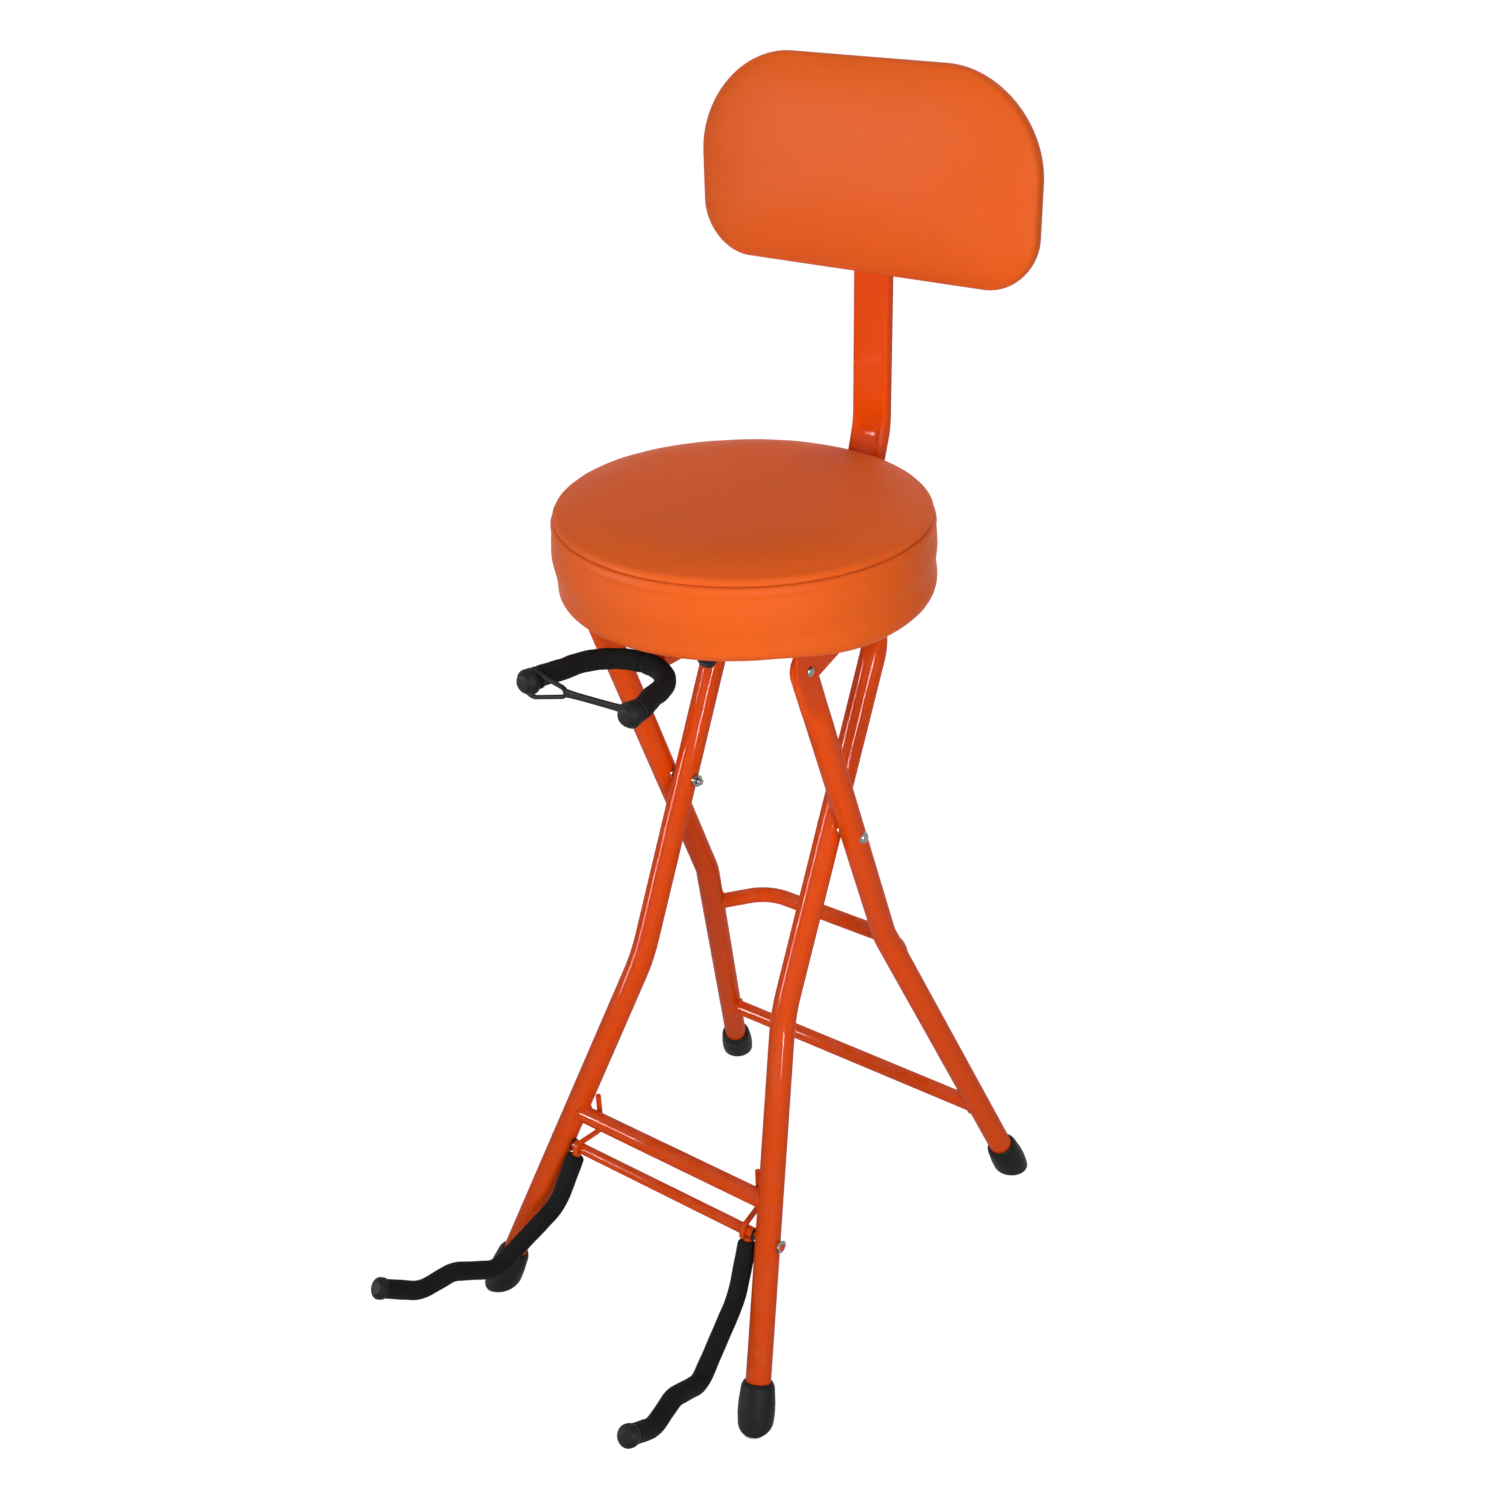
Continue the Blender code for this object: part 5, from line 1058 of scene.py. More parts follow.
@dataclass
class FrontFrame:
    """The inverted U of round tube with its footrest bar and its feet."""

    knee_radius: float = 0.18
    corner_radius: float = 0.055
    sole: float = 0.012
    footrest_height: float = 0.1678
    footrest_diameter: float = 0.016

    def build(self) -> None:
        """Builds the tube, the footrest and the feet."""
        self.tube()
        cross_bar("footrest", "bar", "footrest", STANCE.front, STANCE.front_knee, self.footrest_height,
                  self.footrest_diameter, Body.FRONT)
        for side in Side:
            RubberFoot().build(side, Body.FRONT, STANCE.front(0.0, side), STANCE.front(STANCE.front_knee, side))

    def tube(self) -> None:
        """A round section carried up one leg, over the crossbar and down the other leg."""
        halves = []
        for side in (Side.RIGHT, Side.LEFT):
            floor, knee = STANCE.front(0.0, side), STANCE.front(STANCE.front_knee, side)
            top = STANCE.front(STANCE.crossbar_height, side)
            halves.append([floor + unit(knee - floor) * self.sole, knee, top])
        corners = halves[0] + halves[1][::-1]
        path = bend(corners, (self.knee_radius, self.corner_radius, self.corner_radius, self.knee_radius), 0.05)
        lean = STANCE.front_reach / STANCE.pivot_height
        rows = sweep(path, round_section(STANCE.tube / 2, 40), (0.0, 1.0, -lean))
        recast("front_frame", "tube", rows, Body.FRONT, ORANGE)


@dataclass
class RearFrame:
    """The two rear legs, pressed flat at the top, with a straight low bar, a bowed bar and feet."""

    knee_radius: float = 0.07
    sole: float = 0.012
    flat_thickness: float = 0.008
    flat_width: float = 0.0285
    flat_length: float = 0.034
    taper_length: float = 0.026
    low_bar_height: float = 0.0902
    low_bar_diameter: float = 0.015
    bow_height: float = 0.2755
    bow_diameter: float = 0.0148
    bow_depth: float = 0.0425
    bow_setback: float = 0.012
    bow_run: float = 0.025
    bow_radius: float = 0.042
    pinch: float = 0.0017

    def build(self) -> None:
        """Builds both legs, both bars and the feet."""
        for side in Side:
            self.leg(side)
            RubberFoot().build(side, Body.REAR, STANCE.rear(0.0, side), STANCE.rear(STANCE.rear_knee, side))
        cross_bar("rear_low_bar", "tube", "low_bar", STANCE.rear, STANCE.rear_knee, self.low_bar_height,
                  self.low_bar_diameter, Body.REAR)
        self.bow_bar()

    def leg(self, side: Side) -> None:
        """A leg whose section turns from a circle to a flat oval, rounded off past the rivet.

        Through the taper the section is tube * (1 - e) + oval * e with e = s * s * (3 - 2 s).
        Past the rivet its width is the whole width * cos a while it advances by half of it * sin a.
        On the knee's outer side the wall is pinched in by exp(-((h - 6 mm) / 10 mm)^2), h the
        height over the knee, less 0.45 of such a bell 10 mm below it.

        Args:
            side: The leg's side.
        """
        floor, knee = STANCE.rear(0.0, side), STANCE.rear(STANCE.rear_knee, side)
        rivet = STANCE.rear(STANCE.rivet_height, side)
        up = unit(rivet - knee)
        taper_start = rivet - up * (self.flat_length + self.taper_length)
        shaft = bend([floor + unit(knee - floor) * self.sole, knee, taper_start], (self.knee_radius,), 0.05)
        share = np.linspace(0.0, 1.0, 15)[1:]
        taper = taper_start + up * self.taper_length * share[:, None]
        angle = np.linspace(0.0, 1.47, 16)
        tip = rivet + up * (self.flat_width / 2 * np.sin(angle))[:, None]
        tube = round_section(STANCE.tube / 2)
        oval = oval_section(self.flat_thickness, self.flat_width)
        ease = (share * share * (3.0 - 2.0 * share))[:, None, None]
        widths = np.maximum(self.flat_width * np.cos(angle), self.flat_thickness)
        sections = np.concatenate([
            np.broadcast_to(tube, (len(shaft), *tube.shape)),
            tube * (1.0 - ease) + oval * ease,
            np.stack([oval_section(self.flat_thickness, width) for width in widths]),
        ])
        path = np.concatenate([shaft, taper, tip])
        rows = sweep(path, sections, (1.0, 0.0, 0.0))
        high = (path[:, 2] - knee[2])[:, None]
        aside = (rows - path[:, None]) @ np.array([side.value, 0.0, 0.0]) / (STANCE.tube / 2)
        dent = np.exp(-(((high - 0.006) / 0.01) ** 2)) - 0.45 * np.exp(-(((high + 0.01) / 0.006) ** 2))
        rows[..., 0] -= side.value * self.pinch * dent * np.clip(aside, 0.0, 1.0) ** 2
        recast(f"rear_leg_{side.word}", "tube", rows, Body.REAR, ORANGE)

    def bow_bar(self) -> None:
        """The bar that bows to the rear between the legs, so that the front legs fold into it."""
        right = STANCE.rear(self.bow_height, Side.RIGHT)
        slant = np.array([-self.bow_setback - self.bow_run, self.bow_depth, 0.0])
        corners = [right - (0.0, 0.004, 0.0), right + slant]
        corners += [corner * (-1.0, 1.0, 1.0) for corner in corners[::-1]]
        path = bend(corners, (self.bow_radius, self.bow_radius), 0.06)
        rows = sweep(path, round_section(self.bow_diameter / 2), (0.0, 0.0, 1.0))
        recast("rear_bow_bar", "tube", rows, Body.REAR, ORANGE)
        for side in Side:
            end = STANCE.rear(self.bow_height, side)
            along = STANCE.rear(STANCE.rear_knee, side) - end
            away = slant * (side.value, 1.0, 1.0)
            weld(f"bow_bar_weld_{side.word}", end, along, end + away * 0.6, -away, self.bow_diameter / 2, Body.REAR)


@dataclass
class Pivots:
    """The fasteners on which the frames fold: a bolt with a nut on the left, a rivet on the right."""

    shank: float = 0.006
    head_diameter: float = 0.0105
    head_height: float = 0.0025
    low_diameter: float = 0.0084
    low_height: float = 0.001
    nut_flats: float = 0.0105
    nut_height: float = 0.004
    thread_end: float = 0.0036
    washer_diameter: float = 0.011
    leg_gap: float = 0.0016
    sunk: float = 0.002

    def build(self) -> None:
        """Builds the bolt with its nut, the rivet, and the washer between the legs of each side."""
        centre = STANCE.at(0.0, 0.0, STANCE.pivot_height)
        head = STANCE.rear_half + STANCE.tube / 2
        inner = STANCE.front_half - STANCE.tube / 2
        rim, low, shank = self.head_diameter / 2, self.low_diameter / 2, self.shank / 2
        rivet = low_head(inner + self.sunk, inner - self.low_height, low)[::-1]
        rivet = np.concatenate([rivet, low_head(head - self.sunk, head + self.head_height, rim)])
        recast("pivot_bolt_right", "steel", turned(rivet, centre, (1, 0, 0)), Body.FRONT, ZINC)
        tail = inner - self.nut_height - self.thread_end
        bolt = spaced(rounded([(tail, 0.0), (tail, shank), (head - self.sunk, shank)], (0.0008,)), 260)
        bolt = np.concatenate([bolt, low_head(head - self.sunk, head + self.low_height, low)])
        recast("pivot_bolt_left", "steel", threaded(bolt, centre, (-1, 0, 0), tail, inner), Body.FRONT, ZINC)
        rows = hexagon(centre - (inner, 0.0, 0.0), (1, 0, 0), self.nut_flats, self.nut_height)
        recast("pivot_nut", "steel", rows, Body.FRONT, ZINC)
        near, edge = inner + STANCE.tube, self.washer_diameter / 2
        far = near + self.leg_gap
        ring = rounded([(near, 0.0), (near, edge), (far, edge), (far, 0.0)], (0.0004, 0.0004))
        for side in Side:
            rows = turned(ring, centre, (side.value, 0, 0))
            recast(f"pivot_washer_{side.word}", "steel", rows, Body.FRONT, ZINC)


@dataclass
class BackrestPost:
    """The flat-sided post, bent under the seat onto the crossbar and bolted down there."""

    width: float = 0.035
    thickness: float = 0.012
    corner: float = 0.004
    nose: float = 0.014
    heel_radius: float = 0.03
    lower_lean: float = math.radians(20.0)
    upper_lean: float = math.radians(2.0)
    bend_height: float = 0.7448
    bend_setback: float = 0.1886
    bend_radius: float = 0.06
    top_height: float = 1.008
    plug: tuple[tuple[float, float], ...] = (
        (-0.004, 0.9), (-0.0001, 0.9), (-0.0001, 1.0), (0.0018, 1.0), (0.0026, 0.975), (0.003, 0.92))
    bolt_spacing: float = 0.018
    bolt: float = 0.006
    nut_flats: float = 0.01
    nut_height: float = 0.005
    pinch_depth: float = 0.0034

    def build(self) -> None:
        """Builds the post, its plug and its bolts."""
        self.post()
        self.cap()
        self.bolts()

    @property
    def route(self) -> list[Array]:
        """Corners of the centre line.

        Returns:
            Its nose, its heel, the upper bend and the top.
        """
        run = STANCE.crossbar_height + STANCE.tube / 2 + GAP + self.thickness / 2
        drop = self.bend_height - run
        rise = self.top_height - self.bend_height
        return [
            STANCE.at(0.0, STANCE.front_y(STANCE.crossbar_height) - self.nose, run),
            STANCE.at(0.0, self.bend_setback - drop * math.tan(self.lower_lean), run),
            STANCE.at(0.0, self.bend_setback, self.bend_height),
            STANCE.at(0.0, self.bend_setback + rise * math.tan(self.upper_lean), self.top_height),
        ]

    @property
    def section(self) -> Array:
        """The tube's section, its long walls split into many points."""
        shape = box_section(self.width, self.thickness, self.corner)
        return spaced(np.concatenate([shape, shape[:1]]), 129)[:128]

    @property
    def up(self) -> Array:
        """Direction of the upper run."""
        return np.array([0.0, math.sin(self.upper_lean), math.cos(self.upper_lean)])

    @property
    def forward(self) -> Array:
        """Direction square to the upper run, towards the sitter."""
        return np.array([0.0, -math.cos(self.upper_lean), math.sin(self.upper_lean)])

    def post(self) -> None:
        """The post's section along its route, its front wall dented in the upper bend.

        The dent's depth is depth * exp(-(s / 12 mm)^2) along the post. Across it the wall sinks
        by exp(-(x / 0.62)^6) and leaves a ridge at each edge, x the share of half the width.
        """
        path = spaced(bend(self.route, (self.heel_radius, self.bend_radius), 0.03), 420)
        section = self.section
        rows = sweep(path, section, (1.0, 0.0, 0.0))
        off = (path - self.route[2]) @ self.up
        pinch = np.exp(-(((off + 0.006) / 0.012) ** 2))
        front_side = (section[:, 1] < 0.0).astype(float)
        across = np.abs(section[:, 0]) / (self.width / 2)
        trough = np.exp(-((across / 0.62) ** 6)) - 0.35 * np.exp(-(((across - 0.84) / 0.12) ** 2))
        depth = self.pinch_depth * pinch[:, None] * (front_side * trough)[None]
        wall = rows[:, section[:, 1] < -self.thickness * 0.45].mean(axis=1)
        rows = rows - unit(wall - rows.mean(axis=1))[:, None] * depth[..., None]
        recast("backrest_post", "tube", rows, Body.FRONT, ORANGE)

    def cap(self) -> None:
        """The plastic plug: a low cap with a rounded rim on the post's open top."""
        stations = np.array(self.plug)
        shape = box_section(self.width, self.thickness, self.corner)
        inset = (1.0 - stations[:, 1:, None]) * self.thickness
        small = shape[None] - np.sign(shape)[None] * np.minimum(inset, np.abs(shape)[None])
        across = np.array([1.0, 0.0, 0.0])
        centre = self.route[3] + self.up * stations[:, :1]
        rows = centre[:, None] + across * small[..., :1] + np.cross(self.up, across) * small[..., 1:]
        recast("post_plug", "nylon", rows, Body.FRONT, NYLON)

    def bolts(self) -> None:
        """The two bolts through the crossbar, each with a low round head and a nut below."""
        shank, tube = self.bolt / 2, STANCE.tube / 2
        seat = tube + self.thickness + 0.0004
        tail, top = -tube - 0.0078, seat + 0.0032
        corners = [(tail, 0.0), (tail, shank), (seat, shank), (seat, 0.0065), (seat + 0.0012, 0.0062)]
        profile = rounded(corners + [(top, 0.003), (top, 0.0)], (0.0006, 0.0, 0.0, 0.0006, 0.002))
        depth = STANCE.front_y(STANCE.crossbar_height)
        for side in Side:
            place = STANCE.at(side.value * self.bolt_spacing / 2, depth, STANCE.crossbar_height)
            recast(f"post_bolt_{side.word}", "steel", turned(profile, place, (0, 0, 1)), Body.FRONT, ZINC)
            rows = hexagon(place - (0.0, 0.0, tube), (0, 0, -1), self.nut_flats, self.nut_height)
            recast(f"post_nut_{side.word}", "steel", rows, Body.FRONT, ZINC)


@dataclass
class Stuffing:
    """Air pressure that rounds a stuffed cushion: a cloth simulation whose swell is then taken over."""

    voxel: float = 0.005
    pressure: float = 4.0
    most: float = 0.006
    frames: int = 20
    evening: int = 50

    def swell(self, name: str, rows: Array, start: Array, held: Array) -> Array:
        """Distance that each point of a grid moves outwards when the cushion is blown up.

        Args:
            name: The cushion's name.
            rows: The cushion's closed grid, both ends drawn together in a point.
            start: The direction in which each of its points moves.
            held: A point and a direction: what lies behind the plane through them stays put.

        Returns:
            One distance for each point of the grid, evened out over its neighbours.
        """
        core = mesh_object(name + "_core", rows[::4, ::4], Ends.POINT)
        remesh = core.modifiers.new("remesh", "REMESH")
        remesh.mode = "VOXEL"
        remesh.voxel_size = self.voxel
        self.bake(core)
        rest = points_of(core.data)
        behind = np.nonzero((rest - held[0]) @ held[1] < 0.0)[0]
        core.vertex_groups.new(name="held").add(behind.tolist(), 1.0, "REPLACE")
        cloth = core.modifiers.new("cloth", "CLOTH")
        settings = {"quality": 6, "mass": 0.35, "tension_stiffness": 18.0, "compression_stiffness": 14.0,
                    "use_pressure": True, "uniform_pressure_force": self.pressure, "vertex_group_mass": "held"}
        for key, value in settings.items():
            setattr(cloth.settings, key, value)
        cloth.settings.effector_weights.gravity = 0.0
        for number in range(1, self.frames + 1):
            bpy.context.scene.frame_set(number)
        blown = core.evaluated_get(bpy.context.evaluated_depsgraph_get())
        moved = points_of(blown.to_mesh()) - rest
        blown.to_mesh_clear()
        core.modifiers.remove(cloth)
        bpy.context.scene.frame_set(1)
        moved *= np.minimum(1.0, self.most / np.maximum(np.linalg.norm(moved, axis=1, keepdims=True), TINY))
        core.data.vertices.foreach_set("co", (rest + moved).ravel())
        core.data.update()
        distance = self.reach(core, rows, start)
        bpy.data.objects.remove(core, do_unlink=True)
        log.info("%s: blown up by at most %.1f mm", name, 1000 * float(np.abs(distance).max()))
        return distance

    def bake(self, thing: Thing) -> None:
        """Replaces an object's mesh by what its modifiers make of it."""
        thing.data = bpy.data.meshes.new_from_object(thing.evaluated_get(bpy.context.evaluated_depsgraph_get()))
        thing.modifiers.clear()

    def reach(self, core: Thing, rows: Array, start: Array) -> Array:
        """How far the blown-up surface lies from each point of a grid.

        Args:
            core: The blown-up cushion.
            rows: The grid.
            start: The direction in which each of its points moves.

        Returns:
            The distance along each direction, evened out over the neighbours.
        """
        probe = mesh_object("probe", rows, Ends.POINT)
        wrap = probe.modifiers.new("wrap", "SHRINKWRAP")
        wrap.target = core
        wrap.wrap_method = "NEAREST_SURFACEPOINT"
        self.bake(probe)
        landed = points_of(probe.data)[: rows.shape[0] * rows.shape[1]].reshape(rows.shape)
        bpy.data.objects.remove(probe, do_unlink=True)
        distance = np.einsum("ijk,ijk->ij", landed - rows, start)
        for _ in range(self.evening):
            round_about = np.roll(distance, 1, axis=1) + np.roll(distance, -1, axis=1)
            padded = np.pad(distance, ((1, 1), (0, 0)), mode="edge")
            distance = (2 * distance + round_about + padded[2:] + padded[:-2]) / 6
        return distance


def grid_normals(rows: Array) -> Array:
    """Outward normals of a closed grid: the cross product of its two directions, turned outwards.

    Args:
        rows: Its grid of points.

    Returns:
        One unit vector for each point.
    """
    down = np.gradient(rows, axis=0)
    around = np.roll(rows, -1, axis=1) - np.roll(rows, 1, axis=1)
    normal = np.cross(around, down)
    normal /= np.maximum(np.linalg.norm(normal, axis=-1, keepdims=True), 1e-12)
    centre = rows.reshape(-1, 3).mean(axis=0)
    sign = np.sign(np.einsum("ijk,ijk->", rows - centre, normal))
    return normal * sign


def mark(piece: Thing, values: Array) -> None:
    """Stores one number for each point of a piece's grid as its attribute seam, by which the vinyl paints shade into
    the seam groove.

    Args:
        piece: The piece, whose first points are its grid.
        values: The numbers, in the grid's order.
    """
    spread = np.zeros(len(piece.data.vertices), np.float32)
    spread[: values.size] = values.ravel()
    layer = piece.data.attributes.new("seam", "FLOAT", "POINT")
    layer.data.foreach_set("value", spread)


@dataclass
class Seat:
    """The round seat: a stuffed vinyl cushion with a seam at the rim, pulled over a plywood disc."""

    radius: float = 0.1525
    underside: float = 0.6736
    band: float = 0.0582
    crown: float = 0.0115
    bulge: float = 0.0012
    edge_radius: float = 0.009
    board: float = 0.012
    lip: float = 0.012
    skirt: float = 0.0047
    hidden_rows: int = 4
    edge_rows: int = 22
    band_rows: int = 45
    crown_rows: int = 69
    sides: int = 256
    swell: float = 0.4
    sag: float = 0.003
    sag_turn: float = math.radians(37.5)
    side_bulge: float = 0.0026
    side_drop: float = 0.0052
    drop_turn: float = math.radians(12.0)
    seam_depth: float = 0.0013
    seam_width: float = 0.0009
    puff: float = 0.0011
    pucker: float = 0.00028
    fold: float = 0.0004

    @property
    def seam_row(self) -> int:
        """The profile's row at the seam."""
        return self.hidden_rows + self.edge_rows - 1 + self.band_rows

    def build(self) -> None:
        """Builds the cushion and dresses its board."""
        self.cushion()
        keep(PLYWOOD, "seat_board")

    def profile(self) -> Array:
        """Height and radius from the board's upper side, round its edge, to the middle of the crown.

        The rows between cushion and board are hidden. The band is bulge * sin(pi t) wider in its
        middle, and the crown rises by crown * sqrt(1 - r^6) above the seam.

        Returns:
            Rows of (height, radius).
        """
        seam = self.underside + self.band
        inner = self.radius - self.lip + GAP
        recess = self.underside + self.board + GAP
        hidden = [(recess, 0.001), (recess, inner * 0.5), (recess, inner), (self.underside + 0.004, inner)]
        floor = self.underside - self.skirt
        edge = rounded([(floor, inner), (floor, self.radius), (floor + 0.02, self.radius)], (self.edge_radius,))
        edge = spaced(edge, self.edge_rows)
        share = np.linspace(0.0, 1.0, self.band_rows + 1)[1:]
        climb = edge[-1, 0] + (seam - edge[-1, 0]) * share
        band = np.stack([climb, self.radius + self.bulge * np.sin(math.pi * share)], axis=1)
        reach = 1.0 - np.linspace(0.0, 1.0, self.crown_rows + 1)[1:] ** 1.7 * 0.985
        rise = self.crown * np.sqrt(np.maximum(1.0 - reach ** 6, 0.0))
        top = np.stack([seam + rise, self.radius * reach], axis=1)
        return np.concatenate([np.array(hidden), edge, band, top])

    def cushion(self) -> None:
        """The cushion: turned, blown up by simulation, sewn and settled, its seam marked for the painted shade and
        duller gloss in the groove.
        """
        profile = self.profile()
        rows = turned(profile, STANCE.origin, (0, 0, 1), self.sides)
        normals = grid_normals(rows)
        held = np.array([STANCE.at(0.0, 0.0, self.underside + self.board), (0.0, 0.0, 1.0)])
        swell = Stuffing(most=0.005).swell("seat_cushion", rows, normals, held)
        swell = swell - swell[self.seam_row - 8 : self.seam_row + 8].mean()
        height = profile[:, :1] - self.underside
        free = np.clip((height - 0.01) / 0.02, 0.0, 1.0)
        free[: self.hidden_rows] = 0.0
        run = run_of(profile)
        off = (run - run[self.seam_row])[:, None]
        rows = rows + normals * (self.swell * swell * free)[..., None]
        rows = rows + normals * self.relief(off)[..., None]
        piece = recast("seat_cushion", "vinyl", self.settled(rows, normals, height), Body.SEAT, VINYL)
        # Marks the seam groove, where the vinyl paints shade and a duller gloss.
        mark(piece, np.broadcast_to(np.exp(-((off / (self.seam_width * 0.75)) ** 2)), rows.shape[:2]))

    def relief(self, off: Array) -> Array:
        """How far the sewn vinyl stands out or sinks, s being the distance from the seam.

        The seam is a groove depth * exp(-(s / width)^2) between two soft rolls
        puff * exp(-((|s| - 5.5 mm) / 3.5 mm)^2). A small sum of sines round the rim puckers the
        vinyl and fades with exp(-|s| / 8 mm), and a thin fold runs 8 mm below the seam.

        Args:
            off: The distance of each row from the seam, negative below it.

        Returns:
            One height for each point of the grid.
        """
        angles = even_angles(self.sides)
        groove = np.exp(-((off / self.seam_width) ** 2))
        puff = self.puff * np.exp(-(((np.abs(off) - 0.0055) / 0.0035) ** 2))
        waves = 0.5 * np.sin(angles * 23 + 0.7) + 0.3 * np.sin(angles * 37 + 2.1) + 0.4 * np.sin(angles * 11 + 4.0)
        pucker = self.pucker * waves[None] * np.exp(-np.abs(off) / 0.008) * (1.0 - groove)
        fold = np.exp(-(((off + 0.008) / 0.0016) ** 2)) * self.fold * (0.6 + 0.4 * np.sin(angles * 3 + 1.0))[None]
        return puff + pucker - fold - self.seam_depth * groove

    def towards(self, rows: Array, turn: float) -> Array:
        """How far each point lies in a level direction, in shares of the radius."""
        return (rows - STANCE.origin) @ np.array([math.cos(turn), math.sin(turn), 0.0]) / self.radius

    def settled(self, rows: Array, normals: Array, height: Array) -> Array:
        """The cushion as it sits: it sags to one side, where the lower edge bulges and hangs low.

        The upper part sinks by sag times its way to the side. Where e = s * s * (3 - 2 s) grows
        with the way towards the drop, the edge moves out by bulge * e * exp(-((h - 6 mm) / 9 mm)^2)
        and down by drop * e * (1 - h / 30 mm)^2, h the height over the underside.

        Args:
            rows: The grid.
            normals: Its outward normals.
            height: The height of each row over the underside.

        Returns:
            The grid moved.
        """
        above = np.clip((height - 0.006) / 0.045, 0.0, 1.0)
        above[: self.hidden_rows] = 0.0
        rows[..., 2] -= self.sag * self.towards(rows, self.sag_turn) * above
        aside = np.clip((self.towards(rows, self.drop_turn) - 0.5) / 0.4, 0.0, 1.0)
        aside = aside ** 2 * (3.0 - 2.0 * aside)
        aside[: self.hidden_rows] = 0.0
        rows = rows + normals * (self.side_bulge * aside * np.exp(-(((height - 0.006) / 0.009) ** 2)))[..., None]
        rows[..., 2] -= self.side_drop * aside * np.clip(1.0 - height / 0.03, 0.0, 1.0) ** 2
        return rows


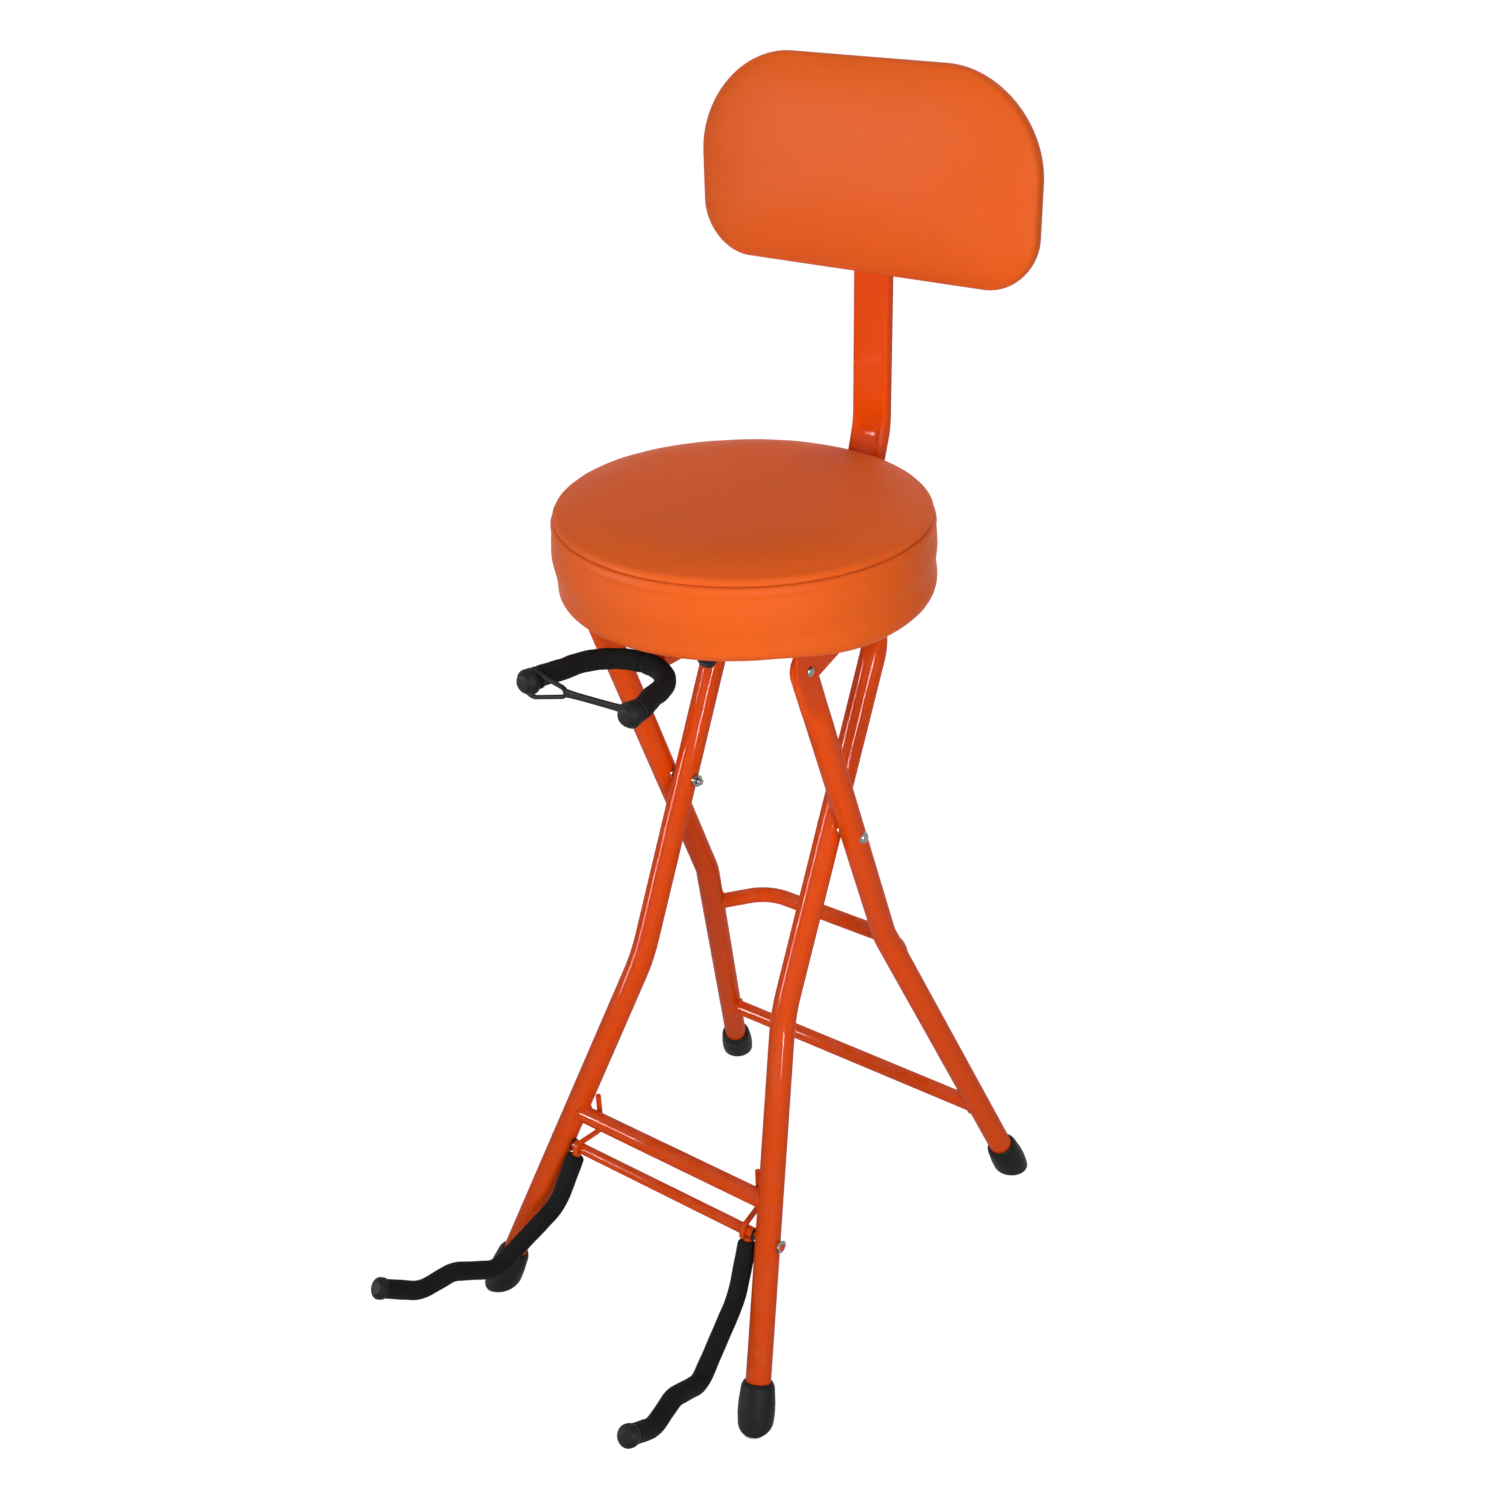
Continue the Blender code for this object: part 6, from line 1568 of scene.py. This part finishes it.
@dataclass
class Backrest:
    """The backrest: a stuffed vinyl cushion wrapped round a board, screwed to the post."""

    width: float = 0.3185
    height: float = 0.1705
    centre: float = 0.9632
    top_corner: float = 0.084
    bottom_corner: float = 0.043
    side_bow: float = 0.001
    far_bow: float = 0.003
    top_rise: float = 0.0014
    top_bow: float = 0.005
    bottom_bow: float = 0.003
    depth: float = 0.031
    lip: float = 0.007
    board: float = 0.009
    screw_spacing: float = 0.044
    girth: float = 0.011
    roll: float = 0.034
    fullness: float = 2.2
    swell: float = 0.35

    def build(self, post: BackrestPost) -> None:
        """Builds the cushion and the screws on a post.

        Args:
            post: The post that carries the backrest.
        """
        rise = (self.centre - post.bend_height) / math.cos(post.upper_lean)
        seat = post.route[2] + post.up * rise + post.forward * (post.thickness / 2 + GAP)
        self.cushion(seat, post)
        keep(PLYWOOD, "backrest_board")
        for word, sign in (("upper", 1), ("lower", -1)):
            place = seat + post.up * sign * self.screw_spacing / 2 - post.forward * (post.thickness + 0.0006)
            screw_head(f"backrest_screw_{word}", place, -post.forward, Body.FRONT)

    def outline(self, inset: float, count: int = 256) -> Array:
        """The outline drawn in by an inset: straight sides and corner arcs, each side bowed.

        The top is also raised by rise * (1 + x) / 2 * (1 - x^4), x the share of half the width.

        Args:
            inset: How far the outline is drawn in.
            count: The number of its points.

        Returns:
            Points of (across, up), in step for every inset.
        """
        half_width, half_height = self.width / 2 - inset, self.height / 2 - inset
        arcs = []
        corners = ((1, 1, self.top_corner, 0.0), (-1, 1, self.top_corner, 0.5),
                   (-1, -1, self.bottom_corner, 1.0), (1, -1, self.bottom_corner, 1.5))
        for across, up, full, start in corners:
            radius = max(full - inset, 0.002)
            centre = np.array([across * (half_width - radius), up * (half_height - radius)])
            arcs.append(centre + radius * circle(math.pi * (start + np.linspace(0.0, 0.5, 33))))
        line = np.concatenate(arcs)
        reach = line[:, 0] / half_width
        line[:, 1] += np.where(line[:, 1] > 0, self.top_rise * (0.5 + 0.5 * reach) * (1.0 - reach**4), 0.0)
        bow = np.where(line[:, 1] > 0, self.top_bow, self.bottom_bow)
        line[:, 1] *= 1.0 - bow / half_height * (line[:, 0] / half_width) ** 2
        bow = np.where(line[:, 0] > 0, self.far_bow, self.side_bow)
        line[:, 0] *= 1.0 + bow / half_width * (1.0 - (line[:, 1] / half_height + 0.15) ** 2)
        return spaced(np.concatenate([line, line[:1]]), count + 1)[:count]

    def cushion(self, seat: Array, post: BackrestPost) -> None:
        """The cushion: rings of the outline at growing depth, blown up by simulation.

        Behind the widest ring the edge is a quarter ellipse. Before it, for t from zero at that
        ring to one in the middle, the outline is drawn in by roll * (1 - (1 - t)^2) and shrunk by
        t^1.6, and its depth grows by sqrt(1 - (1 - t)^fullness): one soft form with no crease.

        Args:
            seat: The centre of the rear face.
            post: The post, whose upper run gives the directions.
        """
        bottom = self.board + GAP
        angle = np.linspace(0.0, math.pi / 2, 16)
        rear = np.stack([self.lip * 0.55 * (1 - np.sin(angle)), self.girth * (1 - np.cos(angle))], axis=1)
        stations = [(self.lip - GAP, bottom), (self.lip - GAP, 0.0), *rear]
        lines = [(self.outline(inset), depth) for inset, depth in stations]
        for share in np.linspace(0.0, 1.0, 84)[1:-1] ** 1.7:
            depth = self.girth + (self.depth - self.girth) * math.sqrt(1.0 - (1.0 - share) ** self.fullness)
            line = self.outline(self.roll * (1.0 - (1.0 - share) ** 2)) * (1.0 - share ** 1.6 * 0.985)
            lines.append((line, depth))
        across = np.array([-1.0, 0.0, 0.0])
        rings = [seat + across * line[:, :1] + post.up * line[:, 1:] + post.forward * depth for line, depth in lines]
        middle = seat + post.forward * bottom
        inner = [middle + (rings[0] - middle) * share for share in (0.02, 0.5)]
        rows = np.stack(inner + rings)
        normals = grid_normals(rows)
        held = np.array([seat + post.forward * 0.01, post.forward])
        swell = Stuffing().swell("backrest_cushion", rows, normals, held)
        free = np.clip(((rows - seat) @ post.forward - 0.008) / 0.01, 0.0, 1.0)
        free[: len(inner) + 2] = 0.0
        swell = swell - swell[free > 0.9].mean()
        rows = rows + normals * (self.swell * swell * free)[..., None]
        piece = recast("backrest_cushion", "vinyl", rows, Body.FRONT, VINYL)
        mark(piece, np.zeros(rows.shape[:2]))


@dataclass
class SeatMount:
    """What joins the seat to the frames: brackets with rivets and screws, saddles and the socket."""

    rivet_head: float = 0.0085
    rivet_rise: float = 0.0026
    rivet_shank: float = 0.005
    plate: float = 0.0025
    gap: float = 0.0005

    def build(self) -> None:
        """Dresses the plates and blocks, and builds the rivets and screws."""
        keep(ORANGE, "seat_bracket_left", "seat_bracket_right", "fork_socket")
        keep(NYLON, "seat_saddle_left", "seat_saddle_right")
        for side in Side:
            self.rivet(side)
        for number in range(1, 5):
            low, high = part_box(f"seat_screw_{number}")
            x, y = (low[0] + high[0]) / 2, (low[1] + high[1]) / 2
            place = np.array([x, y, low[2] + SCREW_HEAD[1]])
            screw_head(f"seat_screw_{number}", place, (0, 0, -1), Body.SEAT)

    def rivet(self, side: Side) -> None:
        """A domed rivet head outside the bracket and another inside the leg's flat.

        Args:
            side: The bracket's side.
        """
        place = STANCE.rear(STANCE.rivet_height, side)
        inner = -RearFrame.flat_thickness / 2 - self.gap
        outer = RearFrame.flat_thickness / 2 + self.gap + self.plate + 0.0002
        dome = circle(np.linspace(0.0, math.pi / 2, 10))[:, ::-1] * (self.rivet_rise, self.rivet_head / 2)
        near = (-dome[::-1] * (1.0, -1.0)) + (inner, 0.0)
        far = dome + (outer, 0.0)
        stem = np.array([(inner, self.rivet_shank / 2), (outer, self.rivet_shank / 2)])
        rows = turned(np.concatenate([near, stem, far]), place, (side.value, 0, 0))
        recast(f"seat_rivet_{side.word}", "steel", rows, Body.SEAT, ZINC)


@dataclass
class NeckFork:
    """The rod bent to a U with its stem, foam sleeves, rubber caps and rubber strap."""

    radius: float = 0.043
    back_reach: float = 0.1338
    back_height: float = 0.652
    leg: float = 0.0236
    flare: float = 0.0066
    straight: float = 0.004
    tilt: float = math.radians(2.5)
    rod: float = 0.008
    stem: float = 0.012
    stem_length: float = 0.055
    foam: float = 0.0168
    split: float = 0.0004
    collar: tuple[float, float] = (0.018, 0.0028)
    neck: tuple[float, float] = (0.012, 0.0052)
    dome: tuple[float, float] = (0.0208, 0.0095)
    strap_thickness: float = 0.0036
    strap_band: float = 0.003
    strap_loop: float = 0.041
    strap_drop: float = 0.0032
    strap_tip: float = 0.0026
    strap_stem: float = 0.005

    def build(self) -> None:
        """Builds the rod, sleeves, caps and strap."""
        extra = self.collar[1] + self.neck[1]
        left, right = (self.half_route(side, 0.0, extra) for side in Side)
        path = np.concatenate([left[::-1], right[1:]])
        recast("fork_rod", "steel", sweep(path, round_section(self.rod / 2, 24), (0, 0, 1)), Body.FORK, ORANGE)
        stem = np.array([self.place(0, self.rod / 4), self.place(0, -self.stem_length)])
        fit("fork_stem_steel", sweep(stem, round_section(self.stem / 2, 28), (1, 0, 0)), Body.FORK, ORANGE)
        for side in Side:
            self.sleeve(side)
            self.cap(side)
        self.strap()

    @property
    def forward(self) -> Array:
        """Direction from the fork's back to its tips."""
        return np.array([0.0, -math.cos(self.tilt), math.sin(self.tilt)])

    def place(self, across: float, ahead: float, above: float = 0.0) -> Array:
        """A point given from the fork's back.

        Args:
            across: Its distance from the middle.
            ahead: Its distance towards the tips.
            above: Its distance over the fork's plane.

        Returns:
            The point.
        """
        up = np.array([0.0, math.sin(self.tilt), math.cos(self.tilt)])
        back = STANCE.at(0.0, -self.back_reach, self.back_height)
        return back + (across, 0.0, 0.0) + self.forward * ahead + up * above

    def half_route(self, side: Side, start: float, extra: float) -> Array:
        """Half of the U from a distance off its middle to its tip.

        A quarter circle (r sin a, r (1 - cos a)) runs into a leg that flares to the tip.

        Args:
            side: The half's side.
            start: The distance off the middle at which it starts.
            extra: How much longer than the foam the leg is.

        Returns:
            The points of the centre line.
        """
        radius, sign = self.radius, side.value
        angles = np.linspace(math.asin(start / radius), math.pi / 2, 24)
        arc = [self.place(sign * radius * math.sin(a), radius * (1 - math.cos(a))) for a in angles]
        half, reach = radius + self.flare, radius + self.leg
        ends = [self.place(sign * half, reach - self.straight), self.place(sign * half, reach + extra)]
        return bend(arc + ends, [0.0] * (len(arc) - 2) + [0.012, 0.01], 0.08)

    def sleeve(self, side: Side) -> None:
        """A foam sleeve: the half route with rounded ends, its skin a little uneven.

        Args:
            side: The sleeve's side.
        """
        share = np.linspace(0.0, 1.0, 60)
        path = spaced(self.half_route(side, self.split, 0.0), len(share))
        radius = 1.0 - 0.16 * np.exp(-np.minimum(share, 1.0 - share) * 0.09 / 0.0009)
        radius *= 1.0 + 0.012 * np.sin(share * 41.0) + 0.008 * np.sin(share * 17.0 + 1.0)
        radius = self.foam / 2 * np.minimum(radius, 1.012)
        rows = sweep(path, round_section(1.0, 28)[None] * radius[:, None, None], (0, 0, 1))
        recast(f"fork_foam_{side.word}", "sleeve", rows, Body.FORK, FOAM)

    def cap(self, side: Side) -> None:
        """A rubber cap: a collar, a waist for the strap and a domed head.

        Args:
            side: The cap's side.
        """
        collar, waist, head = self.collar[0] / 2, self.neck[0] / 2, self.dome[0] / 2
        near = self.collar[1]
        far = near + self.neck[1]
        end = far + self.dome[1]
        corners = [(0.0, 0.0), (0.0, collar), (near, collar), (near, waist), (far, waist), (far, head * 0.97)]
        corners += [(far + self.dome[1] * 0.42, head), (end, head * 0.62), (end, 0.0)]
        profile = rounded(corners, (0.0008, 0.0009, 0.0004, 0.0004, 0.0009, 0.0028, 0.004))
        start = self.place(side.value * (self.radius + self.flare), self.radius + self.leg + 0.0001)
        recast(f"fork_cap_{side.word}", "rubber", turned(profile, start, self.forward), Body.FORK, RUBBER)

    def strap(self) -> None:
        """The rubber strap: a moulded band round a closed line, from one cap's waist to the other's.

        The eye and the long loop are closed bands of a rounded section, and a short stem joins
        them. The eye is a circle. The loop is an arc round the waist with straight runs out to a
        narrow tip, and hangs a little lower.
        """
        ahead = self.radius + self.leg + GAP + self.collar[1] + self.neck[1] / 2
        half = self.radius + self.flare
        middle, drop = self.strap_band / 2, self.strap_drop
        hole = self.neck[0] / 2 + GAP
        ring, big, tip = hole + middle, hole + drop + middle, self.strap_tip + middle
        eye = ring * circle(even_angles(72, 0.0)) + (half, 0.0)
        reach = self.strap_loop - (hole + drop + self.strap_band)
        nose = np.array([-half + reach, -drop * (1 - reach / (half * 2))])
        blunt = math.pi / 2 - math.asin((big - tip) / reach)
        wide = big * circle(np.linspace(blunt, math.tau - blunt, 60)) + (-half, -drop)
        narrow = nose + tip * circle(np.linspace(-blunt, blunt, 26))
        loop = spaced(np.concatenate([wide, narrow, wide[:1]]), 121)[:120]
        start, finish = nose + (tip * 0.8, 0.0), np.array([half - ring * 0.95, 0.0])
        share = np.linspace(0.0, 1.0, 14)[:, None]
        joint = start + (finish - start) * share
        eye, loop, joint = (np.array([self.place(x, ahead, z) for x, z in line]) for line in (eye, loop, joint))
        band = box_section(self.strap_band, self.strap_thickness, 0.0009, 3)[:, ::-1]
        rows = loop_sweep(loop, band, self.forward)
        recast("fork_strap", "loop", rows, Body.FORK, RUBBER, Ends.RING)
        fit("fork_strap_eye", loop_sweep(eye, band, self.forward), Body.FORK, RUBBER, ends=Ends.RING)
        widths = self.strap_stem * (1.0 + 0.35 * np.abs(2 * share - 1.0) ** 4)
        sizes = np.concatenate([np.full_like(widths, self.strap_thickness), widths], axis=1)
        rows = sweep(joint, box_section(1.0, 1.0, 0.22, 3)[None] * sizes[:, None], self.forward)
        fit("fork_strap_stem", rows, Body.FORK, RUBBER)


@dataclass
class ClampKnob:
    """The lobed knob whose screw clamps the fork's stem."""

    screw: float = 0.006
    diameter: float = 0.014
    length: float = 0.012
    lobes: int = 6
    lobe: float = 0.00066
    rims: tuple[tuple[float, float, float], ...] = (
        (0.0, 0.78, 0.3), (0.0012, 0.9, 0.9), (0.003, 0.925, 1.0), (0.009, 0.925, 1.0), (0.0108, 0.86, 0.8),
        (0.0118, 0.7, 0.3), (0.012, 0.4, 0.0))

    def build(self) -> None:
        """A knob whose radius follows r + lobe * cos(6 a), with rounded rims, on its screw."""
        low, high = (np.array(corner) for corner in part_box("clamp_knob"))
        centre = np.array([0.0, (low[1] + high[1]) / 2, (low[2] + high[2]) / 2])
        near, half = high[0] - self.length, self.screw / 2
        rims = [(near + along, self.diameter / 2 * share, lobe) for along, share, lobe in self.rims]
        stations = np.array([(low[0], half, 0.0), (near, half, 0.0), *rims])
        angles = even_angles(96, 0.0)
        reach = stations[:, 1:2] + self.lobe * stations[:, 2:] * np.cos(self.lobes * angles)[None]
        along = np.broadcast_to(stations[:, :1], reach.shape)
        offsets = np.stack([along, reach * np.cos(angles), reach * np.sin(angles)], axis=2)
        recast("clamp_knob", "nylon", centre + offsets, Body.KNOB, NYLON)


@dataclass
class GuitarSupport:
    """The axle across the front legs with the two padded arms and the wires that stop them."""

    axle_height: float = 0.14
    axle: float = 0.01
    axle_end: float = 0.006
    nut_flats: float = 0.0105
    washer_diameter: float = 0.012
    rod: float = 0.008
    foam: float = 0.0168
    root_half: float = 0.0975
    splay: float = math.radians(10.7)
    reach: float = 0.2178
    dip: float = 0.0795
    corner_shares: tuple[tuple[float, float], ...] = (
        (0.137, 0.629), (0.472, 1.0), (0.669, 0.642), (0.826, 0.623), (1.0, 0.233))
    bend_radii: tuple[float, ...] = (0.04, 0.02, 0.024, 0.03)
    foam_start: float = 0.0082
    tip: tuple[float, float] = (0.019, 0.008)
    tip_socket: float = 0.005
    wire: float = 0.005
    wire_half: float = 0.095
    wire_top_half: float = 0.0905
    wire_tail: float = 0.0014
    wire_rise: float = 0.0192
    wire_bend: float = 0.006

    def build(self) -> None:
        """Builds the axle with its nut and washers, the arms and the wires."""
        self.axle_rod()
        for side in Side:
            self.arm(side)
            self.stop(side)

    def axle_rod(self) -> None:
        """The axle, turned down where it passes the legs: peened on the left, a nut on the right."""
        centre = STANCE.at(0.0, STANCE.front_y(self.axle_height), self.axle_height)
        low, high = (np.array(corner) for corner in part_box("support_axle"))
        near, far = (corner[0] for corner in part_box("axle_washer_right"))
        seat, face = (corner[0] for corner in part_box("axle_nut"))
        shoulder, thick, thin = near - GAP, self.axle / 2, self.axle_end / 2
        ends = ((-shoulder, low[0], 0.0008), (shoulder, high[0], 0.0006))
        left, right = (rounded([(at, thick), (at, thin), (end, thin), (end, 0.0)], (0.0003, rim))
                       for at, end, rim in ends)
        rows = turned(np.concatenate([left[::-1], right]), centre, (1, 0, 0))
        recast("support_axle", "steel", rows, Body.SUPPORT, ORANGE)
        rows = hexagon(centre + (seat, 0.0, 0.0), (1, 0, 0), self.nut_flats, face - seat)
        recast("axle_nut", "steel", rows, Body.SUPPORT, ZINC)
        rim = self.washer_diameter / 2
        ring = rounded([(near, 0.0), (near, rim), (far, rim), (far, 0.0)], (0.0004, 0.0004))
        for side in Side:
            rows = turned(ring, centre, (side.value, 0, 0))
            recast(f"axle_washer_{side.word}", "nylon", rows, Body.SUPPORT, NYLON)

    def corners(self, side: Side) -> list[Array]:
        """Corners of an arm's centre line: shares of its reach and of its dip, splayed outwards.

        Args:
            side: The arm's side.

        Returns:
            The corners from the axle to the tip.
        """
        axle = STANCE.at(side.value * self.root_half, STANCE.front_y(self.axle_height), self.axle_height)
        out = np.array([side.value * math.sin(self.splay), -math.cos(self.splay), 0.0])
        stretch = self.reach / math.cos(self.splay)
        bends = [axle + out * stretch * ahead - (0.0, 0.0, self.dip * down) for ahead, down in self.corner_shares]
        return [axle] + bends

    def arm(self, side: Side) -> None:
        """A bent rod under a foam sleeve, with a rubber plug on its tip.

        Args:
            side: The arm's side.
        """
        root, *inner, tip = self.corners(side)
        first, last = unit(inner[0] - root), unit(tip - inner[-1])
        plane = (math.cos(self.splay), side.value * math.sin(self.splay), 0.0)
        path = bend([root + first * self.axle / 2, *inner, tip], self.bend_radii)
        rows = sweep(path, round_section(self.rod / 2, 24), plane)
        recast(f"arm_rod_{side.word}", "steel", rows, Body.SUPPORT, ORANGE)
        share = np.linspace(0.0, 1.0, 190)
        foam_end = tip - last * (self.tip_socket + 0.0001)
        path = spaced(bend([root + first * self.foam_start, *inner, foam_end], self.bend_radii), len(share))
        radius = self.foam / 2 * (1.0 - 0.2 * np.exp(-np.minimum(share, 1.0 - share) * 0.27 / 0.001))
        radius *= 0.995 + 0.008 * np.sin(share * 71.0 + side.value) + 0.006 * np.sin(share * 29.0)
        rows = sweep(path, round_section(1.0, 28)[None] * radius[:, None, None], plane)
        recast(f"arm_foam_{side.word}", "sleeve", rows, Body.SUPPORT, FOAM)
        half, length = self.tip[0] / 2, self.tip[1]
        shape = [(0.0, 0.0), (0.0, half), (length * 0.6, half), (length, half * 0.55), (length, 0.0)]
        rows = turned(rounded(shape, (0.0007, 0.0018, 0.003)), tip - last * self.tip_socket, last)
        recast(f"arm_tip_{side.word}", "rubber", rows, Body.SUPPORT, RUBBER)

    def stop(self, side: Side) -> None:
        """The bent wire on the axle that bears on the back of the footrest.

        Args:
            side: The wire's side.
        """
        x, y, z = STANCE.at(side.value * self.wire_half, STANCE.front_y(self.axle_height), self.axle_height)
        radius = self.wire / 2
        clear = self.axle / 2 + radius
        footrest = STANCE.at(0.0, STANCE.front_y(FrontFrame.footrest_height), 0.0)[1]
        behind = footrest + FrontFrame.footrest_diameter / 2 + radius
        upper = side.value * self.wire_top_half
        corners = [(x, y - clear, z - self.wire_tail), (x, y - clear, z + clear), (upper, behind, z + clear),
                   (upper, behind, FrontFrame.footrest_height + self.wire_rise)]
        rows = sweep(bend(corners, (self.wire_bend, self.wire_bend)), round_section(radius, 20), (1, 0, 0))
        recast(f"stop_wire_{side.word}", "steel", rows, Body.SUPPORT, ORANGE)


# Studio


@dataclass
class Studio:
    """The photograph's camera, a white floor that keeps the shadow, and soft lamps."""

    place: tuple[float, float, float] = (0.8443, -1.105, 1.2884)
    yaw: float = math.radians(37.51)
    pitch: float = math.radians(29.19)
    roll: float = math.radians(-2.55)
    sensor: float = 36.0
    focal: float = 1858.39 / 1500.0
    floor_half: float = 60.0
    floor_grey: float = 0.6
    floor_glow: float = 1.205
    glow_share: float = 0.8
    world_light: float = 0.33

    def build(self) -> None:
        """Sets up the camera, floor, world and lamps."""
        bpy.context.scene.view_settings.view_transform = "Standard"
        self.camera()
        self.floor()
        self.world()
        self.lamps()

    def camera(self) -> None:
        """The camera, turned by yaw, then pitch, then roll about its own axis.

        Its focal length is given in shares of the sensor's width.
        """
        yaw, pitch, roll = self.yaw, self.pitch, self.roll
        view = np.array([-math.sin(yaw) * math.cos(pitch), math.cos(yaw) * math.cos(pitch), -math.sin(pitch)])
        level = np.array([math.cos(yaw), math.sin(yaw), 0.0])
        up = np.cross(level, view)
        right = math.cos(roll) * level + math.sin(roll) * up
        above = -math.sin(roll) * level + math.cos(roll) * up
        lens = bpy.data.cameras.new("photo_camera")
        lens.sensor_fit = "HORIZONTAL"
        lens.sensor_width = self.sensor
        lens.lens = self.focal * self.sensor
        lens.clip_end = 200.0
        eye = linked("photo_camera", lens)
        self.set_up(eye, (right, above, -view), STANCE.at(*self.place))
        bpy.context.scene.camera = eye

    def set_up(self, thing: Thing, axes: Sequence[Array], place: Sequence[float]) -> None:
        """Turns and places a camera or a lamp.

        Args:
            thing: The camera or lamp.
            axes: The directions of its own three axes.
            place: Where it stands.
        """
        matrix = np.eye(4)
        matrix[:3, :3] = np.stack(axes, axis=1)
        matrix[:3, 3] = place
        thing.matrix_world = matrix.T.tolist()

    def floor(self) -> None:
        """A wide white floor: plain white to the camera but for the object's shadow."""
        half = self.floor_half
        mesh = bpy.data.meshes.new("studio_floor")
        mesh.from_pydata([(-half, -half, 0), (half, -half, 0), (half, half, 0), (-half, half, 0)], [], [(0, 1, 2, 3)])
        thing = linked("studio_floor", mesh)
        paint = Paint("studio_white")
        grey = (self.floor_grey, self.floor_grey, self.floor_grey, 1.0)
        paint.feed(paint.shader, {"Base Color": grey, "Roughness": 0.9, "Specular IOR Level": 0.1})
        glow = paint.node("Emission", {"Color": (1, 1, 1, 1), "Strength": self.floor_glow}).outputs[0]
        share = paint.maths("MULTIPLY", paint.seen(), self.glow_share)
        mix = paint.node("MixShader", {0: share, 1: paint.shader.outputs[0], 2: glow})
        paint.feed(paint.tree.nodes["Material Output"], {"Surface": mix.outputs[0]})
        mesh.materials.append(paint.material)

    def world(self) -> None:
        """White to the camera and to reflections, and a weaker even light on the object."""
        world = bpy.data.worlds.new("studio_world")
        world.use_nodes = True
        bpy.context.scene.world = world
        made = Wiring(world.node_tree)
        strength = made.node("MapRange", {0: made.seen(), 3: self.world_light, 4: 1.0}).outputs[0]
        made.feed(world.node_tree.nodes["Background"], {"Color": (1, 1, 1, 1), "Strength": strength})

    def lamps(self) -> None:
        """Soft lamps that give the light, and two strips that only show as lines in the gloss."""
        high, middle, low = (STANCE.at(0.0, 0.0, height) for height in (1.05, 0.88, 0.66))
        soft = (
            ("front_lamp", (0.5, -1.75, 1.2), high, (0.7, 0.9), 6.2, 95.0),
            ("low_lamp", (1.65, -0.95, 0.6), low, (0.8, 0.5), 2.3, 80.0),
            ("rear_lamp", (-0.3, 2.3, 1.5), middle, (1.0, 1.2), 14.0, 180.0),
            ("top_lamp", (0.0, 0.3, 2.4), middle, (1.0, 1.0), 3.0, 180.0),
        )
        for name, place, target, size, power, spread in soft:
            self.lamp(name, place, target, size, power, spread).visible_glossy = False
        strips = (
            ("right_strip", (1.78, -1.28, 1.14), (0.16, 0.6), 45.0),
            ("left_strip", (-1.36, -1.7, 1.05), (0.2, 1.0), 68.0),
        )
        for name, place, size, power in strips:
            self.lamp(name, place, middle, size, power, 180.0).visible_diffuse = False

    def lamp(self, name: str, place: Sequence[float], target: Array, size: tuple[float, float], power: float,
             spread: float) -> Thing:
        """A rectangular area lamp that faces a point.

        Args:
            name: The lamp's name.
            place: Where it stands.
            target: What it faces.
            size: Its width and its height.
            power: Its power in watts.
            spread: The angle in degrees that its light fans out to.

        Returns:
            The lamp's object.
        """
        light = bpy.data.lights.new(name, "AREA")
        light.shape = "RECTANGLE"
        light.size, light.size_y = size
        light.energy = power
        light.spread = math.radians(spread)
        back = unit(np.array(place) - target)
        side = unit(np.cross((0.0, 0.0, 1.0), back))
        thing = linked(name, light)
        self.set_up(thing, (side, np.cross(back, side), back), place)
        return thing


def main() -> None:
    """Builds the studio and every sub-assembly in order."""
    logging.basicConfig(level=logging.INFO, format="%(name)s: %(message)s")
    build_effects()
    Studio().build()
    post = BackrestPost()
    for assembly in (FrontFrame(), RearFrame(), Pivots(), post):
        log.info("building %s", type(assembly).__name__)
        assembly.build()
    Backrest().build(post)
    for assembly in (Seat(), SeatMount(), NeckFork(), ClampKnob(), GuitarSupport()):
        log.info("building %s", type(assembly).__name__)
        assembly.build()


if __name__ == "__main__":
    main()
